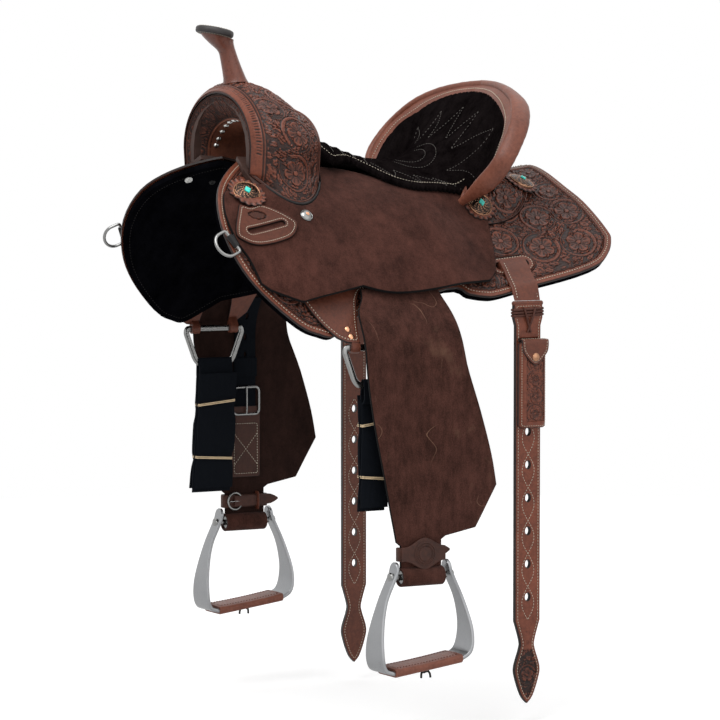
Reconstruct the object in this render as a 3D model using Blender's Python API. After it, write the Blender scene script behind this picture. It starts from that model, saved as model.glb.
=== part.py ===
"""A barrel racing saddle built from its separate pieces.

Metres, +Z up, -Y to the front, +X to the horse's near (left) side. The origin is the
ridge line under the front arch, where the saddle sits on the horse or on a rack.
Every leather layer is a patch of one roof-shaped surface, the horse's back, at its own
height: a place on it is (y, q), fore-and-aft distance and arc length down from the ridge.
"""

import math

import bmesh
import bpy
from mathutils import Matrix, Vector
from mathutils.geometry import convex_hull_2d, delaunay_2d_cdt

# Horse's back: the roof that all the layers follow.
FRONT_Y = -0.32
REAR_Y = 0.32
RIDGE_FALL = 0.045
RIDGE_DIP = 0.04
FRONT_PITCH = math.radians(20)
REAR_PITCH = math.radians(16)
FRONT_FLARE = math.radians(52)
REAR_FLARE = math.radians(34)
PITCH_REACH = 0.02
FLARE_REACH = 0.18

# Clearances.
SEAM = 0.0005
CLEAR = 0.0003

# Thicknesses of the layers, from the horse outwards.
LINING_T = 0.010
LINING_INSET = 0.0015
SKIRT_T = 0.005
JOCKEY_T = 0.0045
RIG_T = 0.004
KEEPER_T = 0.0035
FENDER_T = 0.004
LEATHER_T = 0.003
BILLET_T = 0.007
PAD_T = 0.008
BAR_DEPTH = 0.0242
SKIRT_LOW = LINING_T + SEAM
SKIRT_TOP = SKIRT_LOW + SKIRT_T
LEATHER_RISE = SKIRT_TOP + SEAM + RIG_T + 0.0012
SWING_ROOM = 0.0050
FENDER_RISE = LEATHER_RISE + LEATHER_T + SWING_ROOM
STRAP_RISE = FENDER_RISE - SEAM - LEATHER_T
MESH_Y = 0.076
MESH_Q = 0.035
PLUMB_MESH = (0.9, 0.035)
FLAT_MESH = (9.0, 9.0)
SEAT_MESH = (0.031, 0.031)

# Tree.
BAR_INNER = 0.034
BAR_OUTER = 0.165
BAR_FRONT = -0.262
BAR_REAR = 0.200
FORK_FRONT = -0.264
FORK_REAR = -0.146
FORK_WIDTH = 0.149
FORK_CROWN = 0.097
FORK_WAIST = -0.005
GULLET_WIDTH = 0.088
GULLET_CROWN = 0.066
GULLET_FOOT_Q = 0.080
COVER_T = 0.0045
GULLET_T = 0.003

# Horn.
HORN_BASE = Vector((0, -0.232, 0.096))
HORN_TOP = Vector((0, -0.2520, 0.163))
HORN_NECK_LOW = 0.0172
HORN_NECK_HIGH = 0.0128
HORN_POST_R = 0.008
HORN_CAP_FOOT = Vector((0, -0.2690, 0.1666))
HORN_CAP_R = 0.0293
HORN_CAP_T = 0.011
HORN_CAP_TILT = math.radians(11.5)
HORN_POST_SINK = 0.014

# Seat and cantle. The rim is the roll's middle line on the near half, from the top's
# middle round to the tip that tucks in beside the jockey; the dish runs up to it.
RIM = (
    (0.000, 0.207, 0.088), (0.050, 0.200, 0.085), (0.104, 0.187, 0.076),
    (0.152, 0.173, 0.059), (0.184, 0.154, 0.032), (0.198, 0.134, 0.003),
    (0.199, 0.119, -0.022), (0.187, 0.111, -0.047), (0.163, 0.115, -0.069),
    (0.134, 0.126, -0.084),
)
ROLL_BREADTH = 0.031
ROLL_T = 0.017
ROLL_DROOP = math.radians(38)
CANTLE_BACK_T = 0.004
POMMEL_RISE = 0.028

# Hanging parts.
HANG_Y = -0.071
OFF_SIDE_SHORTER = 0.026
HANG_BEND = 0.33
HANG_PLUMB = 0.39
STIRRUP_LEATHER_W = 0.076
BAR_NOTCH_Q = 0.126
LIFT_U = 0.2935
SWING_U = 0.2980
SWING_TILT = math.radians(81)
RIVET_R = 0.0034
FENDER_TOP_U = 0.2990
STRAP_W = 0.037
STRAP_TOP_U = LIFT_U + 0.0300
HOLE_W = 0.006
HOLE_L = 0.009
BOLT_R = 0.0048
LOOP_R = 0.0145
LOOP_T = 0.004
LOOP_W = 0.072
BOLT_DROP = 0.705
STRAP_END_U = BOLT_DROP - 0.190
TAB_END_U = BOLT_DROP - 0.073
NECK_TOP_U = BOLT_DROP - 0.0465
HOBBLE_TOP_U = BOLT_DROP - 0.0445
HOBBLE_END_U = BOLT_DROP - 0.0240
STIRRUP_TOP_HALF = 0.0435
STIRRUP_BOLT_HALF = 0.0490
TREAD_HALF = 0.0775
STIRRUP_T = 0.0055
TREAD_DEPTH = 0.052
NECK_DEPTH = 0.023
TREAD_DROP = 0.1325
TREAD_TILT = math.radians(7.5)

# Rigging, dees and billets.
DEE_WIRE = 0.0024
RING_T = 0.0045
RING_WIDTH = 0.010
RING_TOP_HALF = 0.046
RING_LOW_HALF = 0.030
RING_DROP = 0.056
RING_TOP_Q = 0.3735
RING_FOLD_T = 0.0028
RING_Y = -0.137
BILLET_W = 0.044
BILLET_PLACE = {1: 0.137, -1: 0.112}
BILLET_X = 0.2515
BILLET_HINGE_Z = -0.240
BILLET_BARREL_R = 0.0038
BILLET_HOLE_W = 0.009
BILLET_HOLE_H = 0.0125
BILLET_HOLE_PITCH = 0.0508
BILLET_HOLES = 6
SLOT_W = 0.056
SLOT_H = 0.014
SLOT_Q = 0.2385
BILLET_EDGE_Q = {1: 0.288, -1: 0.290}

LEFT, RIGHT = 1, -1
SIDE_NAMES = {LEFT: "left", RIGHT: "right"}

COLOURS = {
    "tooled_leather": ((0.142, 0.050, 0.030), 0.45, 0.0),
    "smooth_leather": ((0.190, 0.075, 0.042), 0.40, 0.0),
    "rough_leather": ((0.066, 0.030, 0.021), 0.90, 0.0),
    "suede": ((0.010, 0.009, 0.009), 0.95, 0.0),
    "lining": ((0.006, 0.006, 0.007), 0.97, 0.0),
    "tree": ((0.45, 0.30, 0.17), 0.60, 0.0),
    "steel": ((0.56, 0.56, 0.55), 0.28, 1.0),
    "aluminium": ((0.62, 0.62, 0.62), 0.33, 1.0),
    "concho_metal": ((0.20, 0.11, 0.07), 0.38, 0.9),
    "nylon": ((0.008, 0.010, 0.016), 0.75, 0.0),
    "binding": ((0.035, 0.032, 0.031), 0.60, 0.0),
}


def ease(low, high, value):
    """0 at low, 1 at high, with a level start and finish."""
    share = min(max((value - low) / (high - low), 0.0), 1.0)
    return share * share * (3 - 2 * share)


# The roof: heights and slopes of the horse's back.

GAUSS = (
    (-0.9324695, 0.1713245), (-0.6612094, 0.3607616), (-0.2386192, 0.4679139),
    (0.2386192, 0.4679139), (0.6612094, 0.3607616), (0.9324695, 0.1713245),
)


def ridge_height(y):
    share = (y - FRONT_Y) / (REAR_Y - FRONT_Y)
    return -RIDGE_FALL * share - 4 * RIDGE_DIP * share * (1 - share)


def roof_slope(y, q):
    share = (y - FRONT_Y) / (REAR_Y - FRONT_Y)
    pitch = FRONT_PITCH + (REAR_PITCH - FRONT_PITCH) * share
    flare = FRONT_FLARE + (REAR_FLARE - FRONT_FLARE) * share
    return pitch * (1 - math.exp(-q / PITCH_REACH)) + flare * (1 - math.exp(-q / FLARE_REACH))


def roof(y, q, rise=0.0):
    """The point at (y, q), lifted off the horse by rise; a negative q is the off side."""
    side = -1 if q < 0 else 1
    reach = abs(q)
    x = z = 0.0
    middle = min(reach, 0.05)
    for start, end in ((0.0, middle), (middle, reach)):
        half = (end - start) / 2
        for node, weight in GAUSS:
            angle = roof_slope(y, start + half * (1 + node))
            x += half * weight * math.cos(angle)
            z -= half * weight * math.sin(angle)
    angle = roof_slope(y, reach)
    x += rise * math.sin(angle)
    return Vector((side * x, y, ridge_height(y) + z + rise * math.cos(angle)))


def cover(y, q):
    """Height at which the tree's bars end and the leather over them begins."""
    q = abs(q)
    hump = ease(-0.33, -0.21, y) * (1 - ease(0.19, 0.26, y))
    hump *= 1 - ease(0.0, 0.12, y) * ease(0.08, 0.15, q)
    return SKIRT_TOP + SEAM + BAR_DEPTH * hump * (0.35 + 0.65 * ease(0.0, 0.17, q))


def roof_height(x, y, rise):
    """Height of a layer over the plan point (x, y); rise is a function of (y, q)."""
    low, high = 0.0, 0.40
    for _ in range(26):
        middle = (low + high) / 2
        if roof(y, middle, rise(y, middle)).x < abs(x):
            low = middle
        else:
            high = middle
    return roof(y, low, rise(y, low)).z


def drape(y, u, rise):
    """Where a hanging leather lies: down the roof at HANG_Y, then turning plumb."""
    if u <= HANG_BEND:
        point = roof(HANG_Y, u, rise)
        point.y = y
        return point
    point = roof(HANG_Y, HANG_BEND, rise)
    start = roof_slope(HANG_Y, HANG_BEND)
    steps = 10
    step = (min(u, HANG_PLUMB) - HANG_BEND) / steps
    for index in range(steps):
        place = HANG_BEND + step * (index + 0.5)
        angle = start + (math.pi / 2 - start) * ease(HANG_BEND, HANG_PLUMB, place)
        point.x += step * math.cos(angle)
        point.z -= step * math.sin(angle)
    turned_to = start + (math.pi / 2 - start) * ease(HANG_BEND, HANG_PLUMB, u)
    point.x += rise * (math.sin(turned_to) - math.sin(start))
    point.z += rise * (math.cos(turned_to) - math.cos(start)) - max(u - HANG_PLUMB, 0.0)
    point.y = y
    return point


# Outlines drawn in the plane of a surface.

def smooth(points, steps=2):
    """An open run drawn through its points as a Catmull-Rom curve."""
    padded = [points[0]] + list(points) + [points[-1]]
    run = []
    for a, b, c, d in zip(padded, padded[1:], padded[2:], padded[3:]):
        for index in range(steps):
            t = index / steps
            run.append(tuple(
                0.5 * (2 * b[k] + (c[k] - a[k]) * t
                       + (2 * a[k] - 5 * b[k] + 4 * c[k] - d[k]) * t * t
                       + (3 * b[k] - a[k] - 3 * c[k] + d[k]) * t ** 3)
                for k in range(len(b))
            ))
    run.append(tuple(points[-1]))
    return run


def joined(*runs):
    """One closed outline out of runs whose shared corner points are written once each."""
    outline = []
    for run in runs:
        for point in run:
            if not outline or math.dist(point, outline[-1]) > 1e-6:
                outline.append(tuple(point))
    if math.dist(outline[0], outline[-1]) < 1e-6:
        outline.pop()
    return outline


def oval(centre, width, height, segments=12, turn=0.0):
    """A closed ring of points round centre, wound like an outline."""
    ring = []
    for index in range(segments):
        angle = 2 * math.pi * index / segments + turn
        ring.append((centre[0] + width / 2 * math.cos(angle),
                     centre[1] + height / 2 * math.sin(angle)))
    return ring


def slot(centre, width, height, turn=0.0, steps=4):
    """A slot with round ends, long way along its first coordinate, turned by an angle."""
    reach, radius = (width - height) / 2, height / 2
    ring = []
    for end, start in ((1, -math.pi / 2), (-1, math.pi / 2)):
        for index in range(steps + 1):
            angle = start + math.pi * index / steps
            a = end * reach + radius * math.cos(angle)
            b = radius * math.sin(angle)
            ring.append((centre[0] + a * math.cos(turn) - b * math.sin(turn),
                         centre[1] + a * math.sin(turn) + b * math.cos(turn)))
    return ring


def offset(outline, amount):
    """The outline moved outwards by amount, whichever way it winds."""
    area = sum(a[0] * b[1] - b[0] * a[1] for a, b in zip(outline, outline[1:] + outline[:1]))
    sign = 1 if area > 0 else -1
    moved = []
    for a, b, c in zip(outline[-1:] + outline[:-1], outline, outline[1:] + outline[:1]):
        before = Vector((b[0] - a[0], b[1] - a[1])).normalized()
        after = Vector((c[0] - b[0], c[1] - b[1])).normalized()
        along = (before + after).normalized()
        moved.append((b[0] + sign * amount * along.y, b[1] - sign * amount * along.x))
    return moved


def inside(point, outline):
    """Whether a point lies within a closed outline."""
    x, y = point
    found = False
    for a, b in zip(outline, outline[1:] + outline[:1]):
        if (a[1] > y) != (b[1] > y) and x < (b[0] - a[0]) * (y - a[1]) / (b[1] - a[1]) + a[0]:
            found = not found
    return found


# Solids and how they are made.

def material(name, kind):
    """The piece's own material, in the colour and finish of its kind."""
    colour, roughness, metallic = COLOURS[kind]
    found = bpy.data.materials.new(name)
    found.use_nodes = True
    shader = found.node_tree.nodes["Principled BSDF"]
    shader.inputs["Base Color"].default_value = (*colour, 1.0)
    shader.inputs["Roughness"].default_value = roughness
    shader.inputs["Metallic"].default_value = metallic
    found.diffuse_color = (*colour, 1.0)
    return found


def solid(name, points, faces, kind, side=LEFT, origin=None, round_angle=35):
    """An object from points and faces of the near side, mirrored for the off side."""
    origin = Vector(origin) if origin else Vector((0, 0, 0))
    mesh = bpy.data.meshes.new(name)
    if side == RIGHT:
        points = [(-p[0], p[1], p[2]) for p in points]
        faces = [tuple(reversed(face)) for face in faces]
        origin = Vector((-origin.x, origin.y, origin.z))
    mesh.from_pydata([Vector(p) - origin for p in points], [], faces)
    shell = bmesh.new()
    shell.from_mesh(mesh)
    bmesh.ops.recalc_face_normals(shell, faces=shell.faces)
    if shell.calc_volume(signed=True) < 0:
        bmesh.ops.reverse_faces(shell, faces=shell.faces)
    shell.to_mesh(mesh)
    shell.free()
    mesh.shade_smooth()
    mesh.set_sharp_from_angle(angle=math.radians(round_angle))
    mesh.materials.append(material(name, kind))
    piece = bpy.data.objects.new(name, mesh)
    piece.location = origin
    bpy.context.collection.objects.link(piece)
    return piece


def lattice(place, rise_at, pitch):
    """The surface as flat triangles over a fixed lattice, so that stacked layers nest."""
    corners = {}

    def corner(row, column):
        if (row, column) not in corners:
            y, q = (column + 0.5 * (row % 2)) * pitch[0], row * pitch[1]
            corners[(row, column)] = place(y, q, rise_at(y, q))
        return corners[(row, column)]

    def at(a, b):
        row = math.floor(b)
        t = b - row
        lean = 0.5 if row % 2 == 0 else -0.5
        along = a - 0.5 * (row % 2) - lean * t
        k = math.floor(along)
        f = along - k
        near, far = corner(row, k), corner(row, k + 1)
        up, across = corner(row + 1, k), corner(row + 1, k + 1)
        if lean > 0:
            if f + t <= 1:
                return near * (1 - f - t) + far * f + up * t
            return up * (1 - f) + far * (1 - t) + across * (f + t - 1)
        if f >= t:
            return near * (1 - f) + far * (f - t) + across * t
        return near * (1 - t) + up * (t - f) + across * f

    return at


def lattice_lines(spans):
    """Points and edges of the lattice over a range of columns and rows."""
    points, edges, index = [], [], {}
    for row in range(spans[1][0], spans[1][1] + 1):
        for column in range(spans[0][0], spans[0][1] + 1):
            index[(row, column)] = len(points)
            points.append((column + 0.5 * (row % 2), float(row)))
    for (row, column), number in index.items():
        shift = 1 if row % 2 else 0
        for other in ((row, column + 1), (row + 1, column + shift),
                      (row + 1, column + shift - 1)):
            if other in index:
                edges.append((number, index[other]))
    return points, edges


def sheet(name, outline, low, high, kind, side=LEFT, holes=(), place=roof, origin=None,
          pitch=(MESH_Y, MESH_Q)):
    """A leather layer: an outline in (y, q) between two heights over a placing surface."""
    low_at = low if callable(low) else (lambda y, q: low)
    high_at = high if callable(high) else (lambda y, q: high)
    shaped = [[(y / pitch[0], q / pitch[1]) for y, q in ring] for ring in (outline, *holes)]
    spans = [(math.floor(min(p[k] for p in shaped[0])) - 1,
              math.ceil(max(p[k] for p in shaped[0])) + 1) for k in (0, 1)]
    flat, edges = lattice_lines(spans)
    for ring in shaped:
        first = len(flat)
        flat += ring
        edges += [(first + i, first + (i + 1) % len(ring)) for i in range(len(ring))]
    found = delaunay_2d_cdt([Vector(p) for p in flat], edges, [], 0, 2e-3)
    flat = [(p.x, p.y) for p in found[0]]
    triangles = []
    for face in found[2]:
        middle = tuple(sum(flat[i][k] for i in face) / 3 for k in (0, 1))
        if inside(middle, shaped[0]) and not any(inside(middle, hole) for hole in shaped[1:]):
            triangles.append(tuple(face))
    used = sorted({i for face in triangles for i in face})
    index = {old: new for new, old in enumerate(used)}
    triangles = [tuple(index[i] for i in face) for face in triangles]
    points = [surface(*flat[i])
              for surface in (lattice(place, high_at, pitch), lattice(place, low_at, pitch))
              for i in used]
    count = len(used)
    faces = list(triangles) + [tuple(count + i for i in reversed(t)) for t in triangles]
    rim = {}
    for a, b, c in triangles:
        for pair in ((a, b), (b, c), (c, a)):
            if (pair[1], pair[0]) in rim:
                del rim[(pair[1], pair[0])]
            else:
                rim[pair] = True
    faces += [(b, a, count + a, count + b) for a, b in rim]
    return solid(name, points, faces, kind, side, origin)


def loft(name, rings, kind, side=LEFT, closed=False, origin=None, round_angle=35):
    """A solid through rings of points; closed joins the last ring to the first."""
    size = len(rings[0])
    points = [point for ring in rings for point in ring]
    faces = []
    spans = len(rings) if closed else len(rings) - 1
    for ring in range(spans):
        following = (ring + 1) % len(rings)
        for i in range(size):
            j = (i + 1) % size
            faces.append((ring * size + i, ring * size + j,
                          following * size + j, following * size + i))
    if not closed:
        faces.append(tuple(reversed(range(size))))
        faces.append(tuple((len(rings) - 1) * size + i for i in range(size)))
    return solid(name, points, faces, kind, side, origin, round_angle)


def tube(name, path, radius, kind, side=LEFT, sides=8, closed=False, flat=1.0, origin=None):
    """A round bar along a path; flat squeezes it across the path's own plane."""
    path = [Vector(p) for p in path]
    count = len(path)
    normal = Vector((0, 0, 0))
    for a, b in zip(path, path[1:] + path[:1]):
        normal += a.cross(b)
    if normal.length < 1e-9:
        normal = Vector((1, 0, 0))
    normal.normalize()
    rings = []
    for i, point in enumerate(path):
        ahead = path[(i + 1) % count] if closed or i + 1 < count else point
        behind = path[i - 1] if closed or i > 0 else point
        along = (ahead - behind).normalized()
        across = along.cross(normal).normalized()
        upright = across.cross(along).normalized()
        rings.append([point + across * radius * math.cos(2 * math.pi * k / sides)
                      + upright * radius * flat * math.sin(2 * math.pi * k / sides)
                      for k in range(sides)])
    return loft(name, rings, kind, side, closed, origin, 50)


def turned(name, profile, centre, axis, kind, side=LEFT, segments=16, origin=None):
    """A round piece: radii and heights of its profile, turned about an axis."""
    turn = Vector((0, 0, 1)).rotation_difference(Vector(axis).normalized()).to_matrix()
    points, faces = [], []
    for radius, height in profile:
        for k in range(segments):
            angle = 2 * math.pi * k / segments
            local = Vector((radius * math.cos(angle), radius * math.sin(angle), height))
            points.append(Vector(centre) + turn @ local)
    for row in range(len(profile) - 1):
        for k in range(segments):
            after = (k + 1) % segments
            faces.append((row * segments + k, row * segments + after,
                          (row + 1) * segments + after, (row + 1) * segments + k))
    faces.append(tuple(reversed(range(segments))))
    faces.append(tuple((len(profile) - 1) * segments + k for k in range(segments)))
    return solid(name, points, faces, kind, side, origin, 40)


def combine(piece, other, operation):
    """Adds an exact Boolean to a piece; the other shape stays hidden as its operand."""
    other.hide_render = True
    other.display_type = "WIRE"
    step = piece.modifiers.new(operation.lower(), "BOOLEAN")
    step.operation = operation
    step.solver = "EXACT"
    step.object = other


def fuse(piece, other):
    combine(piece, other, "UNION")


def drill(piece, cutter):
    combine(piece, cutter, "DIFFERENCE")


def normal_at(y, q, rise):
    """Outward normal of a layer's top at (y, q); rise is a function of (y, q)."""
    step = 0.006
    along = roof(y + step, q, rise(y + step, q)) - roof(y - step, q, rise(y - step, q))
    down = roof(y, q + step, rise(y, q + step)) - roof(y, q - step, rise(y, q - step))
    return down.cross(along).normalized()


# Leather that lies on the horse's back.

def skirt_outline():
    """One skirt: round front corner low by the knee, straighter rear corner."""
    front = smooth([(-0.238, 0.030), (-0.297, 0.096), (-0.331, 0.150), (-0.343, 0.212),
                    (-0.331, 0.268), (-0.303, 0.311), (-0.254, 0.353), (-0.224, 0.363),
                    (-0.200, 0.363), (-0.164, 0.335), (-0.142, 0.316)])
    belly = smooth([(-0.142, 0.316), (0.013, 0.272), (0.046, 0.284), (0.071, 0.291),
                    (0.093, 0.292), (0.155, 0.283), (0.263, 0.274), (0.298, 0.257),
                    (0.316, 0.232), (0.319, 0.210), (0.312, 0.139), (0.301, 0.085),
                    (0.293, 0.0015)])
    gullet = [(0.293, 0.0015), (0.150, 0.0015), (0.100, 0.024), (-0.100, 0.030),
              (-0.238, 0.030)]
    return joined(front, belly, gullet)


def billet_slot(side):
    """The slot that the rear billet comes out of, cut through skirt and lining."""
    return slot((BILLET_PLACE[side], SLOT_Q), SLOT_W, SLOT_H)


def build_skirts(side):
    name = SIDE_NAMES[side]
    outline = skirt_outline()
    hole = billet_slot(side)
    sheet(f"skirt_lining_{name}", offset(outline, -LINING_INSET), 0.0, LINING_T, "lining",
          side, holes=[hole])
    sheet(f"skirt_{name}", outline, SKIRT_LOW, SKIRT_TOP, "tooled_leather", side,
          holes=[hole])


def jockey_outline(side):
    """The seat jockey: roughout leather between the swell and the cantle."""
    trim = BILLET_PLACE[LEFT] - BILLET_PLACE[side]
    front = smooth([(-0.254, 0.124), (-0.285, 0.131), (-0.314, 0.143), (-0.325, 0.157),
                    (-0.333, 0.193), (-0.327, 0.234), (-0.314, 0.262), (-0.305, 0.300)])
    lower = joined([(-0.305, 0.300), (-0.294, 0.309), (-0.251, 0.326), (-0.147, 0.290)],
                   smooth([(-0.147, 0.290), (-0.094, 0.298), (-0.008, 0.288),
                           (0.083 - trim, 0.270)]))
    rear = smooth([(0.083 - trim, 0.270), (0.100 - trim, 0.252), (0.111 - trim, 0.225),
                   (0.121 - trim / 2, 0.190), (0.132, 0.150), (0.146, 0.125), (0.138, 0.104),
                   (0.112, 0.092)])
    upper = smooth([(0.112, 0.092), (0.040, 0.086), (-0.020, 0.062), (-0.075, 0.040),
                    (-0.120, 0.044)])
    rim = [(y, swell_foot(y) + 0.0035) for y in
           (FORK_REAR + 0.004, -0.165, -0.185, -0.205, -0.225, -0.242, -0.254)]
    return joined(front, lower, rear, upper, rim, front[:1])


def jockey_top(y, q):
    return cover(y, q) + JOCKEY_T


def build_jockey(side):
    """The jockey with the polished head of the screw that ties it to the bar."""
    name = SIDE_NAMES[side]
    jockey = sheet(f"seat_jockey_{name}", jockey_outline(side), cover, jockey_top,
                   "rough_leather", side)
    y, q = -0.205, 0.179
    head = turned(f"jockey_screw_{name}",
                  [(0.0085, -0.0012), (0.0100, 0.0006), (0.0088, 0.0026), (0.0050, 0.0036)],
                  roof(y, q, jockey_top(y, q)), normal_at(y, q, jockey_top), "steel", side, 12)
    fuse(jockey, head)


def keeper_outline():
    """The pear-shaped latigo keeper on the front of the jockey."""
    return joined(
        smooth([(-0.306, 0.170), (-0.326, 0.221), (-0.317, 0.234), (-0.291, 0.238),
                (-0.247, 0.224), (-0.230, 0.206), (-0.228, 0.194)]),
        smooth([(-0.228, 0.194), (-0.246, 0.180), (-0.265, 0.170), (-0.276, 0.167)]),
        [(-0.276, 0.167), (-0.291, 0.1735), (-0.306, 0.170)],
    )


def build_keeper(side):
    """Keeper with its lacing slot, on the jockey below the front concho."""
    hole = slot((-0.276, 0.207), 0.062, 0.0072, turn=-0.32)
    sheet(f"latigo_keeper_{SIDE_NAMES[side]}", keeper_outline(),
          lambda y, q: jockey_top(y, q) + SEAM,
          lambda y, q: jockey_top(y, q) + SEAM + KEEPER_T,
          "tooled_leather", side, holes=[hole])


def concho(name, y, q, floor, lift, side, petal=0.0148):
    """A domed metal concho on its scalloped leather rosette, with the set stone on top."""
    axis = normal_at(y, q, floor)
    centre = roof(y, q, floor(y, q)) + axis * lift
    turn = Vector((0, 0, 1)).rotation_difference(axis).to_matrix()
    segments = 16
    rows = [(petal, 0.0, 1), (petal, 0.0022, 1), (0.0112, 0.0024, 0), (0.0108, 0.0038, 0),
            (0.0060, 0.0056, 0)]
    points, faces = [], []
    for radius, height, petals in rows:
        for k in range(segments):
            angle = 2 * math.pi * k / segments
            reach = radius * (1 - (0.07 if petals and k % 2 else 0.0))
            points.append(centre + turn @ Vector((reach * math.cos(angle),
                                                  reach * math.sin(angle), height)))
    for row in range(len(rows) - 1):
        for k in range(segments):
            after = (k + 1) % segments
            faces.append((row * segments + k, row * segments + after,
                          (row + 1) * segments + after, (row + 1) * segments + k))
    faces.append(tuple(reversed(range(segments))))
    faces.append(tuple((len(rows) - 1) * segments + k for k in range(segments)))
    return solid(name, points, faces, "concho_metal", side)


def build_conchos(side):
    """Front concho over the keeper's top, side concho on the jockey, rear concho on the skirt."""
    name = SIDE_NAMES[side]
    front_q, side_q = 0.146, 0.1215
    concho(f"concho_front_{name}", -0.2865, front_q, jockey_top, 0.0016, side)
    concho(f"concho_side_{name}", 0.1265, side_q, jockey_top, 0.0030, side)
    concho(f"concho_rear_{name}", 0.226, 0.078, lambda y, q: SKIRT_TOP, 0.0008, side)


def build_rigging_leather(side):
    """The two-legged rigging leather under the jockey that carries the rigging ring."""
    left, right = RING_Y - RING_TOP_HALF, RING_Y + RING_TOP_HALF
    front_end, rear_end = RING_TOP_Q, RING_TOP_Q - 0.0115
    outline = joined(
        smooth([(-0.262, 0.270), (-0.245, 0.305), (-0.222, 0.345), (left - 0.016, 0.368)]),
        [(left - 0.016, 0.368), (left - 0.002, front_end), (left + 0.019, front_end)],
        smooth([(left + 0.019, front_end), (left + 0.023, 0.340), (left + 0.032, 0.302)]),
        smooth([(left + 0.032, 0.302), (RING_Y, 0.283), (right - 0.030, 0.292)]),
        [(right - 0.030, 0.292), (right - 0.022, 0.330), (right - 0.019, rear_end),
         (right - 0.004, rear_end), (right + 0.012, 0.345), (right + 0.022, 0.300),
         (right + 0.020, 0.262), (RING_Y, 0.250), (-0.220, 0.252)],
    )
    leather = sheet(f"rigging_leather_{SIDE_NAMES[side]}", outline, SKIRT_TOP + SEAM,
                    SKIRT_TOP + SEAM + RIG_T, "tooled_leather", side)
    ring_fold(leather, left + 0.006, left + 0.018, front_end, side)
    ring_fold(leather, right - 0.018, right - 0.006, rear_end, side)


def ring_fold(leather, front, rear, end, side):
    """The leg's folded end: a teardrop in section, from the leather round the ring's top bar."""
    bar = ring_top()
    bore = RING_WIDTH / 2 + CLEAR
    reach = bore + RING_FOLD_T
    rim = [(bar.x + reach * math.cos(math.pi * k / 7), bar.z + reach * math.sin(math.pi * k / 7))
           for k in range(14)]
    middle = (front + rear) / 2
    for rise in (SKIRT_TOP + SEAM + 0.0004, SKIRT_TOP + SEAM + RIG_T - 0.0004):
        seat_point = roof(middle, end - 0.006, rise)
        rim.append((seat_point.x, seat_point.z))
    rim = [rim[i] for i in convex_hull_2d([Vector(p) for p in rim])]
    name = f"ring_fold_{SIDE_NAMES[side]}_{middle:.3f}"
    fuse(leather, loft(name, [[Vector((x, y, z)) for x, z in rim] for y in (front, rear)],
                       "tooled_leather", side))
    drill(leather, turned(f"{name}_bore", [(bore, front - 0.002), (bore, rear + 0.002)],
                          (bar.x, 0, bar.z), (0, 1, 0), "tooled_leather", side, 14))


# The tree, the fork and its covers.

def build_bars(side):
    """A bar of the tree, with the notch that the stirrup leather goes round."""
    reach = STIRRUP_LEATHER_W / 2 + 0.0008
    outline = joined(
        [(BAR_FRONT, BAR_INNER + 0.02), (BAR_FRONT - 0.006, 0.09), (BAR_FRONT, 0.135),
         (BAR_FRONT + 0.03, BAR_OUTER - 0.004), (-0.200, BAR_OUTER),
         (HANG_Y - reach, BAR_OUTER), (HANG_Y - reach, BAR_NOTCH_Q),
         (HANG_Y + reach, BAR_NOTCH_Q), (HANG_Y + reach, BAR_OUTER), (0.030, BAR_OUTER - 0.004),
         (0.090, 0.148), (0.140, 0.122), (0.190, 0.118), (BAR_REAR, 0.098),
         (BAR_REAR + 0.004, 0.060), (BAR_REAR - 0.01, BAR_INNER + 0.004),
         (0.060, BAR_INNER - 0.004), (-0.120, BAR_INNER)],
    )
    sheet(f"tree_bar_{SIDE_NAMES[side]}", outline, SKIRT_TOP + SEAM,
          lambda y, q: cover(y, q) - SEAM, "tree", side)


def swell_foot(y):
    """How far down the bar the swell's tongue reaches at a fore-and-aft station."""
    return 0.157 - (20 if y < -0.212 else 14) * (y + 0.212) ** 2


def fork_section(y):
    """Half width and crown height of the swell at a station."""
    rise = ease(FORK_FRONT - 0.004, FORK_FRONT + 0.026, y) ** 0.5
    width = 0.106 + (FORK_WIDTH - 0.106) * rise - 0.036 * ease(-0.205, -0.138, y)
    return width, 0.080 + (FORK_CROWN - 0.080) * rise - 0.042 * ease(-0.225, -0.136, y)


def crown_height(x, y):
    """Top of the swell cover over the plan point (x, y) near the middle."""
    width, crown = fork_section(y)
    return FORK_WAIST + (crown - FORK_WAIST) * math.sqrt(1 - (x / width) ** 2)


def on_bar(y, q, lift=0.0012):
    return roof(y, q, cover(y, q) + lift)


def fork_arch(y, inset, steps=5):
    """Half the swell's section at y, from its foot on the bar up to the crown."""
    width, crown = fork_section(y)
    foot_q = swell_foot(y) - inset
    foot = on_bar(y, foot_q)
    waist = Vector((width - inset - 0.004, y, FORK_WAIST - 0.035))
    run = [foot, foot.lerp(waist, 0.5), waist]
    for index in range(steps + 1):
        angle = math.pi / 2 * index / steps
        run.append(Vector(((width - inset) * math.cos(angle), y,
                           FORK_WAIST + (crown - inset - FORK_WAIST) * math.sin(angle))))
    return run


def gullet_arch(y, inset, steps=5):
    """Half the gullet's section at y, from the bar's inner edge up to the crown."""
    width = GULLET_WIDTH - inset
    crown = GULLET_CROWN - 0.026 * ease(-0.225, -0.146, y) - inset
    foot = on_bar(y, GULLET_FOOT_Q - inset)
    run = [foot]
    for index in range(steps + 1):
        angle = math.pi / 2 * index / steps
        run.append(Vector((width * math.cos(angle), y,
                           FORK_WAIST + (crown - FORK_WAIST) * math.sin(angle))))
    return run


def both_halves(run):
    """A near-side run from foot to crown, carried on down the off side."""
    return run + [Vector((-p.x, p.y, p.z)) for p in reversed(run[:-1])]


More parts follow.
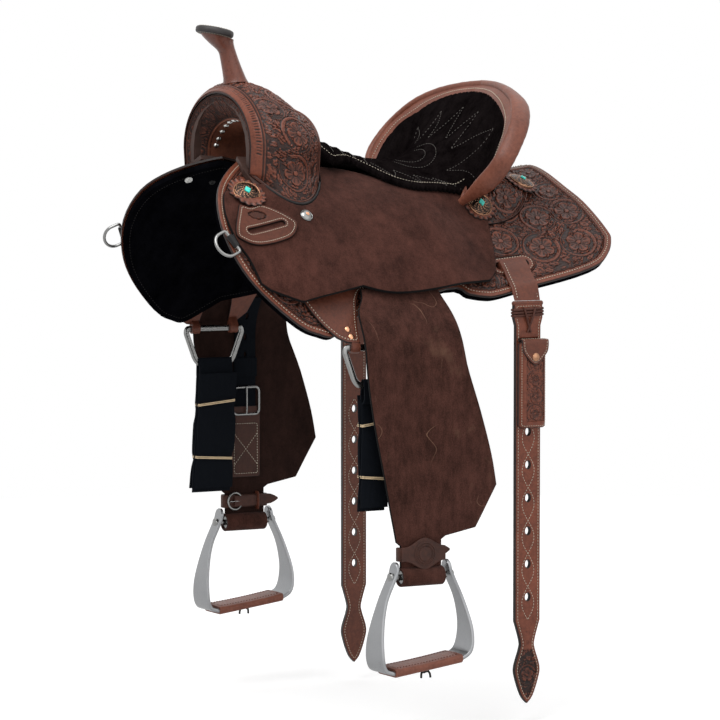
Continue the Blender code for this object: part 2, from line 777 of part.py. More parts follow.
def between(name, outer, inner, kind):
    """A shell between two equal grids of points, closed round their rims."""
    rows, columns = len(outer), len(outer[0])
    points = [p for row in outer for p in row] + [p for row in inner for p in row]
    base = rows * columns
    faces = []
    for r in range(rows - 1):
        for c in range(columns - 1):
            a, b = r * columns + c, (r + 1) * columns + c
            faces.append((a, a + 1, b + 1, b))
            faces.append((base + b, base + b + 1, base + a + 1, base + a))
    for c in range(columns - 1):
        a, b = c, (rows - 1) * columns + c
        faces.append((base + a, base + a + 1, a + 1, a))
        faces.append((b, b + 1, base + b + 1, base + b))
    for r in range(rows - 1):
        a, b = r * columns, (r + 1) * columns
        faces.append((a, b, base + b, base + a))
        a, b = a + columns - 1, b + columns - 1
        faces.append((base + a, base + b, b, a))
    return solid(name, points, faces, kind)


def build_fork():
    """The fork, its tooled cover over the swells and the smooth lining of the gullet."""
    outer = [FORK_FRONT, FORK_FRONT + 0.004, FORK_FRONT + 0.012, -0.235, -0.210, -0.185, -0.165,
             -0.152, FORK_REAR]
    cover_out = [both_halves(fork_arch(y, 0.0)) for y in outer]
    cover_in = [both_halves(fork_arch(y, COVER_T)) for y in outer]
    between("swell_cover", cover_out, cover_in, "tooled_leather")
    core = outer[1:-1]
    top = [both_halves(fork_arch(y, COVER_T + 0.0034)) for y in core]
    under = []
    for y in core:
        start = swell_foot(y) - COVER_T - 0.0034
        end = GULLET_FOOT_Q
        floor = [on_bar(y, start + (end - start) * share) for share in (0.33, 0.67)]
        under.append(both_halves(floor + gullet_arch(y, 0.0)))
    fork = between("tree_fork", top, under, "tree")
    for piece in (fork, bpy.data.objects["swell_cover"]):
        bore = turned(f"horn_bore_{piece.name}", [(HORN_POST_R + CLEAR, -HORN_POST_SINK - SEAM),
                                                  (HORN_POST_R + CLEAR, 0.03)],
                      HORN_BASE, HORN_TOP - HORN_BASE, "steel", LEFT, 12)
        drill(piece, bore)
    over = [both_halves(gullet_arch(y, 2 * SEAM)) for y in core]
    below = [both_halves(gullet_arch(y, 2 * SEAM + GULLET_T)) for y in core]
    between("gullet_lining", over, below, "smooth_leather")


def build_horn():
    """A steel post screwed into the fork, its leather sleeve and the round bound cap."""
    lean = HORN_TOP - HORN_BASE
    length = lean.length
    tilt = Vector((0, math.sin(HORN_CAP_TILT), math.cos(HORN_CAP_TILT)))
    turned("horn_post", [(HORN_POST_R, -HORN_POST_SINK), (HORN_POST_R, length - 0.0065)],
           HORN_BASE, lean, "steel", LEFT, 12)

    def neck_ring(share, radius, segments=14):
        centre = HORN_BASE + lean * share
        ring = []
        for k in range(segments):
            angle = 2 * math.pi * k / segments
            x, y = radius * math.cos(angle), centre.y + radius * math.sin(angle)
            low = crown_height(x, y) + 0.0006
            high = HORN_CAP_FOOT.z - (y - HORN_CAP_FOOT.y) * math.tan(HORN_CAP_TILT) - CLEAR
            z = low + (high - low) * share
            ring.append(Vector((x, y, z)))
        return ring

    rings = []
    for share, radius in ((0.0, HORN_NECK_LOW + 0.0012), (0.10, HORN_NECK_LOW),
                          (0.55, HORN_NECK_HIGH + 0.0012), (0.85, HORN_NECK_HIGH),
                          (1.0, HORN_NECK_HIGH + 0.0008)):
        rings.append(neck_ring(share, radius))
    bore = HORN_POST_R + CLEAR + 0.0014
    rings += [neck_ring(share, bore) for share in (1.0, 0.0)]
    loft("horn_neck_wrap", rings, "smooth_leather", closed=True, round_angle=50)
    cap = [(HORN_CAP_R - 0.003, 0.0), (HORN_CAP_R, 0.0035), (HORN_CAP_R, HORN_CAP_T - 0.003),
           (HORN_CAP_R - 0.004, HORN_CAP_T), (0.010, HORN_CAP_T + 0.0015)]
    turned("horn_cap", cap, HORN_CAP_FOOT, tilt, "binding", LEFT, 20)


def ring_solid(name, profile, centre, axis, kind, side=LEFT, segments=16, origin=None):
    """A closed profile of radii and heights turned into a ring."""
    turn = Vector((0, 0, 1)).rotation_difference(Vector(axis).normalized()).to_matrix()
    rings = []
    for k in range(segments):
        angle = 2 * math.pi * k / segments
        rings.append([Vector(centre) + turn @ Vector((r * math.cos(angle), r * math.sin(angle), h))
                      for r, h in profile])
    return loft(name, rings, kind, side, True, origin, 40)


# Seat and cantle.

# The dish: where it starts to rise, by distance out from the middle, how it ends under
# the roll, and how far its side wings stand above the seat's base.
DISH_START = ((0.0, 0.030), (0.06, 0.044), (0.10, 0.078), (0.13, 0.108), (0.165, 0.104),
              (0.20, 0.112))
DISH_END_Y = ((0.0, 0.196), (0.050, 0.190), (0.100, 0.178), (0.145, 0.164), (0.172, 0.148),
              (0.188, 0.128), (0.20, 0.116))
DISH_END_Z = ((0.0, 0.087), (0.050, 0.084), (0.100, 0.074), (0.145, 0.057), (0.172, 0.034),
              (0.188, 0.006), (0.20, -0.016))
WING_RISE = ((0.0, 0.0), (0.126, 0.0), (0.160, 0.018), (0.187, 0.044), (0.20, 0.066))
SEAT_SIDE_X = 0.126


def table(pairs, value):
    """Reads a short table of pairs, straight between its entries."""
    for (a, low), (b, high) in zip(pairs, pairs[1:]):
        if value <= b:
            return low + (high - low) * max(value - a, 0.0) / (b - a)
    return pairs[-1][1]


def seat_height(x, y):
    """Top of the seat over the plan point: the rise to the fork, then the dish behind."""
    reach = abs(x)
    side = min(reach, SEAT_SIDE_X)
    base = roof_height(side, y, lambda a, b: jockey_top(a, b) + PAD_T + 0.0021)
    base += POMMEL_RISE * (1 - ease(-0.150, 0.010, y)) * max(1 - (x / 0.125) ** 2, 0.0)
    start, end = table(DISH_START, reach), table(DISH_END_Y, reach)
    low = base + table(WING_RISE, reach)
    if y <= start:
        return low
    share = min((y - start) / max(end - start, 1e-4), 1.3)
    return low + (table(DISH_END_Z, reach) - low) * share ** (1.9 - 3.0 * reach)


def seat(y, x, rise):
    """Placing surface of the seat: plan coordinates, lifted along the surface's normal."""
    step = 0.004
    slope_x = (seat_height(x + step, y) - seat_height(x - step, y)) / (2 * step)
    slope_y = (seat_height(x, y + step) - seat_height(x, y - step)) / (2 * step)
    normal = Vector((-slope_x, -slope_y, 1.0)).normalized()
    return Vector((x, y, seat_height(x, y))) + normal * rise


def seat_outline():
    """Seat leather: swelled front edge, scalloped sides, and the inner border of the roll."""
    near = smooth([(-0.141, 0.030), (-0.118, 0.066), (-0.106, 0.086), (-0.086, 0.074),
                   (-0.062, 0.062), (-0.040, 0.076), (-0.012, 0.100), (0.019, 0.114),
                   (0.060, 0.116), (0.110, 0.122)])
    rim = smooth([(0.110, 0.122), (0.1060, 0.150), (0.1060, 0.174), (0.1170, 0.186),
                  (0.1320, 0.184), (0.1500, 0.169), (0.1660, 0.139), (0.1790, 0.094),
                  (0.1900, 0.048), (0.1960, 0.0)])
    half = joined(near, rim)
    return half + [(y, -x) for y, x in reversed(half[:-1])]


def build_seat():
    sheet("seat_pad", seat_outline(), -PAD_T, 0.0, "suede", place=seat, pitch=SEAT_MESH)


def rim_run(steps):
    """The roll's middle line from the near tip over the top to the off tip."""
    half = [Vector(p) for p in smooth(list(reversed(RIM)), steps)]
    return half + [Vector((-p.x, p.y, p.z)) for p in reversed(half[:-1])]


def build_roll():
    """The padded roll bound over the cantle's rim, drooping outwards and tapering to its tips."""
    run = rim_run(2)
    count = len(run)
    rings = []
    for index, point in enumerate(run):
        ahead, behind = run[min(index + 1, count - 1)], run[max(index - 1, 0)]
        along = (ahead - behind).normalized()
        away = Vector((point.x, point.y - 0.060, 0)).normalized()
        across = (away - along * away.dot(along)).normalized()
        up = across.cross(along).normalized()
        if up.z < 0:
            up = -up
        out = across * math.cos(ROLL_DROOP) - up * math.sin(ROLL_DROOP)
        top = across * math.sin(ROLL_DROOP) + up * math.cos(ROLL_DROOP)
        share = index / (count - 1)
        taper = 0.35 + 0.65 * ease(0.0, 0.13, share) * ease(1.0, 0.87, share)
        breadth, depth = ROLL_BREADTH / 2 * taper, ROLL_T / 2 * (0.5 + 0.5 * taper)
        centre = point + across * 0.0085
        rings.append([centre + out * breadth * math.cos(2 * math.pi * k / 10)
                      + top * depth * math.sin(2 * math.pi * k / 10) for k in range(10)])
    loft("cantle_roll", rings, "smooth_leather", round_angle=60)


# Foot of the cantle's back, on the bars and skirts: distance out from the middle and y.
CANTLE_FOOT = ((0.0, 0.186), (0.045, 0.184), (0.080, 0.174), (0.104, 0.157))


def cantle_rows(stand_off, dip):
    """Rows of the cantle's back, each from under the roll down to the foot on the bars."""
    rows = []
    shares = (0.0, 0.25, 0.5, 0.75, 1.0)
    for share in shares:
        x, y = 0.0 + 0.176 * share, 0.0
        end_y, end_z = table(DISH_END_Y, x), table(DISH_END_Z, x)
        top = Vector((x, end_y + 0.0075 + stand_off, end_z - 0.011 - dip))
        foot_x = 0.104 * share
        y = table(CANTLE_FOOT, foot_x) + stand_off
        foot_x += stand_off * share
        foot = Vector((foot_x, y, roof_height(foot_x, y, cover) + 0.0026))
        middle = top.lerp(foot, 0.5) + Vector((0, 0.002, 0)) + Vector((0.006 * share, 0, 0))
        rows.append([top, top.lerp(middle, 0.5), middle, middle.lerp(foot, 0.5), foot])
    near = list(reversed(rows))
    return near + [[Vector((-p.x, p.y, p.z)) for p in row] for row in rows[1:]]


def build_cantle():
    """The cantle's wooden wedge under the dish and the tooled leather over its back."""
    back = cantle_rows(0.0, 0.0)
    front = []
    for row in back:
        x = row[0].x
        inner = []
        for share in (0.0, 0.25, 0.5, 0.75, 1.0):
            end = table(DISH_END_Y, abs(x))
            start = table(DISH_START, abs(x)) + 0.050
            y = end - 0.006 + (min(start, end - 0.03) - end) * share
            px = x * (1 - 0.44 * share)
            inner.append(seat(y, px, -PAD_T - 0.0062))
        front.append(inner)
    for row, inner in zip(back, front):
        foot = inner[-1]
        floor = roof_height(foot.x, foot.y, jockey_top) + 0.0016
        foot.z = max(min(foot.z, inner[-2].z), floor + 0.001)
    between("tree_cantle", back, front, "tree")
    between("cantle_back", cantle_rows(CANTLE_BACK_T + 0.001, 0.0),
            cantle_rows(0.001, 0.0), "tooled_leather")


# Stirrup leathers, fenders and stirrups.

def hang(u, side):
    """Distance down the leather, shorter on the off side, which is buckled up a hole."""
    return u if side == LEFT else u - OFF_SIDE_SHORTER * ease(0.30, 0.48, u)


def fender_outline(side):
    """The fender: narrow under the jockey, wide at the calf, drawn in to the neck."""
    neck = LOOP_W / 2 - 0.001
    end = BOLT_DROP - LOOP_R + LOOP_T / 2
    outline = joined(
        smooth([(-0.150, FENDER_TOP_U), (-0.1640, 0.330), (-0.1615, 0.4005),
                (-0.1495, 0.4765), (-0.1315, 0.5615), (-0.1135, 0.6525)]),
        [(-0.1135, 0.6525), (HANG_Y - neck, NECK_TOP_U), (HANG_Y - neck, end),
         (HANG_Y + neck, end), (HANG_Y + neck, NECK_TOP_U - 0.007), (-0.0285, 0.6465),
         (0.0235, 0.6365), (0.0605, 0.5735)],
        smooth([(0.0605, 0.5735), (0.0515, 0.5265), (0.0325, 0.4615), (0.0085, 0.389),
                (-0.0035, 0.328), (-0.0120, FENDER_TOP_U)]),
    )
    return [(y, hang(u, side)) for y, u in outline]


def lift_axis_point():
    return drape(HANG_Y, LIFT_U, LEATHER_RISE + LEATHER_T)


def swing_point():
    return drape(HANG_Y, SWING_U, LEATHER_RISE + LEATHER_T)


def plumb_x():
    """Where the hanging leathers' middle stands once they hang plumb."""
    return drape(HANG_Y, HANG_PLUMB, FENDER_RISE + FENDER_T / 2).x


def build_leathers(side):
    """Stirrup leather over the bar, the short length that flexes, and the fender over it."""
    name = SIDE_NAMES[side]
    half = STIRRUP_LEATHER_W / 2
    start = BAR_NOTCH_Q + 0.005
    top = [(HANG_Y - half, start), (HANG_Y - half, LIFT_U - SEAM),
           (HANG_Y + half, LIFT_U - SEAM), (HANG_Y + half, start)]
    sheet(f"stirrup_leather_top_{name}", top, LEATHER_RISE, LEATHER_RISE + LEATHER_T,
          "nylon", side, place=drape, pitch=PLUMB_MESH)
    bend = [(HANG_Y - half, LIFT_U), (HANG_Y - half, STRAP_TOP_U - 0.012),
            (HANG_Y + half, STRAP_TOP_U - 0.012), (HANG_Y + half, LIFT_U)]
    flexing = sheet(f"stirrup_leather_bend_{name}", bend, LEATHER_RISE,
                    LEATHER_RISE + LEATHER_T, "nylon", side, place=drape,
                    origin=lift_axis_point(), pitch=PLUMB_MESH)
    pivot = swing_point()
    height = (SWING_ROOM - CLEAR - RIVET_R * 0.25) / 0.89
    fuse(flexing, turned(f"swing_rivet_{name}",
                         [(RIVET_R, -0.0016), (RIVET_R, height - 0.0012),
                          (RIVET_R * 0.4, height)],
                         pivot, (math.sin(SWING_TILT), 0, math.cos(SWING_TILT)), "steel",
                         side, 12, lift_axis_point()))
    fender = sheet(f"fender_{name}", fender_outline(side), FENDER_RISE,
                   FENDER_RISE + FENDER_T, "rough_leather", side, place=drape, origin=pivot,
                   pitch=PLUMB_MESH)
    profile = [(LOOP_R - LOOP_T, -LOOP_W / 2), (LOOP_R, -LOOP_W / 2), (LOOP_R, LOOP_W / 2),
               (LOOP_R - LOOP_T, LOOP_W / 2)]
    fuse(fender, ring_solid(f"fender_loop_{name}", profile, bolt_centre(side), (0, 1, 0),
                            "smooth_leather", side, 14, pivot))
    strap_half = STRAP_W / 2
    tab_half = 0.026
    end, low = hang(STRAP_END_U, side), hang(TAB_END_U, side)
    strap = [(HANG_Y - strap_half, STRAP_TOP_U), (HANG_Y - strap_half, end + 0.016),
             (HANG_Y - tab_half, end + 0.032), (HANG_Y - tab_half, low),
             (HANG_Y + tab_half, low), (HANG_Y + tab_half, end + 0.032),
             (HANG_Y + strap_half, end + 0.016), (HANG_Y + strap_half, STRAP_TOP_U)]
    holes = [oval((HANG_Y, STRAP_TOP_U + 0.030 + 0.0265 * k), HOLE_W, HOLE_L, 8)
             for k in range(4)]
    sheet(f"stirrup_strap_{name}", strap, STRAP_RISE, STRAP_RISE + LEATHER_T, "nylon",
          side, holes=holes, place=drape, origin=pivot, pitch=PLUMB_MESH)


def build_fender_fittings(side):
    """Buckle on the inside and the hobble strap round the neck."""
    name = SIDE_NAMES[side]
    pivot = swing_point()
    inner_x = plumb_x() - FENDER_T / 2 - SEAM - LEATHER_T
    z_of = drape(HANG_Y, HANG_PLUMB, 0).z + HANG_PLUMB
    half, wire = STRAP_W / 2 + 0.005, 0.0022
    x = inner_x - CLEAR - wire
    end = hang(STRAP_END_U, side)
    high, low = z_of - end + 0.026, z_of - end - 0.012
    frame = [(x, HANG_Y - half, high), (x, HANG_Y - half, low), (x, HANG_Y - half + 0.006, low - 0.005),
             (x, HANG_Y + half - 0.006, low - 0.005), (x, HANG_Y + half, low),
             (x, HANG_Y + half, high), (x, HANG_Y + half - 0.006, high + 0.005),
             (x, HANG_Y - half + 0.006, high + 0.005)]
    tube(f"stirrup_buckle_{name}", frame, wire, "steel", side, 8, True, origin=pivot)
    neck, thick = LOOP_W / 2 + 0.0012, 0.0032
    top, bottom = z_of - hang(HOBBLE_TOP_U, side), z_of - hang(HOBBLE_END_U, side)
    middle = plumb_x()
    inner_half, outer_half = FENDER_T / 2 + 0.0008, FENDER_T / 2 + 0.0008 + thick
    rings = []
    for level in (top, bottom):
        rings.append([(middle - outer_half, HANG_Y - neck - thick, level),
                      (middle + outer_half, HANG_Y - neck - thick, level),
                      (middle + outer_half, HANG_Y + neck + thick, level),
                      (middle - outer_half, HANG_Y + neck + thick, level)])
        rings.append([(middle - inner_half, HANG_Y - neck, level),
                      (middle + inner_half, HANG_Y - neck, level),
                      (middle + inner_half, HANG_Y + neck, level),
                      (middle - inner_half, HANG_Y + neck, level)])
    loft(f"hobble_strap_{name}", [rings[0], rings[1], rings[3], rings[2]], "smooth_leather",
         side, True, pivot)


def bolt_centre(side):
    z_of = drape(HANG_Y, HANG_PLUMB, 0).z + HANG_PLUMB
    return Vector((plumb_x(), HANG_Y, z_of - hang(BOLT_DROP, side)))


def stirrup_path():
    """Middle line of the bent bar, from the front post's top round to the rear post's top."""
    side_run = [(STIRRUP_TOP_HALF, 0.023), (STIRRUP_BOLT_HALF - 0.0028, 0.007),
                (STIRRUP_BOLT_HALF + 0.0035, -0.007), (0.0640, -0.032), (0.0725, -0.060),
                (TREAD_HALF, -0.088), (TREAD_HALF - 0.0005, -TREAD_DROP + 0.020),
                (TREAD_HALF - 0.006, -TREAD_DROP + 0.006), (TREAD_HALF - 0.018, -TREAD_DROP)]
    low = smooth(side_run, 2)
    path = []
    for sign, run in ((-1, low), (1, list(reversed(low)))):
        for y, z in run:
            weight = ease(-0.02, -TREAD_DROP, z)
            path.append((sign * y, z + sign * y * math.tan(TREAD_TILT) * weight))
    return path


def build_stirrup(side):
    """Bent aluminium stirrup on its neck bolt, with the leather-wrapped tread."""
    name = SIDE_NAMES[side]
    bolt = bolt_centre(side)
    path = stirrup_path()
    rings = []
    for i, (y, z) in enumerate(path):
        ahead, behind = path[min(i + 1, len(path) - 1)], path[max(i - 1, 0)]
        along = Vector((0, ahead[0] - behind[0], ahead[1] - behind[1])).normalized()
        inward = Vector((0, -along.z, along.y))
        depth = (NECK_DEPTH + (TREAD_DEPTH - NECK_DEPTH) * ease(-0.02, -0.125, z)) / 2
        point = bolt + Vector((0, y, z))
        half = STIRRUP_T / 2
        rings.append([point + inward * half + Vector((depth - 0.002, 0, 0)),
                      point + Vector((depth, 0, 0)),
                      point - inward * half + Vector((depth - 0.002, 0, 0)),
                      point - inward * half - Vector((depth - 0.002, 0, 0)),
                      point - Vector((depth, 0, 0)),
                      point + inward * half - Vector((depth - 0.002, 0, 0))])
    loft(f"stirrup_{name}", rings, "aluminium", side, False, bolt, 30)
    reach = STIRRUP_BOLT_HALF - STIRRUP_T / 2 - 0.0022
    roller, roller_half = LOOP_R - LOOP_T - 2 * CLEAR, LOOP_W / 2 - 0.002
    turned(f"stirrup_bolt_{name}",
           [(BOLT_R, -reach), (BOLT_R, -roller_half), (roller, -roller_half),
            (roller, roller_half), (BOLT_R, roller_half), (BOLT_R, reach)],
           bolt, (0, 1, 0), "steel", side, 14, bolt)
    half = TREAD_HALF - 0.020
    slots = []
    for share in (-1, -0.5, 0, 0.5, 1):
        y = half * share
        z = -TREAD_DROP + y * math.tan(TREAD_TILT)
        slots.append(bolt + Vector((0, y, z)))
    outer = [(TREAD_DEPTH / 2 + 0.0030, 0.0), (TREAD_DEPTH / 2, 0.0062), (0.0, 0.0072),
             (-TREAD_DEPTH / 2, 0.0062), (-TREAD_DEPTH / 2 - 0.0030, 0.0),
             (-TREAD_DEPTH / 2, -0.0062), (0.0, -0.0066), (TREAD_DEPTH / 2, -0.0062)]
    gap = STIRRUP_T / 2 + 0.0004
    inner = [(TREAD_DEPTH / 2 + 0.0005, 0.0), (TREAD_DEPTH / 2 - 0.0016, gap), (0.0, gap),
             (-TREAD_DEPTH / 2 + 0.0016, gap), (-TREAD_DEPTH / 2 - 0.0005, 0.0),
             (-TREAD_DEPTH / 2 + 0.0016, -gap), (0.0, -gap), (TREAD_DEPTH / 2 - 0.0016, -gap)]
    grid_out = [[p + Vector((a, 0, b)) for a, b in outer] for p in slots]
    grid_in = [[p + Vector((a, 0, b)) for a, b in inner] for p in reversed(slots)]
    loft(f"tread_cover_{name}", grid_out + grid_in, "smooth_leather", side, True, bolt)


# Rings, dees, strap bundles and billets.

def ring_top():
    """Middle of the rigging ring's top bar, just below the rigging leather's two legs."""
    low = roof(RING_Y - RING_TOP_HALF, RING_TOP_Q, SKIRT_TOP + SEAM + RIG_T / 2)
    return Vector((low.x - 0.003, RING_Y, low.z - RING_WIDTH / 2 - 0.0032))


def build_ring(side):
    """The flat rigging ring: straight top bar, sides drawn in to the rounded bottom bar."""
    top = ring_top()
    corner = 0.010
    a, b, drop = RING_TOP_HALF + 0.004, RING_LOW_HALF, RING_DROP
    outline = [(-a + corner, 0), (a - corner, 0), (a - 0.002, -corner * 0.4), (a, -corner),
               (b + 0.004, -drop + corner), (b - 0.006, -drop), (-b + 0.006, -drop),
               (-b - 0.004, -drop + corner), (-a, -corner), (-a + 0.002, -corner * 0.4)]
    path = [top + Vector((0, y, z)) for y, z in outline]
    tube(f"rigging_ring_{SIDE_NAMES[side]}", path, RING_WIDTH / 2, "steel", side, 8, True,
         RING_T / RING_WIDTH, top)


def rounded(centre, half_x, half_y):
    """Eight points of a rounded rectangle in a level plane."""
    corner = 0.45 * min(half_x, half_y)
    plan = [(half_x, half_y - corner), (half_x - corner, half_y),
            (-half_x + corner, half_y), (-half_x, half_y - corner),
            (-half_x, -half_y + corner), (-half_x + corner, -half_y),
            (half_x - corner, -half_y), (half_x, -half_y + corner)]
    return [centre + Vector((x, y, 0)) for x, y in plan]


def build_bundle(side):
    """A folded strap bundle on the ring: the latigo on the near side, the off billet."""
    if side == LEFT:
        name, width, length, ahead, sway = "latigo_bundle_left", 0.046, 0.190, 0.002, 0.0
    else:
        name, width, length, ahead, sway = ("off_billet_bundle_right", 0.068, 0.206, 0.001,
                                            -0.012)
    pivot = ring_top() + Vector((0, 0, -RING_DROP))
    half = 0.0075
    lean = -0.0085
    rings = []
    for share, swell in ((0.062, 0.75), (0.14, 1.0), (0.36, 1.08), (0.60, 0.96), (0.86, 1.1),
                         (1.0, 0.7)):
        centre = pivot + Vector((lean, ahead + sway * share, -length * share))
        rings.append(rounded(centre, half * swell, width / 2 * (0.92 + 0.08 * swell)))
    body = loft(name, rings, "nylon", side, False, pivot, 50)
    eye, slim, wall = RING_WIDTH / 2 + 0.0006, RING_T / 2 + 0.0009, 0.0030
    loop_half = 0.0205
    outside = [(slim + wall, -0.016), (slim + wall, eye), (slim * 0.4, eye + wall),
               (-slim * 0.4, eye + wall), (-slim - wall, eye), (-slim - wall, -0.016)]
    hole = [(slim, -eye), (slim, eye - 0.001), (slim * 0.4, eye), (-slim * 0.4, eye),
            (-slim, eye - 0.001), (-slim, -eye)]
    spans = (-loop_half, loop_half)
    outer = [[pivot + Vector((x, y, z)) for x, z in outside] for y in spans]
    inner = [[pivot + Vector((x, y, z)) for x, z in hole] for y in reversed(spans)]
    fuse(body, loft(f"{name}_eye", outer + inner, "nylon", side, True, pivot))


def build_dee(side):
    """The breast-collar dee and the clip at the skirt's front edge that holds its bar."""
    name = SIDE_NAMES[side]
    y, q = -0.3345, 0.238
    centre = roof(y, q, SKIRT_TOP + SEAM + 0.0048)
    down = (roof(y, q + 0.01, 0.0) - roof(y, q - 0.01, 0.0)).normalized()
    hang_way = (down * 0.45 + Vector((0, -0.89, 0))).normalized()
    out = normal_at(y, q, lambda a, b: SKIRT_TOP)
    bar = out.cross(hang_way).normalized()
    half, reach = 0.0190, 0.030
    plane = [(half, 0), (-half, 0), (-half, reach * 0.5), (-half * 0.72, reach * 0.86),
             (0, reach), (half * 0.72, reach * 0.86), (half, reach * 0.5)]
    path = [centre + bar * a + hang_way * b for a, b in plane]
    tube(f"breast_dee_{name}", path, DEE_WIRE, "steel", side, 8, True, 1.0, centre)
    wall, hole, length = 0.0016, DEE_WIRE + CLEAR, 0.020
    rings = []
    for share in (-1, 1):
        for radius in (hole + wall, hole):
            rings.append([centre + bar * (length / 2 * share)
                          + hang_way * radius * math.cos(2 * math.pi * k / 10)
                          + out * radius * math.sin(2 * math.pi * k / 10) for k in range(10)])
    loft(f"dee_clip_{name}", [rings[0], rings[1], rings[3], rings[2]], "binding", side, True)


def billet_outline():
    """Half widths of the rear billet below its hinge, down to the pointed tip."""
    half = BILLET_W / 2
    right = [(half + 0.004, 0.0), (half + 0.004, -0.022), (half, -0.034), (half, -0.486),
             (0.0128, -0.517), (0.0135, -0.530), (half, -0.557), (half - 0.002, -0.575),
             (0.010, -0.602), (0.0, -0.614)]
    run = smooth(right[3:], 2)
    near = right[:3] + run
    return near + [(-y, z) for y, z in reversed(near[:-1])]


def build_billet(side):
    """Loop through the skirt's slot, and the doubled rear billet that hangs below its lace."""
    name = SIDE_NAMES[side]
    place_y = BILLET_PLACE[side]
    hinge = Vector((BILLET_X, place_y, BILLET_HINGE_Z))
    half = BILLET_W / 2

    def strap(y, z, rise):
        return Vector((BILLET_X + rise, place_y + y, BILLET_HINGE_Z + z))

    first = -0.196
    holes = [oval((0.0, first - BILLET_HOLE_PITCH * k), BILLET_HOLE_W, BILLET_HOLE_H, 8)
             for k in range(BILLET_HOLES)]
    billet = sheet(f"rear_billet_{name}", billet_outline(), -BILLET_T / 2, BILLET_T / 2,
                   "tooled_leather", side, holes=holes, place=strap, origin=hinge,
                   pitch=FLAT_MESH)
    reach = half + 0.0046
    fuse(billet, turned(f"billet_fold_{name}",
                        [(BILLET_BARREL_R, -reach), (BILLET_BARREL_R, reach)],
                        hinge, (0, 1, 0), "tooled_leather", side, 14, hinge))
    build_loop(side, place_y)


def build_loop(side, place_y):
    """The billet's upper end: out through the slot and down over the skirt's lower strip."""
    edge, thick, lift = BILLET_EDGE_Q[side], 0.0035, SKIRT_TOP + 0.0014
    upper, lower = SLOT_Q - SLOT_H / 2 + CLEAR, SLOT_Q + SLOT_H / 2 - 0.0012
    half = BILLET_W / 2
    end = BILLET_HINGE_Z + BILLET_BARREL_R + CLEAR
    rings = []
    for y in (place_y - half, place_y, place_y + half):
        def at(q, rise):
            return roof(y, q, rise)
        outer = [at(upper, 0.0006), at(upper, lift + thick), at(0.262, lift + thick),
                 at(edge, lift + thick),
                 Vector((BILLET_X + thick / 2, y, end))]
        inner = [Vector((BILLET_X - thick / 2, y, end)),
                 at(edge + 0.003, lift), at(0.264, lift), at(lower, lift), at(lower, 0.0006)]
        rings.append(outer + inner)
    loft(f"billet_loop_{SIDE_NAMES[side]}", rings, "tooled_leather", side)


def build_pouch():
    """The tooled pouch that rides on the near billet, with its hinged, snapped flap."""
    place_y = BILLET_PLACE[LEFT]
    hinge = Vector((BILLET_X, place_y, BILLET_HINGE_Z))
    middle = place_y + 0.004
    half, high, low = 0.024, -0.058, -0.190
    face = BILLET_X + BILLET_T / 2 + CLEAR
    depth, wall = 0.012, 0.0024
    outer, inner = [], []
    for z, pinch in ((low, 0.003), (low + 0.010, 0.0), (high, 0.0)):
        level = BILLET_HINGE_Z + z
        edge = half - pinch
        outer.append([Vector((face, middle - edge, level)), Vector((face, middle + edge, level)),
                      Vector((face + depth, middle + edge - 0.003, level)),
                      Vector((face + depth, middle - edge + 0.003, level))])
    for z in (high, low + 0.010):
        level = BILLET_HINGE_Z + z
        edge = half - wall
        inner.append([Vector((face + wall, middle - edge, level)),
                      Vector((face + wall, middle + edge, level)),
                      Vector((face + depth - wall, middle + edge - 0.002, level)),
                      Vector((face + depth - wall, middle - edge + 0.002, level))])
    loft("billet_pouch", outer + inner, "tooled_leather", LEFT, False, hinge)
    top = BILLET_HINGE_Z + high + 0.0006
    lid_x = face + depth
    pivot = Vector((face + 0.001, middle, top + 0.0035))
    side_run = [(face + 0.0006, top), (lid_x + CLEAR + 0.0003, top),
                (lid_x + CLEAR + 0.0003, top - 0.034), (lid_x + CLEAR + 0.0027, top - 0.034),
                (lid_x + CLEAR + 0.0027, top + 0.0012), (lid_x - 0.001, top + 0.0024),
                (face + 0.0006, top + 0.0024)]
    rings = [[Vector((x, y, z)) for x, z in side_run]
             for y in (middle - half + 0.001, middle + half - 0.001)]
    loft("pouch_flap", rings, "tooled_leather", LEFT, False, pivot)


def main():
    for old in list(bpy.data.objects):
        bpy.data.objects.remove(old, do_unlink=True)
    build_fork()
    build_horn()
    build_seat()
    build_roll()
    build_cantle()
    build_pouch()
    for side in (LEFT, RIGHT):
        build_bars(side)
        build_skirts(side)
        build_jockey(side)
        build_keeper(side)
        build_conchos(side)
        build_rigging_leather(side)
        build_leathers(side)
        build_fender_fittings(side)
        build_stirrup(side)
        build_ring(side)
        build_bundle(side)
        build_dee(side)
        build_billet(side)


main()
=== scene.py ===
import math

import bpy
import numpy as np
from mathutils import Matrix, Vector
from mathutils.geometry import delaunay_2d_cdt


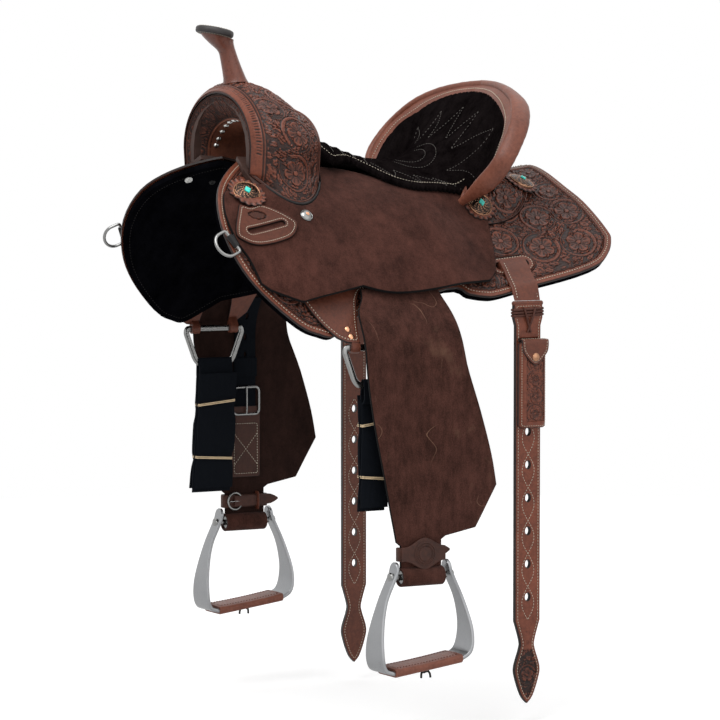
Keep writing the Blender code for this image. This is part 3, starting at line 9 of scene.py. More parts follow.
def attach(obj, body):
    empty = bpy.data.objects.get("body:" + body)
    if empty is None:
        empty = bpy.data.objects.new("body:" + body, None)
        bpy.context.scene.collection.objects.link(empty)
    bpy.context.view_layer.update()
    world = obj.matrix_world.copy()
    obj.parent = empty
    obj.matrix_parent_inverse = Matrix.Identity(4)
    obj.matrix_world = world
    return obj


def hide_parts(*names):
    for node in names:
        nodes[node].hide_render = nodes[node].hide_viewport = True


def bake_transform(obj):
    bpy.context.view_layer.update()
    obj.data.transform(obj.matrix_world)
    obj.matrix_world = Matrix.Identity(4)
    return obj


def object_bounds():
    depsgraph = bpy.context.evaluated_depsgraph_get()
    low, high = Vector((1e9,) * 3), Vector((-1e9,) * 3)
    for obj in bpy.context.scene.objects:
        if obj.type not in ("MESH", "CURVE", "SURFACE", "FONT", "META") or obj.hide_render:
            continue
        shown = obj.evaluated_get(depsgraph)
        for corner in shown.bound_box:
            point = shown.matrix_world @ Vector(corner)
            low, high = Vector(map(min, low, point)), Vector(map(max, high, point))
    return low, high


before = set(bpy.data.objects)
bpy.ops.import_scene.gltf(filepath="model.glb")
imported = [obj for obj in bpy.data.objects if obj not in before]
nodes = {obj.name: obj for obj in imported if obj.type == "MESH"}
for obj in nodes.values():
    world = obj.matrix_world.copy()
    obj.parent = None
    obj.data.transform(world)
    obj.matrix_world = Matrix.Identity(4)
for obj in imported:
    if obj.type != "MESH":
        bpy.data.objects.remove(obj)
cad_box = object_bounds()

# How deep the tooling is cut, in metres.
CARVE_DEPTH = 0.0022

# Sizes of the CAD source that the dressed pieces follow, in metres.
FRONT_Y, REAR_Y = -0.32, 0.32
RIDGE_FALL, RIDGE_DIP = 0.045, 0.04
FRONT_PITCH, REAR_PITCH = math.radians(20), math.radians(16)
FRONT_FLARE, REAR_FLARE = math.radians(52), math.radians(34)
PITCH_REACH, FLARE_REACH = 0.02, 0.18
SEAM, CLEAR = 0.0005, 0.0003
LINING_T, LINING_INSET, SKIRT_T, JOCKEY_T = 0.010, 0.0015, 0.005, 0.0045
RIG_T, KEEPER_T, FENDER_T, LEATHER_T = 0.004, 0.0035, 0.004, 0.003
BILLET_T, PAD_T, BAR_DEPTH = 0.007, 0.008, 0.0242
SKIRT_LOW = LINING_T + SEAM
SKIRT_TOP = SKIRT_LOW + SKIRT_T
LEATHER_RISE = SKIRT_TOP + SEAM + RIG_T + 0.0012
SWING_ROOM = 0.0050
FENDER_RISE = LEATHER_RISE + LEATHER_T + SWING_ROOM
STRAP_RISE = FENDER_RISE - SEAM - LEATHER_T
FORK_FRONT, FORK_REAR, FORK_WIDTH, FORK_CROWN = -0.264, -0.146, 0.149, 0.097
FORK_WAIST, GULLET_WIDTH, GULLET_CROWN, GULLET_FOOT_Q = -0.005, 0.088, 0.066, 0.080
COVER_T, GULLET_T = 0.0045, 0.003
HORN_BASE, HORN_TOP = Vector((0, -0.232, 0.096)), Vector((0, -0.2520, 0.163))
HORN_NECK_LOW, HORN_NECK_HIGH = 0.0172, 0.0128
HORN_CAP_FOOT, HORN_CAP_R, HORN_CAP_T = Vector((0, -0.2690, 0.1666)), 0.0293, 0.011
HORN_CAP_TILT = math.radians(11.5)
ROLL_BREADTH, ROLL_T, ROLL_DROOP = 0.031, 0.017, math.radians(38)
CANTLE_BACK_T, POMMEL_RISE = 0.004, 0.028
HANG_Y, OFF_SIDE_SHORTER, HANG_BEND, HANG_PLUMB = -0.071, 0.026, 0.33, 0.39
LIFT_U = 0.2935
STRAP_W, STRAP_TOP_U = 0.037, LIFT_U + 0.0300
BOLT_DROP = 0.705
STRAP_END_U, TAB_END_U, NECK_TOP_U = BOLT_DROP - 0.190, BOLT_DROP - 0.073, BOLT_DROP - 0.0465
HOBBLE_TOP_U, HOBBLE_END_U = BOLT_DROP - 0.0445, BOLT_DROP - 0.0240
LOOP_R, LOOP_T, LOOP_W = 0.0145, 0.004, 0.072
STIRRUP_TOP_HALF, STIRRUP_BOLT_HALF, TREAD_HALF = 0.0435, 0.0490, 0.0775
STIRRUP_T, TREAD_DEPTH, NECK_DEPTH, TREAD_DROP = 0.0055, 0.052, 0.023, 0.1325
TREAD_TILT = math.radians(7.5)
DEE_WIRE, RING_T, RING_WIDTH, RING_TOP_HALF, RING_LOW_HALF = 0.0024, 0.0045, 0.010, 0.046, 0.030
RING_DROP, RING_TOP_Q, RING_Y = 0.056, 0.3735, -0.137
BILLET_W, BILLET_X, BILLET_HINGE_Z = 0.044, 0.2515, -0.240
BILLET_PLACE = {1: 0.137, -1: 0.112}
BILLET_HOLE_W, BILLET_HOLE_H, BILLET_HOLE_PITCH, BILLET_HOLES = 0.009, 0.0125, 0.0508, 6
SLOT_W, SLOT_H, SLOT_Q = 0.056, 0.014, 0.2385
BILLET_EDGE_Q = {1: 0.288, -1: 0.290}
SIDES = {1: "left", -1: "right"}
MIRROR = np.array([-1, 1, 1])
# Places and weights of the six-point Gauss rule.
GAUSS = (
    (-0.9324695, 0.1713245), (-0.6612094, 0.3607616), (-0.2386192, 0.4679139),
    (0.2386192, 0.4679139), (0.6612094, 0.3607616), (0.9324695, 0.1713245),
)

# The same surfaces as in the CAD source, written for whole arrays of points.


def arrays(*values):
    return np.broadcast_arrays(*(np.asarray(value, float) for value in values))


def unit(vectors):
    """The same directions with a length of one."""
    return vectors / np.maximum(np.linalg.norm(vectors, axis=-1, keepdims=True), 1e-12)


def whole_turn(count):
    return 2 * math.pi * np.arange(count) / count


def polar(radius, angles, height):
    """Points at a radius and angles in a plane, with their heights over it."""
    return np.stack([radius * np.cos(angles), radius * np.sin(angles), height + 0 * angles], 1)


def box(a, b):
    """The corners of an oblong section about its middle."""
    return [(a, b, 0), (a, -b, 0), (-a, -b, 0), (-a, b, 0)]


def ease(low, high, value):
    """A smooth rise from 0 at low to 1 at high."""
    share = np.clip((np.asarray(value, float) - low) / (high - low), 0, 1)
    return share * share * (3 - 2 * share)


def ridge_height(y):
    share = (y - FRONT_Y) / (REAR_Y - FRONT_Y)
    return -RIDGE_FALL * share - 4 * RIDGE_DIP * share * (1 - share)


def roof_slope(y, q):
    share = (y - FRONT_Y) / (REAR_Y - FRONT_Y)
    pitch = FRONT_PITCH + (REAR_PITCH - FRONT_PITCH) * share
    flare = FRONT_FLARE + (REAR_FLARE - FRONT_FLARE) * share
    return pitch * (1 - np.exp(-q / PITCH_REACH)) + flare * (1 - np.exp(-q / FLARE_REACH))


def roof(y, q, rise=0.0):
    """Points of the horse's back at (y, q), lifted off it by rise."""
    y, q, rise = arrays(y, q, rise)
    side, reach = np.where(q < 0, -1, 1), np.abs(q)
    middle = np.minimum(reach, 0.05)
    x, z = np.zeros_like(y), np.zeros_like(y)
    for start, end in ((0 * middle, middle), (middle, reach)):
        half = (end - start) / 2
        for place, weight in GAUSS:
            angle = roof_slope(y, start + half * (1 + place))
            x = x + half * weight * np.cos(angle)
            z = z - half * weight * np.sin(angle)
    angle = roof_slope(y, reach)
    return np.stack([side * (x + rise * np.sin(angle)), y,
                     ridge_height(y) + z + rise * np.cos(angle)], -1)


def cover(y, q):
    """Height at which the leather over the tree's bars begins."""
    q = np.abs(q)
    hump = ease(-0.33, -0.21, y) * (1 - ease(0.19, 0.26, y))
    hump = hump * (1 - ease(0.0, 0.12, y) * ease(0.08, 0.15, q))
    return SKIRT_TOP + SEAM + BAR_DEPTH * hump * (0.35 + 0.65 * ease(0.0, 0.17, q))


def jockey_top(y, q):
    return cover(y, q) + JOCKEY_T


def roof_height(x, y, rise):
    """Height of the roof's layer above plan points, found by halving."""
    low, high = np.zeros_like(x), np.full_like(x, 0.40)
    for _ in range(22):
        middle = (low + high) / 2
        short = roof(y, middle, rise(y, middle))[..., 0] < np.abs(x)
        low, high = np.where(short, middle, low), np.where(short, high, middle)
    return roof(y, low, rise(y, low))[..., 2]


DRAPE_U = np.linspace(0, 0.86, 1721)
DRAPE_TURN = np.where(
    DRAPE_U <= HANG_BEND, roof_slope(HANG_Y, DRAPE_U),
    roof_slope(HANG_Y, HANG_BEND) + (math.pi / 2 - roof_slope(HANG_Y, HANG_BEND))
    * ease(HANG_BEND, HANG_PLUMB, DRAPE_U))
DRAPE_STEP = DRAPE_U[1]


def summed(slope):
    return np.concatenate([[0], np.cumsum((slope[1:] + slope[:-1]) / 2 * DRAPE_STEP)])


DRAPE_X = summed(np.cos(DRAPE_TURN))
DRAPE_Z = ridge_height(HANG_Y) - summed(np.sin(DRAPE_TURN))


def drape(y, u, rise=0.0):
    """Points of a hanging leather: down the roof at HANG_Y, then turning plumb."""
    y, u, rise = arrays(y, u, rise)
    turn = np.interp(u, DRAPE_U, DRAPE_TURN)
    return np.stack([np.interp(u, DRAPE_U, DRAPE_X) + rise * np.sin(turn), y,
                     np.interp(u, DRAPE_U, DRAPE_Z) + rise * np.cos(turn)], -1)


def swell_foot(y):
    return 0.157 - np.where(y < -0.212, 20, 14) * (y + 0.212) ** 2


def fork_section(y):
    rise = ease(FORK_FRONT - 0.004, FORK_FRONT + 0.026, y) ** 0.5
    width = 0.106 + (FORK_WIDTH - 0.106) * rise - 0.036 * ease(-0.205, -0.138, y)
    return width, 0.080 + (FORK_CROWN - 0.080) * rise - 0.042 * ease(-0.225, -0.136, y)


DISH_START = ((0.0, 0.030), (0.06, 0.044), (0.10, 0.078), (0.13, 0.108), (0.165, 0.104),
              (0.20, 0.112))
DISH_END_Y = ((0.0, 0.196), (0.050, 0.190), (0.100, 0.178), (0.145, 0.164), (0.172, 0.148),
              (0.188, 0.128), (0.20, 0.116))
DISH_END_Z = ((0.0, 0.087), (0.050, 0.084), (0.100, 0.074), (0.145, 0.057), (0.172, 0.034),
              (0.188, 0.006), (0.20, -0.016))
WING_RISE = ((0.0, 0.0), (0.126, 0.0), (0.160, 0.018), (0.187, 0.044), (0.20, 0.066))
SEAT_SIDE_X = 0.126
CANTLE_FOOT = ((0.0, 0.186), (0.045, 0.184), (0.080, 0.174), (0.104, 0.157))


def table(pairs, value):
    return np.interp(value, [a for a, _ in pairs], [b for _, b in pairs])


def seat_height(x, y):
    reach = np.abs(x)
    side = np.minimum(reach, SEAT_SIDE_X)
    base = roof_height(side, y, lambda a, b: jockey_top(a, b) + PAD_T + 0.0021)
    base = base + POMMEL_RISE * (1 - ease(-0.150, 0.010, y)) * np.maximum(
        1 - (x / 0.125) ** 2, 0.0)
    start, end = table(DISH_START, reach), table(DISH_END_Y, reach)
    low = base + table(WING_RISE, reach)
    share = np.clip((y - start) / np.maximum(end - start, 1e-4), 0, 1.3)
    return low + (table(DISH_END_Z, reach) - low) * share ** (1.9 - 3.0 * reach)


def seat(y, x, rise=0.0):
    """Points of the seat at plan coordinates, lifted along the surface's normal."""
    y, x, rise = arrays(y, x, rise)
    step = 0.004
    slope_x = (seat_height(x + step, y) - seat_height(x - step, y)) / (2 * step)
    slope_y = (seat_height(x, y + step) - seat_height(x, y - step)) / (2 * step)
    normal = unit(np.stack([-slope_x, -slope_y, np.ones_like(x)], -1))
    return np.stack([x, y, seat_height(x, y)], -1) + normal * rise[..., None]


# Outlines, as in the CAD source.


def smooth(points, steps=4):
    """An open run drawn through its points as a Catmull-Rom curve."""
    padded = [points[0]] + list(points) + [points[-1]]
    run = []
    for a, b, c, d in zip(padded, padded[1:], padded[2:], padded[3:]):
        for index in range(steps):
            t = index / steps
            run.append(tuple(
                0.5 * (2 * b[k] + (c[k] - a[k]) * t
                       + (2 * a[k] - 5 * b[k] + 4 * c[k] - d[k]) * t * t
                       + (3 * b[k] - a[k] - 3 * c[k] + d[k]) * t ** 3)
                for k in range(len(b))))
    run.append(tuple(points[-1]))
    return run


def joined(*runs):
    """One closed outline from several runs, without doubled points."""
    outline = []
    for run in runs:
        for point in run:
            if not outline or math.dist(point, outline[-1]) > 1e-6:
                outline.append(tuple(point))
    if math.dist(outline[0], outline[-1]) < 1e-6:
        outline.pop()
    return outline


def mirrored(half):
    """A run of (y, x) points carried on to the other side of the middle line."""
    return half + [(y, -x) for y, x in reversed(half[:-1])]


def oval(centre, width, height, segments=20):
    return [(centre[0] + width / 2 * math.cos(2 * math.pi * k / segments),
             centre[1] + height / 2 * math.sin(2 * math.pi * k / segments))
            for k in range(segments)]


def slot(centre, width, height, turn=0.0, steps=8):
    """A long hole with round ends."""
    reach, radius = (width - height) / 2, height / 2
    ring = []
    for end, start in ((1, -math.pi / 2), (-1, math.pi / 2)):
        for index in range(steps + 1):
            angle = start + math.pi * index / steps
            a = end * reach + radius * math.cos(angle)
            b = radius * math.sin(angle)
            ring.append((centre[0] + a * math.cos(turn) - b * math.sin(turn),
                         centre[1] + a * math.sin(turn) + b * math.cos(turn)))
    return ring


def resample(ring, spacing):
    """The same outline with its long stretches divided; its own corners stay."""
    ring = [tuple(p) for p in ring]
    out = []
    for a, b in zip(ring, ring[1:] + ring[:1]):
        count = max(1, round(math.dist(a, b) / spacing))
        out += [(a[0] + (b[0] - a[0]) * k / count, a[1] + (b[1] - a[1]) * k / count)
                for k in range(count)]
    return np.array(out)


def lengths_along(run):
    return np.concatenate([[0], np.cumsum(np.linalg.norm(np.diff(run, axis=0), axis=1))])


def spread(run, count):
    """Points at even distances along a polyline of any dimension."""
    run = np.asarray(run, float)
    lengths = lengths_along(run)
    at = np.linspace(0, lengths[-1], count)
    return np.stack([np.interp(at, lengths, run[:, k]) for k in range(run.shape[1])], 1)


def even(run, pitch, closed=False):
    """The same with a pitch for a number of points."""
    run = np.asarray(run, float)
    if closed:
        run = np.vstack([run, run[:1]])
    return spread(run, max(2, int(round(lengths_along(run)[-1] / pitch)) + 1))


def distance_to(points, ring, closed=True, chunk=4000):
    """Distance of each point to a polyline."""
    a = np.asarray(ring, float)
    b = np.roll(a, -1, axis=0)
    if not closed:
        a, b = a[:-1], b[:-1]
    span = b - a
    size = np.maximum((span ** 2).sum(1), 1e-18)
    out = np.empty(len(points))
    for i in range(0, len(points), chunk):
        p = points[i:i + chunk, None, :] - a[None]
        t = np.clip((p * span[None]).sum(2) / size[None], 0, 1)
        gap = p - t[..., None] * span[None]
        out[i:i + chunk] = np.sqrt((gap ** 2).sum(2).min(1))
    return out


def inside(points, ring, chunk=8000):
    """Whether each point lies within a closed ring."""
    a = np.asarray(ring, float)
    b = np.roll(a, -1, axis=0)
    out = np.zeros(len(points), bool)
    for i in range(0, len(points), chunk):
        x, y = points[i:i + chunk, 0:1], points[i:i + chunk, 1:2]
        crossing = (a[None, :, 1] > y) != (b[None, :, 1] > y)
        rise = np.where(b[:, 1] == a[:, 1], 1e-12, b[:, 1] - a[:, 1])
        at = (b[None, :, 0] - a[None, :, 0]) * (y - a[None, :, 1]) / rise[None] + a[None, :, 0]
        out[i:i + chunk] = (crossing & (x < at)).sum(1) % 2 == 1
    return out


def inset(ring, amount, spacing=0.002):
    """The outline drawn in by amount, with the loops at tight corners cut off."""
    dense = resample(ring, spacing)
    area = (dense[:, 0] * np.roll(dense[:, 1], -1) - np.roll(dense[:, 0], -1) * dense[:, 1]).sum()
    along = unit(np.roll(dense, -1, axis=0) - np.roll(dense, 1, axis=0))
    inward = np.stack([-along[:, 1], along[:, 0]], 1) * (1 if area > 0 else -1)
    moved = dense + inward * amount
    return moved[distance_to(moved, dense) > abs(amount) * 0.97]


# Tooling: a generic Western floral pattern, as heights from 0 in the matted ground to 1.


def blossom(p, size, turn):
    """A five-petalled flower: how far inside it each point is, and its relief."""
    r = np.hypot(p[:, 0], p[:, 1])
    place = (np.arctan2(p[:, 1], p[:, 0]) - turn) * 5 / (2 * math.pi)
    across = np.abs(place - np.round(place)) * 2
    reach = size * (0.50 + 0.50 * np.sqrt(np.clip(1 - across ** 2.2, 0, 1)))
    depth, share = reach - r, r / size
    height = 0.50 + 0.50 * np.exp(-((depth - 0.0012) / 0.0017) ** 2)
    height += 0.22 * np.exp(-(across / 0.16) ** 2) * ease(0.2, 0.75, share)
    height -= 0.45 * np.exp(-((across - 0.42) / 0.09) ** 2) * ease(0.25, 0.40, share) * (
        1 - ease(0.72, 0.86, share))
    height -= 0.75 * ease(0.80, 0.97, across) * ease(0.14, 0.22, share)
    height = np.where(share < 0.26, 0.1, height)
    height = np.where(share < 0.19, 0.95, height)
    return depth, np.clip(height, 0, 1)


def stem(p, radius, width, start, sweep):
    """An arc of scroll round a flower, tapering to its end."""
    r = np.hypot(p[:, 0], p[:, 1])
    share = ((np.arctan2(p[:, 1], p[:, 0]) - start) % (2 * math.pi)) / sweep
    half = width / 2 * np.clip(1.15 - 0.75 * share, 0, 1) * np.where(share <= 1, 1, -1)
    depth = half - np.abs(r - radius - width * 0.5 * share)
    height = 0.80 + 0.20 * np.cos(np.clip((r - radius) / width * math.pi, -3, 3))
    height -= 0.55 * np.exp(-((r - radius - width * (0.5 * share - 0.12)) / 0.0007) ** 2)
    return depth, np.clip(height, 0, 1)


def leaf(p, length, width, turn, curl):
    """A pointed, lobed leaf that bends to one side."""
    u = (p[:, 0] * math.cos(turn) + p[:, 1] * math.sin(turn)) / length
    v = -p[:, 0] * math.sin(turn) + p[:, 1] * math.cos(turn) - curl * length * u * u
    inner = np.clip(u, 0, 1)
    half = width / 2 * np.sin(math.pi * inner ** 0.75) * (1 + 0.16 * np.cos(inner * 21))
    depth = np.where((u > 0) & (u < 1), half - np.abs(v), -0.01)
    height = 0.78 + 0.22 * np.cos(inner * 26 + np.abs(v) / width * 7)
    height -= 0.60 * np.exp(-(v / 0.0007) ** 2)
    return depth, np.clip(height, 0, 1)


def lay(height, points, centre, reach, shape, *args):
    """Sets one motif over what is there, with a cut line round it."""
    near = np.nonzero(np.hypot(points[:, 0] - centre[0], points[:, 1] - centre[1]) < reach)[0]
    if len(near) == 0:
        return
    depth, relief = shape(points[near] - np.array(centre), *args)
    cut = (depth > -0.0013) & (depth <= 0)
    height[near[cut]] = np.minimum(height[near[cut]], 0.0)
    within = depth > 0
    height[near[within]] = relief[within] * ease(0, 0.0007, depth[within])


def foliage(low, high, pitch, flowers, length=0.027, width=0.0130):
    """Leaves all over a patch, each following round the flower it is nearest to."""
    sprays = []
    for i in range(int((high[0] - low[0]) / pitch) + 2):
        for j in range(int((high[1] - low[1]) / pitch) + 2):
            a = low[0] + pitch * (i + 0.35 * math.sin(j * 2.4))
            b = low[1] + pitch * (j + 0.35 * math.sin(i * 1.7))
            gaps = [math.hypot(a - f[0], b - f[1]) for f in flowers]
            number = int(np.argmin(gaps))
            way = 1 if number % 2 else -1
            turn = math.atan2(b - flowers[number][1], a - flowers[number][0]) + way * (
                1.0 + 0.5 * math.sin(i * 2.1 + j * 3.3))
            grow = 0.85 + 0.25 * math.sin(i * 1.1 + j * 1.9)
            sprays.append((a, b, length * grow, width * grow, turn, way * 0.35))
    return sprays


OUTER_LEAVES, INNER_LEAVES = 9, 7


def tooling(points, flowers, sprays):
    """Heights of the floral pattern at flat points; flowers are (a, b, size, turn)."""
    ground = np.sin(points[:, 0] * 2900) * np.sin(points[:, 1] * 2700 + points[:, 0] * 900)
    height = 0.16 + 0.10 * ground
    for a, b, length, width, turn, curl in sprays:
        lay(height, points, (a, b), length * 1.5, leaf, length, width, turn, curl)
    for number, (a, b, size, turn) in enumerate(flowers):
        way = 1 if number % 2 else -1
        for k in range(OUTER_LEAVES):
            angle = turn + 2 * math.pi * (k + 0.5) / OUTER_LEAVES
            root = (a + size * 1.35 * math.cos(angle), b + size * 1.35 * math.sin(angle))
            lay(height, points, root, size * 1.5, leaf, size * 1.05, size * 0.46,
                angle + way * 0.85, way * 0.30)
    for number, (a, b, size, turn) in enumerate(flowers):
        lay(height, points, (a, b), size * 2.2, stem, size * 1.28, size * 0.30, turn + number,
            5.4)
        for k in range(INNER_LEAVES):
            angle = turn + 2 * math.pi * k / INNER_LEAVES
            root = (a + size * 0.72 * math.cos(angle), b + size * 0.72 * math.sin(angle))
            lay(height, points, root, size * 0.8, leaf, size * 0.50, size * 0.26, angle, 0.2)
        lay(height, points, (a, b), size * 1.2, blossom, size, turn)
    return height


def border(height, edge, width):
    """Leaves the border flat, with a double cut line along its inner side."""
    height = np.where(edge < width, 0.80, height)
    for at in (width, width - 0.0026):
        height = np.where(np.abs(edge - at) < 0.0007, 0.0, height)
    return height


# Meshes.


def turn_outward(mesh):
    """Turns a closed mesh's faces over where they look inward."""
    count = len(mesh.polygons)
    normals, centres, areas = np.empty(count * 3), np.empty(count * 3), np.empty(count)
    mesh.polygons.foreach_get("normal", normals)
    mesh.polygons.foreach_get("center", centres)
    mesh.polygons.foreach_get("area", areas)
    centres = centres.reshape(-1, 3)
    away = ((centres - centres.mean(0)) * normals.reshape(-1, 3)).sum(1)
    if (away * areas).sum() < 0:
        mesh.flip_normals()


def place_mesh(name, points, faces, body, made_of, attributes=None, side=1, angle=50,
               closed=True):
    """A mesh object in the frame's metres, mirrored for the off side, riding on a body."""
    points = np.asarray(points, float)
    if side < 0:
        points = points * MIRROR
        faces = [tuple(reversed(face)) for face in faces]
    mesh = bpy.data.meshes.new(name)
    mesh.from_pydata(points.tolist(), [], [tuple(int(i) for i in f) for f in faces])
    given = {"carve": np.ones(len(points)), "edge": np.ones(len(points))}
    given.update(attributes or {})
    for key, values in given.items():
        values = np.asarray(values, np.float32)
        kind = "FLOAT_VECTOR" if values.ndim == 2 else "FLOAT"
        layer = mesh.attributes.new(key, kind, "POINT")
        layer.data.foreach_set("vector" if values.ndim == 2 else "value", values.ravel())
    if closed:
        turn_outward(mesh)
    mesh.shade_smooth()
    mesh.set_sharp_from_angle(angle=math.radians(angle))
    mesh.materials.append(made_of)
    piece = bpy.data.objects.new(name, mesh)
    bpy.context.collection.objects.link(piece)
    if body:
        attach(piece, body)
    return piece


def everywhere(points):
    return np.ones(len(points), bool)


def panel(name, rings, surface, low, high, made_of, body, side=1, spacing=0.006, fine=None,
          fine_spacing=0.0017, relief=None, carve=None, soft=0.0012, backed=True):
    """A leather layer over a surface: rounded edges, relief, and attributes for its material.

    fine(points) says where the mesh is dense; relief(points, edge) gives metres added to the
    top; carve gives the tooling's heights.
    """
    pitch = spacing * 0.7 if fine is None else fine_spacing * 1.5
    rings = [resample(ring, pitch) for ring in rings]
    flat = [np.vstack(rings)]
    edges, first = [], 0
    for ring in rings:
        count = len(ring)
        edges += [(first + i, first + (i + 1) % count) for i in range(count)]
        first += count
    for amount in (soft * 0.35, soft):
        for number, ring in enumerate(rings):
            flat.append(inset(ring, amount if number == 0 else -amount, pitch))
    low_corner, high_corner = rings[0].min(0), rings[0].max(0)

    def lattice(pitch):
        rows = np.arange(low_corner[1] + pitch / 2, high_corner[1], pitch * 0.866)
        columns = np.arange(low_corner[0] + pitch / 2, high_corner[0], pitch)
        grid = np.stack(np.meshgrid(columns, rows), -1)
        grid[1::2, :, 0] += pitch / 2
        return grid.reshape(-1, 2)

    def within(points):
        found = inside(points, rings[0])
        for ring in rings[1:]:
            found &= ~inside(points, ring)
        return found

    if fine is None:
        inner = lattice(spacing)
        reach = np.full(len(inner), spacing)
    else:
        dense, loose = lattice(fine_spacing), lattice(spacing)
        dense, loose = dense[fine(dense)], loose[~fine(loose)]
        inner = np.vstack([dense, loose])
        reach = np.concatenate([np.full(len(dense), fine_spacing),
                                np.full(len(loose), spacing)])
    kept = within(inner)
    inner, reach = inner[kept], reach[kept]
    gap = np.minimum.reduce([distance_to(inner, ring) for ring in rings])
    inner = inner[gap > np.maximum(soft * 1.2, reach * 0.55)]
    flat = np.vstack(flat + [inner])
    found = delaunay_2d_cdt([Vector(p) for p in flat.tolist()], edges, [], 0, 1e-8)
    flat = np.array([(p.x, p.y) for p in found[0]])
    triangles = np.array([f for f in found[2] if len(f) == 3])
    triangles = triangles[within(flat[triangles].mean(1))]
    used, triangles = np.unique(triangles, return_inverse=True)
    flat, triangles = flat[used], triangles.reshape(-1, 3)
    edge = np.minimum.reduce([distance_to(flat, ring) for ring in rings])
    a, b = flat[:, 0], flat[:, 1]
    top = (high(a, b) if callable(high) else high) + 0 * a
    under = (low(a, b) if callable(low) else low) + 0 * a
    carved = carve(flat, edge) if carve else np.ones(len(flat))
    if relief is not None:
        top = top + relief(flat, edge)
    if carve:
        top = top + CARVE_DEPTH * (carved - 1)
    dip = np.clip(1 - edge / soft, 0, 1)
    top = top - soft * (1 - np.sqrt(1 - dip ** 2 * 0.98))
    points = surface(a, b, top)
    count = len(flat)
    below = surface(a, b, under)
    corner = points[triangles]
    normals = np.cross(corner[:, 1] - corner[:, 0], corner[:, 2] - corner[:, 0])
    if (normals * (points - below)[triangles[:, 0]]).sum() < 0:
        triangles = triangles[:, ::-1]
    pairs = np.concatenate([triangles[:, [0, 1]], triangles[:, [1, 2]], triangles[:, [2, 0]]])
    rim_pairs = {}
    for i, j in pairs.tolist():
        if not rim_pairs.pop((j, i), False):
            rim_pairs[(i, j)] = True
    faces = triangles.tolist()
    if backed:
        behind = np.arange(count)
        back_edge, back_carve = edge, 1.0
        faces += (triangles[:, ::-1] + count).tolist()
    else:
        behind = np.array(sorted({i for pair in rim_pairs for i in pair}))
        back_edge, back_carve = np.zeros(len(behind)), 0.6
    index = {i: count + k for k, i in enumerate(behind.tolist())}
    faces += [(j, i, index[i], index[j]) for i, j in rim_pairs]
    attributes = {
        "edge": np.concatenate([edge, back_edge]),
        "carve": np.concatenate([carved, np.full(len(behind), back_carve)]),
    }
    return place_mesh(name, np.vstack([points, below[behind]]), faces, body, made_of, attributes,
                      side, closed=False)


def grid_mesh(name, rings, body, made_of, side=1, closed=False, angle=50, attributes=None):
    """A skin over rings of points: closed joins the last to the first, or caps end it."""
    rows = np.asarray(rings, float)
    m, n = rows.shape[:2]
    faces = []
    for i in range(m if closed else m - 1):
        for j in range(n):
            a, b = i * n + j, i * n + (j + 1) % n
            c, d = ((i + 1) % m) * n + (j + 1) % n, ((i + 1) % m) * n + j
            faces.append((a, b, c, d))
    if not closed:
        faces.append(tuple(reversed(range(n))))
        faces.append(tuple((m - 1) * n + j for j in range(n)))
    return place_mesh(name, rows.reshape(-1, 3), faces, body, made_of, attributes, side, angle)


def shell(name, outer, inner, made_of, attributes=None):
    """A skin between two equal grids of points, closed round its rims."""
    outer, inner = np.asarray(outer, float), np.asarray(inner, float)
    m, n = outer.shape[:2]
    base = m * n
    faces = []
    for i in range(m - 1):
        for j in range(n - 1):
            a, b = i * n + j, (i + 1) * n + j
            faces.append((a, a + 1, b + 1, b))
            faces.append((base + b, base + b + 1, base + a + 1, base + a))
    for j in range(n - 1):
        faces.append((base + j, base + j + 1, j + 1, j))
        b = (m - 1) * n + j
        faces.append((b, b + 1, base + b + 1, base + b))
    for i in range(m - 1):
        a, b = i * n, (i + 1) * n
        faces.append((a, b, base + b, base + a))
        a, b = a + n - 1, b + n - 1
        faces.append((base + a, base + b, b, a))
    points = np.vstack([outer.reshape(-1, 3), inner.reshape(-1, 3)])
    return place_mesh(name, points, faces, "saddle", made_of, attributes)


def carved_shell(name, outer, inner, made_of, height, edge, behind):
    """A shell whose outer grid is cut in to the tooling's heights."""
    shift = CARVE_DEPTH * (height.reshape(outer.shape[:2]) - 1)
    zeros = np.zeros(len(height))
    return shell(name, outer + unit(outer - inner) * shift[..., None], inner, made_of, {
        "edge": np.concatenate([edge, zeros]),
        "carve": np.concatenate([height, zeros + behind])})


def frames(path, closed, up):
    """Directions across and upright at each point of a path."""
    if closed:
        along = np.roll(path, -1, 0) - np.roll(path, 1, 0)
    else:
        along = np.gradient(path, axis=0)
    along = unit(along)
    if up is None:
        normal = np.cross(path, np.roll(path, -1, 0)).sum(0)
        up = normal if np.linalg.norm(normal) > 1e-9 else np.array([1.0, 0.0, 0.0])
    across = unit(np.cross(along, np.broadcast_to(np.asarray(up, float), along.shape)))
    return across, np.cross(across, along)


def tube(name, path, radius, body, made_of, side=1, sides=14, closed=False, flat=1.0, up=None):
    """A bar of round or flattened section along a path."""
    path = np.asarray(path, float)
    across, upright = frames(path, closed, up)
    turn = whole_turn(sides)
    rows = (path[:, None] + across[:, None] * (radius * np.cos(turn))[:, None]
            + upright[:, None] * (radius * flat * np.sin(turn))[:, None])
    return grid_mesh(name, rows, body, made_of, side, closed)


def rounded_run(points, radius, steps=5):
    """A closed polyline whose corners are rounded off."""
    points = [np.asarray(p, float) for p in points]
    out = []
    for i, p in enumerate(points):
        a, b = points[i - 1] - p, points[(i + 1) % len(points)] - p
        cut = min(radius, np.linalg.norm(a) * 0.45, np.linalg.norm(b) * 0.45)
        start = p + a / np.linalg.norm(a) * cut
        end = p + b / np.linalg.norm(b) * cut
        for k in range(steps + 1):
            t = k / steps
            out.append((1 - t) ** 2 * start + 2 * t * (1 - t) * p + t * t * end)
    return np.array(out)


def turn_to(axis):
    """The turn that takes the upright onto an axis, as a matrix."""
    return np.array(Vector((0, 0, 1)).rotation_difference(Vector(axis).normalized()).to_matrix())


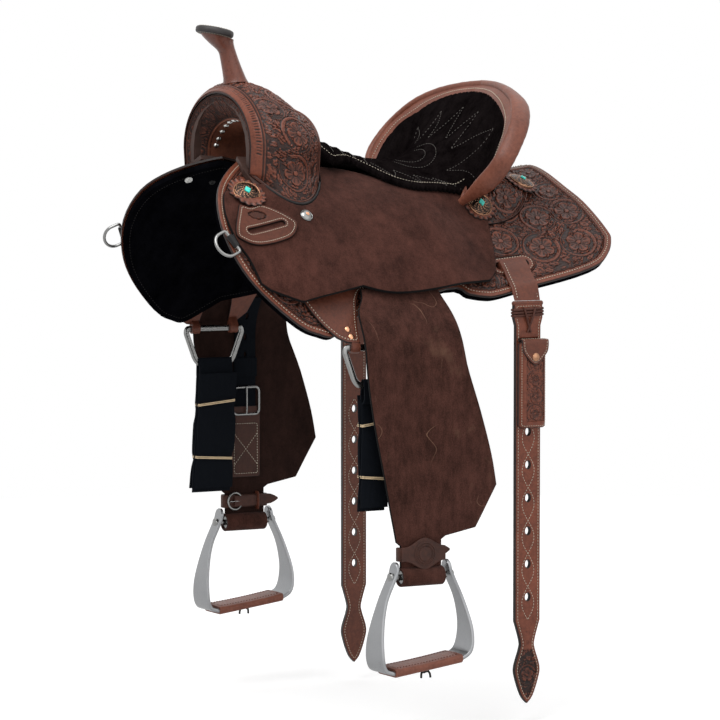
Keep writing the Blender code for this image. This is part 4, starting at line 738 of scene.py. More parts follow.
def turned(name, profile, centre, axis, body, made_of, side=1, segments=32, petals=0):
    """A round piece from radii and heights about an axis; petals make its radius wave."""
    angles = whole_turn(segments)
    wave = 0.78 + 0.22 * np.cos(petals * angles) if petals else 1
    basis = turn_to(axis)
    rings = [np.asarray(centre) + polar(radius * wave, angles, height) @ basis.T
             for radius, height in profile]
    return grid_mesh(name, rings, body, made_of, side, angle=40)


def stitches(name, runs, surface, body, made_of, side=1, pitch=0.0045, fill=0.58,
             radius=0.00066, lift=0.0):
    """Separate stitches along flat runs, lying on a surface; each dips in at its ends."""
    template = ((0.0, 0.2), (0.16, 0.85), (0.5, 1.0), (0.84, 0.85), (1.0, 0.2))
    sides = 5
    ring = whole_turn(sides)
    points, faces = [], []
    for run, closed in runs:
        at = even(run, pitch, closed)
        starts, ends = at[:-1], at[1:]
        if len(starts) == 0:
            continue
        margin = (1 - fill) / 2
        a = starts + (ends - starts) * margin
        b = starts + (ends - starts) * (1 - margin)
        p = surface(a[:, 0], a[:, 1], lift)
        q = surface(b[:, 0], b[:, 1], lift)
        n = unit(surface(a[:, 0], a[:, 1], lift + 0.001) - p)
        s = unit(np.cross(q - p, n))
        for i in range(len(p)):
            base = len(points)
            for t, size in template:
                middle = p[i] + (q[i] - p[i]) * t + n[i] * radius * (size * 1.3 - 0.75)
                for angle in ring:
                    points.append(middle + s[i] * radius * size * math.cos(angle)
                                  + n[i] * radius * size * math.sin(angle))
            last = len(points) - sides
            for c in range(base, last, sides):
                for j in range(sides):
                    k = (j + 1) % sides
                    faces.append((c + j, c + k, c + sides + k, c + sides + j))
            faces.append(tuple(base + j for j in reversed(range(sides))))
            faces.append(tuple(last + j for j in range(sides)))
    return place_mesh(name, points, faces, body, made_of, None, side, 60)


# Materials.


def begin(name, roughness, metallic=0.0, **sockets):
    made = bpy.data.materials.new(name)
    made.use_nodes = True
    tree = made.node_tree
    shader = tree.nodes["Principled BSDF"]
    shader.inputs["Roughness"].default_value = roughness
    shader.inputs["Metallic"].default_value = metallic
    for key, value in sockets.items():
        shader.inputs[key.replace("_", " ")].default_value = value
    return made, tree, shader


def node(tree, kind, inputs=None, **settings):
    """Adds a node; an input takes a plain value or another node's socket."""
    made = tree.nodes.new(kind)
    for key, value in settings.items():
        setattr(made, key, value)
    for key, value in (inputs or {}).items():
        socket = made.inputs[key]
        if isinstance(value, bpy.types.NodeSocket):
            tree.links.new(value, socket)
        else:
            socket.default_value = value
    return made


def maths(tree, operation, *values):
    return node(tree, "ShaderNodeMath", dict(enumerate(values)), operation=operation).outputs[0]


def object_place(tree):
    return node(tree, "ShaderNodeTexCoord").outputs["Object"]


def stretched(tree, place, scale):
    return node(tree, "ShaderNodeMapping", {"Vector": place, "Scale": scale}).outputs["Vector"]


def noise(tree, scale, detail, rough, place):
    return node(tree, "ShaderNodeTexNoise", {
        "Scale": scale, "Detail": detail, "Roughness": rough, "Vector": place}).outputs["Fac"]


def ramp(tree, factor, *stops):
    """A colour that runs through its stops, each a place from 0 to 1 and a colour."""
    made = node(tree, "ShaderNodeValToRGB", {"Fac": factor})
    bar = made.color_ramp
    while len(bar.elements) < len(stops):
        bar.elements.new(0.5)
    for element, (at, colour) in zip(bar.elements, stops):
        element.position = at
        element.color = (*colour, 1.0)
    return made.outputs["Color"]


def levels(tree, value, low, high, to_low=0.0, to_high=1.0):
    return node(tree, "ShaderNodeMapRange", {
        "Value": value, "From Min": low, "From Max": high, "To Min": to_low,
        "To Max": to_high}).outputs["Result"]


def mixed(tree, factor, a, b):
    made = node(tree, "ShaderNodeMix", data_type="RGBA")
    for index, value in ((0, factor), (6, a), (7, b)):
        if isinstance(value, bpy.types.NodeSocket):
            tree.links.new(value, made.inputs[index])
        else:
            made.inputs[index].default_value = value if index == 0 else (*value, 1.0)
    return made.outputs[2]


def attribute(tree, name):
    return node(tree, "ShaderNodeAttribute", attribute_name=name).outputs["Fac"]


def bump(tree, shader, height, strength, distance, below=None):
    inputs = {"Height": height, "Strength": strength, "Distance": distance}
    if below:
        inputs["Normal"] = below
    made = node(tree, "ShaderNodeBump", inputs)
    tree.links.new(made.outputs["Normal"], shader.inputs["Normal"])
    return made.outputs["Normal"]


def grain(name, colours, roughness=(0.36, 0.55), fine=900.0, strength=0.25, carved=False,
          edge=None, **sockets):
    """Finished leather: mottled dye, pores, and with carved its dark, matted tooling."""
    made, tree, shader = begin(name, roughness[0], **sockets)
    dark, light, deep = colours
    place = object_place(tree)
    broad = noise(tree, 14.0, 4.0, 0.65, place)
    small = noise(tree, 190.0, 3.0, 0.7, place)
    mottle = levels(tree, maths(tree, "ADD", broad, small), 0.72, 1.28)
    colour = ramp(tree, mottle, (0.0, dark), (1.0, light))
    if carved:
        greys = ((0.0, 0.0), (0.32, 0.20), (0.75, 0.85), (1.0, 1.0))
        depth = ramp(tree, attribute(tree, "carve"), *((at, (g, g, g)) for at, g in greys))
        colour = mixed(tree, depth, deep, colour)
    if edge:
        near = levels(tree, attribute(tree, "edge"), 0.0002, edge, 1.0, 0.0)
        colour = mixed(tree, near, colour, deep)
    tree.links.new(colour, shader.inputs["Base Color"])
    tree.links.new(levels(tree, small, 0.3, 0.7, *roughness), shader.inputs["Roughness"])
    pores = node(tree, "ShaderNodeTexVoronoi", {"Vector": place, "Scale": fine}).outputs[0]
    under = bump(tree, shader, pores, strength, 0.0006)
    bump(tree, shader, small, strength, 0.0012, under)
    return made


EDGE_PAINT, NAP_BUMP = (0.006, 0.0055, 0.0055), 0.55


def nap(name, dark, light, sheen, fine=1500.0, streak=60.0, edge=None, scuffs=None, shine=0.06):
    """Roughout, suede or felt: a short nap with brushed patches, scuffs and painted edges."""
    made, tree, shader = begin(name, 0.95, Sheen_Weight=sheen, Sheen_Roughness=0.5,
                               Specular_IOR_Level=shine)
    place = object_place(tree)
    broad = noise(tree, streak * 0.25, 5.0, 0.68, place)
    fibre = noise(tree, fine * 0.35, 4.0, 0.8, place)
    streaks = noise(tree, streak, 6.0, 0.75, stretched(tree, place, (1.0, 1.0, 0.35)))
    all_three = maths(tree, "ADD", maths(tree, "ADD", broad, streaks), fibre)
    colour = ramp(tree, levels(tree, all_three, 1.22, 1.78), (0.0, dark), (1.0, light))
    if scuffs:
        bent = maths(tree, "SUBTRACT", noise(tree, 9.0, 2.0, 0.5, place), 0.52)
        thin = levels(tree, maths(tree, "ABSOLUTE", bent), 0.0008, 0.0030, 1.0, 0.0)
        where = levels(tree, noise(tree, 13.0, 2.0, 0.5, place), 0.50, 0.62)
        worn = levels(tree, noise(tree, 11.0, 5.0, 0.6, place), 0.60, 0.76, 0.0, 0.55)
        rubbed = maths(tree, "MAXIMUM", maths(tree, "MULTIPLY", thin, where), worn)
        colour = mixed(tree, rubbed, colour, scuffs)
    if edge:
        near = levels(tree, attribute(tree, "edge"), edge * 0.55, edge, 1.0, 0.0)
        colour = mixed(tree, near, colour, EDGE_PAINT)
    tree.links.new(colour, shader.inputs["Base Color"])
    under = bump(tree, shader, fibre, NAP_BUMP, 0.0010)
    bump(tree, shader, noise(tree, fine, 2.0, 0.7, place), NAP_BUMP, 0.0005, under)
    return made


def metal(name, colour, roughness, brushed=0.0, tint=None):
    """Polished or brushed metal with faint smears; tint darkens where carve is low."""
    made, tree, shader = begin(name, roughness, 1.0)
    place = object_place(tree)
    smear = noise(tree, 45.0, 4.0, 0.6, place)
    low = tuple(c * 0.88 for c in colour)
    shade = ramp(tree, smear, (0.3, low), (0.7, colour))
    if tint:
        shade = mixed(tree, attribute(tree, "carve"), tint, shade)
    tree.links.new(shade, shader.inputs["Base Color"])
    tree.links.new(levels(tree, smear, 0.3, 0.7, roughness * 0.8, roughness * 1.25),
                   shader.inputs["Roughness"])
    if brushed:
        lines = noise(tree, 240.0, 3.0, 0.6, stretched(tree, place, (6.0, 0.35, 0.35)))
        bump(tree, shader, lines, brushed, 0.0006)
    else:
        bump(tree, shader, noise(tree, 400.0, 2.0, 0.5, place), 0.05, 0.0003)
    return made


def webbing(name, colour):
    """Woven strap: ribs across it and a herringbone along it."""
    made, tree, shader = begin(name, 0.75, Sheen_Weight=0.0, Specular_IOR_Level=0.05)
    place = object_place(tree)
    ribs, twill = (
        node(tree, "ShaderNodeTexWave", {"Vector": place, "Scale": scale, "Distortion": bent},
             bands_direction=way).outputs["Fac"]
        for scale, bent, way in ((190.0, 0.4, "Z"), (150.0, 0.6, "Y")))
    weave = maths(tree, "MULTIPLY", ribs, twill)
    tree.links.new(ramp(tree, weave, (0.0, tuple(c * 0.45 for c in colour)), (0.8, colour)),
                   shader.inputs["Base Color"])
    bump(tree, shader, weave, 0.6, 0.0008)
    return made


def plain(name, colour, roughness, spread=0.18, scale=120.0, strength=0.15, **sockets):
    """A simple material with its own fine mottling: thread, rubber, stone, wood, edges."""
    made, tree, shader = begin(name, roughness, **sockets)
    place = object_place(tree)
    spots = noise(tree, scale, 4.0, 0.65, place)
    low = tuple(c * (1 - spread) for c in colour)
    high = tuple(min(c * (1 + spread), 1.0) for c in colour)
    tree.links.new(ramp(tree, spots, (0.3, low), (0.7, high)), shader.inputs["Base Color"])
    bump(tree, shader, spots, strength, 0.0006)
    return made


RED, TAN, DEEP = (0.090, 0.0240, 0.0128), (0.205, 0.060, 0.033), (0.010, 0.0045, 0.0036)
TOOLED = grain("tooled_leather", (RED, TAN, DEEP), (0.32, 0.48), carved=True, edge=0.0016,
               Specular_IOR_Level=0.27)
STAMPED = grain("stamped_leather", ((0.052, 0.0150, 0.0085), (0.108, 0.033, 0.019), DEEP),
                (0.42, 0.56), carved=True, edge=0.0016, Specular_IOR_Level=0.16)
STRAP = grain("strap_leather", ((0.074, 0.0215, 0.0122), (0.145, 0.043, 0.0240), DEEP),
              (0.34, 0.50), edge=0.0012, Specular_IOR_Level=0.28)
DARK_STRAP = grain("dark_strap_leather", ((0.030, 0.0115, 0.008), (0.066, 0.025, 0.017), DEEP),
                   (0.42, 0.58), edge=0.0010, Specular_IOR_Level=0.22)
ROLL = grain("roll_leather", ((0.108, 0.0325, 0.0185), (0.205, 0.069, 0.042), DEEP),
             (0.32, 0.48), 700.0, 0.3, Specular_IOR_Level=0.30)
HORN = grain("horn_leather", ((0.080, 0.0225, 0.0130), (0.155, 0.047, 0.028), DEEP),
             (0.24, 0.40), 700.0, 0.25, Specular_IOR_Level=0.42)
# The gullet lining's colour is lighter than its leather's own: painted light that stands in for
# light in the gullet's shade.
GULLET_PAINTED_LIGHT = grain("gullet_leather_painted_light", ((0.080, 0.026, 0.014), (0.175, 0.060, 0.034), DEEP),
              (0.5, 0.65), 700.0, 0.3, Specular_IOR_Level=0.2)
ROUGHOUT = nap("roughout", (0.027, 0.0100, 0.0072), (0.076, 0.0290, 0.0215), 0.03, edge=0.0013)
FENDER_OUT = nap("fender_roughout", (0.026, 0.0100, 0.0070), (0.080, 0.0315, 0.0235), 0.05,
                 streak=90.0, edge=0.0010, scuffs=(0.170, 0.092, 0.060))
FENDER_IN = nap("fender_flesh_side", (0.012, 0.0060, 0.0048), (0.030, 0.0140, 0.0110), 0.02)
SUEDE = nap("seat_suede", (0.0016, 0.0011, 0.0012), (0.0100, 0.0076, 0.0078), 0.0, shine=0.0)
FELT = nap("skirt_felt", (0.0007, 0.0007, 0.0010), (0.0032, 0.0032, 0.0044), 0.0, 1800.0,
           shine=0.0)
BLACK_EDGE = plain("black_edge", (0.008, 0.0075, 0.0075), 0.55, Specular_IOR_Level=0.25)
STEEL = metal("stainless_steel", (0.27, 0.27, 0.265), 0.24)
BRIGHT = metal("nail_steel", (0.62, 0.62, 0.60), 0.16)
ALUMINIUM = metal("brushed_aluminium", (0.33, 0.335, 0.345), 0.34, 0.35)
COPPER = metal("copper", (0.70, 0.36, 0.21), 0.32)
ANTIQUE = metal("antique_bronze", (0.42, 0.22, 0.13), 0.27, tint=(0.016, 0.014, 0.014))
NYLON = webbing("black_nylon", (0.0065, 0.0085, 0.0125))
CREAM = plain("cream_thread", (0.50, 0.44, 0.35), 0.7, 0.25, 900.0, Specular_IOR_Level=0.2)
GREY_THREAD = plain("grey_thread", (0.105, 0.096, 0.088), 0.7, 0.3, 900.0,
                    Specular_IOR_Level=0.2)
DARK_THREAD = plain("dark_thread", (0.022, 0.020, 0.019), 0.7, 0.3, 900.0,
                    Specular_IOR_Level=0.1)
RUBBER = plain("rubber_band", (0.62, 0.47, 0.29), 0.5, 0.12)
STONE = plain("turquoise", (0.035, 0.60, 0.50), 0.28, 0.35, 300.0, 0.08)
WOOD = plain("tree_wood", (0.034, 0.0125, 0.0075), 0.65, 0.3, 40.0)
BINDING = grain("horn_binding", ((0.014, 0.012, 0.012), (0.036, 0.031, 0.031), (0.01, 0.01, 0.01)),
                (0.40, 0.56), 600.0, 0.35, Specular_IOR_Level=0.35)
WHITE_SNAP = plain("white_snap", (0.62, 0.62, 0.60), 0.3)
LACE = plain("dark_lace", (0.062, 0.021, 0.014), 0.5, 0.3, 200.0, 0.3, Specular_IOR_Level=0.2)


def keep(material_of, *names):
    """CAD nodes whose shape stays, in a material of the scene's."""
    for name in names:
        nodes[name].data.materials.clear()
        nodes[name].data.materials.append(material_of)


# The horse's side: skirts, jockeys and what lies on them.


def skirt_outline():
    front = smooth([(-0.238, 0.030), (-0.297, 0.096), (-0.331, 0.150), (-0.343, 0.212),
                    (-0.331, 0.268), (-0.303, 0.311), (-0.254, 0.353), (-0.224, 0.363),
                    (-0.200, 0.363), (-0.164, 0.335), (-0.142, 0.316)])
    belly = smooth([(-0.142, 0.316), (0.013, 0.272), (0.046, 0.284), (0.071, 0.291),
                    (0.093, 0.292), (0.155, 0.283), (0.263, 0.274), (0.298, 0.257),
                    (0.316, 0.232), (0.319, 0.210), (0.312, 0.139), (0.301, 0.085),
                    (0.293, 0.0015)])
    gullet = [(0.293, 0.0015), (0.150, 0.0015), (0.100, 0.024), (-0.100, 0.030),
              (-0.238, 0.030)]
    return joined(front, belly, gullet)


FELT_UNDER, SKIRT_SEAM, SLOT_SEAM, SLOT_BORDER = 0.0002, 0.0068, 0.0062, 0.0115
SKIRT_FLOWERS = (
    (0.170, 0.122, 0.0205, 0.3), (0.221, 0.152, 0.0205, 1.2), (0.275, 0.150, 0.0205, 2.2),
    (0.138, 0.189, 0.0205, 0.9), (0.200, 0.214, 0.0215, 2.0), (0.263, 0.219, 0.0205, 0.1),
    (0.222, 0.092, 0.0180, 1.6), (0.270, 0.096, 0.0170, 0.6), (0.160, 0.068, 0.0190, 2.7),
    (0.222, 0.040, 0.0190, 0.8), (0.268, 0.036, 0.0170, 1.9), (-0.297, 0.240, 0.0170, 0.5),
    (-0.262, 0.296, 0.0170, 1.4), (-0.215, 0.322, 0.0165, 2.5), (-0.312, 0.190, 0.0150, 0.2),
    (0.085, 0.262, 0.0150, 1.0),
)


def dress_skirt(side):
    name = SIDES[side]
    outline = skirt_outline()

    def seen(p):
        y, q = p[:, 0], p[:, 1]
        return (y > 0.085) | ((q > 0.246) & (y < 0.09)) | (y < -0.262)

    hole = slot((BILLET_PLACE[side], SLOT_Q), SLOT_W, SLOT_H)
    dense = resample(outline, 0.003)
    hole_ring = resample(hole, 0.002)
    leaves = [spray for spray in foliage((-0.345, 0.0), (0.320, 0.365), 0.0135, SKIRT_FLOWERS)
              if seen(np.array([spray[:2]]))[0]]

    def carve(p, edge):
        height = tooling(p, SKIRT_FLOWERS, leaves)
        height = border(height, distance_to(p, dense), 0.0145)
        return border(height, distance_to(p, hole_ring), SLOT_BORDER)

    def relief(p, edge):
        near = distance_to(p, hole_ring)
        groove = np.exp(-((distance_to(p, dense) - SKIRT_SEAM) / 0.0011) ** 2) + np.exp(
            -((near - SLOT_SEAM) / 0.0011) ** 2)
        return -0.0005 * groove + 0.0006 * (near < SLOT_BORDER)

    piece = panel(f"skirt_dress_{name}", [outline, hole], roof, SKIRT_LOW, SKIRT_TOP, TOOLED,
                  "saddle", side, 0.012, seen, 0.00145, relief, carve, 0.0016, False)
    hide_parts(f"skirt_{name}")
    runs = [(inset(outline, SKIRT_SEAM), True), (inset(hole, -SLOT_SEAM, 0.001), True)]
    stitches(f"skirt_stitching_{name}", runs,
             lambda a, b, lift: roof(a, b, SKIRT_TOP + lift), "saddle", CREAM, side,
             lift=-0.0002)

    def pile(p, edge):
        return 0.0003 * np.sin(p[:, 0] * 310) * np.sin(p[:, 1] * 290) * (edge > 0.003)

    lining = panel(f"skirt_felt_{name}", [inset(outline, LINING_INSET).tolist(), hole], roof,
                   FELT_UNDER, LINING_T, FELT, "saddle", side, 0.010, relief=pile, soft=0.0032)
    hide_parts(f"skirt_lining_{name}")
    stitches(f"lining_stitching_{name}", [(inset(outline, 0.0100), True)],
             lambda a, b, lift: roof(a, b, FELT_UNDER - lift), "saddle", DARK_THREAD, side,
             pitch=0.0050, radius=0.00045)
    for tag, a, b, shade, size in (("white", -0.272, 0.092, WHITE_SNAP, 0.0066),
                                   ("dark", -0.235, 0.083, BLACK_EDGE, 0.0052)):
        centre = roof(a, b, 0.0004)
        out = centre - roof(a, b, 0.0014)
        turned(f"lining_snap_{tag}_{name}",
               [(size * 0.98, -0.001), (size, 0.0008), (size * 0.80, 0.0018), (size * 0.52, 0.0019),
                (size * 0.45, 0.0009), (size * 0.26, 0.0009), (size * 0.22, 0.0022),
                (size * 0.05, 0.0026)], centre, out, "saddle", shade, side)


FERRULE_PLACE = (-0.205, 0.179)


def jockey_outline(side):
    trim = BILLET_PLACE[1] - BILLET_PLACE[side]
    front = smooth([(-0.254, 0.124), (-0.285, 0.131), (-0.314, 0.143), (-0.325, 0.157),
                    (-0.333, 0.193), (-0.327, 0.234), (-0.314, 0.262), (-0.305, 0.300)])
    lower = joined([(-0.305, 0.300), (-0.294, 0.309), (-0.251, 0.326), (-0.147, 0.290)],
                   smooth([(-0.147, 0.290), (-0.094, 0.298), (-0.008, 0.288),
                           (0.083 - trim, 0.270)]))
    rear = smooth([(0.083 - trim, 0.270), (0.100 - trim, 0.252), (0.111 - trim, 0.225),
                   (0.121 - trim / 2, 0.190), (0.132, 0.150), (0.146, 0.125), (0.138, 0.104),
                   (0.112, 0.092)])
    upper = smooth([(0.112, 0.092), (0.040, 0.086), (-0.020, 0.062), (-0.075, 0.040),
                    (-0.120, 0.044)])
    rim = [(y, float(swell_foot(y)) + 0.0035) for y in
           (FORK_REAR + 0.004, -0.155, -0.165, -0.175, -0.185, -0.195, -0.205, -0.215, -0.225,
            -0.235, -0.242, -0.254)]
    return joined(front, lower, rear, upper, rim, front[:1])


def dress_jockey(side):
    name = SIDES[side]
    outline = jockey_outline(side)
    piece = panel(f"jockey_dress_{name}", [outline], roof, cover, jockey_top, ROUGHOUT, "saddle",
                  side, 0.007, soft=0.0015)
    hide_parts(f"seat_jockey_{name}")
    y, q = FERRULE_PLACE
    centre = roof(y, q, float(jockey_top(y, q)))
    out = surface_normal(y, q, jockey_top)
    turned(f"jockey_ferrule_{name}",
           [(0.0100, -0.0005), (0.0103, 0.0010), (0.0094, 0.0022), (0.0088, 0.0019),
            (0.0072, 0.0036), (0.0040, 0.0047), (0.0008, 0.0050)], centre, out, "saddle", STEEL,
           side)
    turned(f"jockey_ferrule_badge_{name}",
           [(0.0034, 0.0044), (0.0036, 0.0052), (0.0020, 0.0056), (0.0004, 0.0056)], centre, out,
           "saddle", COPPER, side, 30, petals=5)


def surface_normal(y, q, rise):
    """The outward direction of a layer of the roof."""
    step = 0.006
    along = roof(y + step, q, rise(y + step, q)) - roof(y - step, q, rise(y - step, q))
    down = roof(y, q + step, rise(y, q + step)) - roof(y, q - step, rise(y, q - step))
    return unit(np.cross(down, along))


def dress_keeper(side):
    """The slotted keeper; its stamped oval is a plain tooled frame with nothing in it."""
    name = SIDES[side]
    outline = joined(
        smooth([(-0.306, 0.170), (-0.326, 0.221), (-0.317, 0.234), (-0.291, 0.238),
                (-0.247, 0.224), (-0.230, 0.206), (-0.228, 0.194)]),
        smooth([(-0.228, 0.194), (-0.246, 0.180), (-0.265, 0.170), (-0.276, 0.167)]),
        [(-0.276, 0.167), (-0.291, 0.1735), (-0.306, 0.170)])
    hole = slot((-0.276, 0.207), 0.062, 0.0072, -0.32)

    def carve(p, edge):
        y, q = p[:, 0], p[:, 1]
        frame_ring = np.hypot((y + 0.284) / 0.0125, (q - 0.187) / 0.0066)
        height = np.where(np.abs(frame_ring - 1) < 0.10, 0.0, 1.0)
        matted = 0.55 + 0.25 * np.sin(y * 1900) * np.sin(q * 2100)
        return np.where(frame_ring < 0.86, matted, height)

    def top(a, b):
        return jockey_top(a, b) + SEAM + KEEPER_T

    piece = panel(f"keeper_dress_{name}", [outline, hole], roof,
                  lambda a, b: jockey_top(a, b) + SEAM * 0.4, top, STAMPED, "saddle", side, 0.003,
                  everywhere, 0.0016, None, carve)
    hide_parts(f"latigo_keeper_{name}")
    stitches(f"keeper_stitching_{name}",
             [(inset(outline, 0.0042, 0.001), True), (inset(hole, -0.0034, 0.001), True)],
             lambda a, b, lift: roof(a, b, top(a, b) + lift), "saddle", CREAM, side, 0.0034)


CONCHO_R, ROSETTE_R, SCALLOPS = 0.0212, 0.0268, 17
EAR_LOW, EAR_TOP, EAR_TUCK = 0.0004, 0.0034, 0.0024


def dress_concho(tag, y, q, floor, side):
    """Scalloped rosette laid on the leather, engraved dome with a beaded rim, and its stone."""
    name = SIDES[side]
    out = surface_normal(y, q, floor)
    outline = []
    for t in np.linspace(0, 2 * math.pi, 240, endpoint=False):
        reach = ROSETTE_R * (1 + 0.045 * math.cos(SCALLOPS * t))
        outline.append((y + reach * math.cos(t), q + reach * math.sin(t)))

    def carve(p, edge):
        r = np.hypot(p[:, 0] - y, p[:, 1] - q)
        t = np.arctan2(p[:, 1] - q, p[:, 0] - y)
        folds = 0.62 + 0.38 * np.cos(SCALLOPS * t)
        return np.where((r > CONCHO_R + 0.0008) & (edge > 0.0006), folds, 0.8)

    rosette = panel(f"{tag}_rosette_{name}", [outline], roof, lambda a, b: floor(a, b) + 0.0001,
                    lambda a, b: floor(a, b) + 0.0028, TOOLED, "saddle", side, 0.003,
                    everywhere, 0.0011, None, carve)
    centre = roof(y, q, float(floor(y, q))) + out * 0.0024
    basis = turn_to(out)
    angles = whole_turn(150)
    rim, dome_high, bead, beads = CONCHO_R, 0.0056, 0.0022, 60
    radii = np.concatenate([np.linspace(rim, rim - bead, 5),
                            np.linspace(rim - 0.0026, 0.0006, 30)])
    rows, marks = [centre + polar(rim, angles, -0.0022) @ basis.T], [0 * angles]
    for r in radii:
        share = r / rim
        if r > rim - 0.0024:
            engraved = np.where(np.cos(beads * angles) > -0.2, 1.0, 0.35)
            height = 0.0006 + 0.0011 * math.sin((rim - r) / bead * math.pi)
        else:
            scroll = np.cos(11 * angles + 3 * np.cos(640 * r)) * np.cos(980 * (r - 0.011))
            petal = np.cos(11 * angles - 190 * r)
            engraved = np.clip(-0.02 + 0.85 * scroll + 0.25 * petal, 0, 1)
            engraved = np.where(share < 0.34, 0.25, engraved)
            height = 0.0004 + dome_high * (1 - share ** 2) + 0.0007 * (engraved - 0.5)
        rows.append(centre + polar(r, angles, height) @ basis.T)
        marks.append(engraved)
    metal_part = grid_mesh(f"{tag}_dome_{name}", rows, "saddle", ANTIQUE, side, False, 70,
                           {"carve": np.concatenate(marks)})
    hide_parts(f"concho_{tag}_{name}")
    local = []
    for size, height in ((0.0062, dome_high - 0.0008), (0.0062, dome_high + 0.0011),
                         (0.0052, dome_high + 0.0019), (0.0030, dome_high + 0.0022)):
        local.append([centre + np.array([size * c, size * s * 0.8, height]) @ basis.T
                      for c, s in ((1, 0.12), (0.12, 1), (-0.12, 1), (-1, 0.12), (-1, -0.12),
                                   (-0.12, -1), (0.12, -1), (1, -0.12))])
    grid_mesh(f"{tag}_stone_{name}", local, "saddle", STONE, side, angle=30)


def dress_conchos(side):
    """The three conchos: over the latigo keeper, at the jockey's ear and on the rear ear."""
    def over_keeper(y, q):
        return jockey_top(y, q) + (KEEPER_T + SEAM + 0.0004) * ease(0.150, 0.163, q) + 0.0002

    def on_ear(y, q):
        return cover(y, q) + EAR_TOP + 0.0002

    def over_jockey(y, q):
        return on_ear(y, q) + (JOCKEY_T - 0.003) * (1 - ease(0.118, 0.135, y))

    dress_concho("front", -0.2865, 0.146, over_keeper, side)
    dress_concho("side", 0.1265, 0.1215, over_jockey, side)
    dress_concho("rear", 0.226, 0.078, on_ear, side)


def dress_ear(side):
    """The tooled ear of the rear jockey, over the bar behind the cantle."""
    name = SIDES[side]
    outline = joined(
        smooth([(0.240, 0.001), (0.238, 0.050), (0.226, 0.100), (0.196, 0.136), (0.160, 0.152),
                (0.124, 0.153), (0.098, 0.138), (0.094, 0.116)]),
        smooth([(0.094, 0.116), (0.104, 0.100), (0.128, 0.092), (0.150, 0.082)]),
        [(0.150, 0.082), (0.168, 0.060), (0.176, 0.001)])
    flowers = [(0.178, 0.112, 0.0185, 0.4), (0.212, 0.070, 0.0175, 1.6),
               (0.214, 0.024, 0.0165, 0.9)]
    leaves = foliage((0.09, 0.0), (0.24, 0.155), 0.0130, flowers)

    def carve(p, edge):
        return border(tooling(p, flowers, leaves), np.where(p[:, 1] < 0.004, 1.0, edge), 0.0052)

    def low(a, b):
        return cover(a, b) + EAR_LOW - EAR_TUCK * (b > 0)

    piece = panel(f"rear_ear_{name}", [outline], roof, low, lambda a, b: cover(a, b) + EAR_TOP,
                  TOOLED, "saddle", side, 0.006, everywhere, 0.0015, None, carve)


def ring_top():
    """The middle of the rigging ring's upper bar."""
    low = roof(RING_Y - RING_TOP_HALF, RING_TOP_Q, SKIRT_TOP + SEAM + RIG_T / 2)
    return np.array([low[0] - 0.003, RING_Y, low[2] - RING_WIDTH / 2 - 0.0032])


def dress_rigging(side):
    """The rigging leather, its two folds round the ring's bar, and its rivets."""
    name = SIDES[side]
    left, right = RING_Y - RING_TOP_HALF, RING_Y + RING_TOP_HALF
    front_end, rear_end = RING_TOP_Q, RING_TOP_Q - 0.0115
    outline = joined(
        smooth([(-0.262, 0.270), (-0.245, 0.305), (-0.222, 0.345), (left - 0.016, 0.368)]),
        [(left - 0.016, 0.368), (left - 0.002, front_end), (left + 0.019, front_end)],
        smooth([(left + 0.019, front_end), (left + 0.023, 0.340), (left + 0.032, 0.302)]),
        smooth([(left + 0.032, 0.302), (RING_Y, 0.283), (right - 0.030, 0.292)]),
        [(right - 0.030, 0.292), (right - 0.022, 0.330), (right - 0.019, rear_end),
         (right - 0.004, rear_end), (right + 0.012, 0.345), (right + 0.022, 0.300),
         (right + 0.020, 0.262), (RING_Y, 0.250), (-0.220, 0.252)])
    low, high = SKIRT_TOP + SEAM, SKIRT_TOP + SEAM + RIG_T
    piece = panel(f"rigging_dress_{name}", [outline], roof, low, high, STRAP, "saddle", side,
                  0.004, soft=0.0012)
    stitches(f"rigging_stitching_{name}", [(inset(outline, 0.0045, 0.0015), True)],
             lambda a, b, lift: roof(a, b, high + lift), "saddle", CREAM, side)
    for leg, front, rear, end in (("front", left + 0.0055, left + 0.0185, front_end),
                                  ("rear", right - 0.0185, right - 0.0055, rear_end)):
        bar = ring_top()
        reach = RING_WIDTH / 2 + CLEAR + 0.0028
        middle = (front + rear) / 2
        root_low = roof(middle, end - 0.008, low + 0.0002)
        root_high = roof(middle, end - 0.008, high + 0.0002)
        turn = np.linspace(math.radians(25), math.radians(-205), 18)
        outer = [(root_high[0], root_high[2])] + [
            (bar[0] + reach * math.cos(t), bar[2] + reach * math.sin(t)) for t in turn] + [
            (root_low[0], root_low[2])]
        rows = [[(x, y, z) for x, z in outer]
                for y in (front, front + 0.0006, rear - 0.0006, rear)]
        fold = grid_mesh(f"ring_fold_{leg}_{name}", rows, "saddle", STRAP, side, angle=40)
        if leg == "front":
            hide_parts(f"rigging_leather_{name}")
    for tag, y, q in (("a", left + 0.004, 0.352), ("b", left + 0.007, 0.364)):
        centre = roof(y, q, high)
        out = roof(y, q, high + 0.001) - centre
        turned(f"rig_rivet_{tag}_{name}", [(0.0048, -0.0004), (0.0048, 0.0005), (0.0036, 0.0015),
                                           (0.0012, 0.0020), (0.0003, 0.0020)],
               centre, out, "saddle", COPPER, side, 20)


# The fork, the horn and the gullet.


FOOT_LIFT = 0.0012


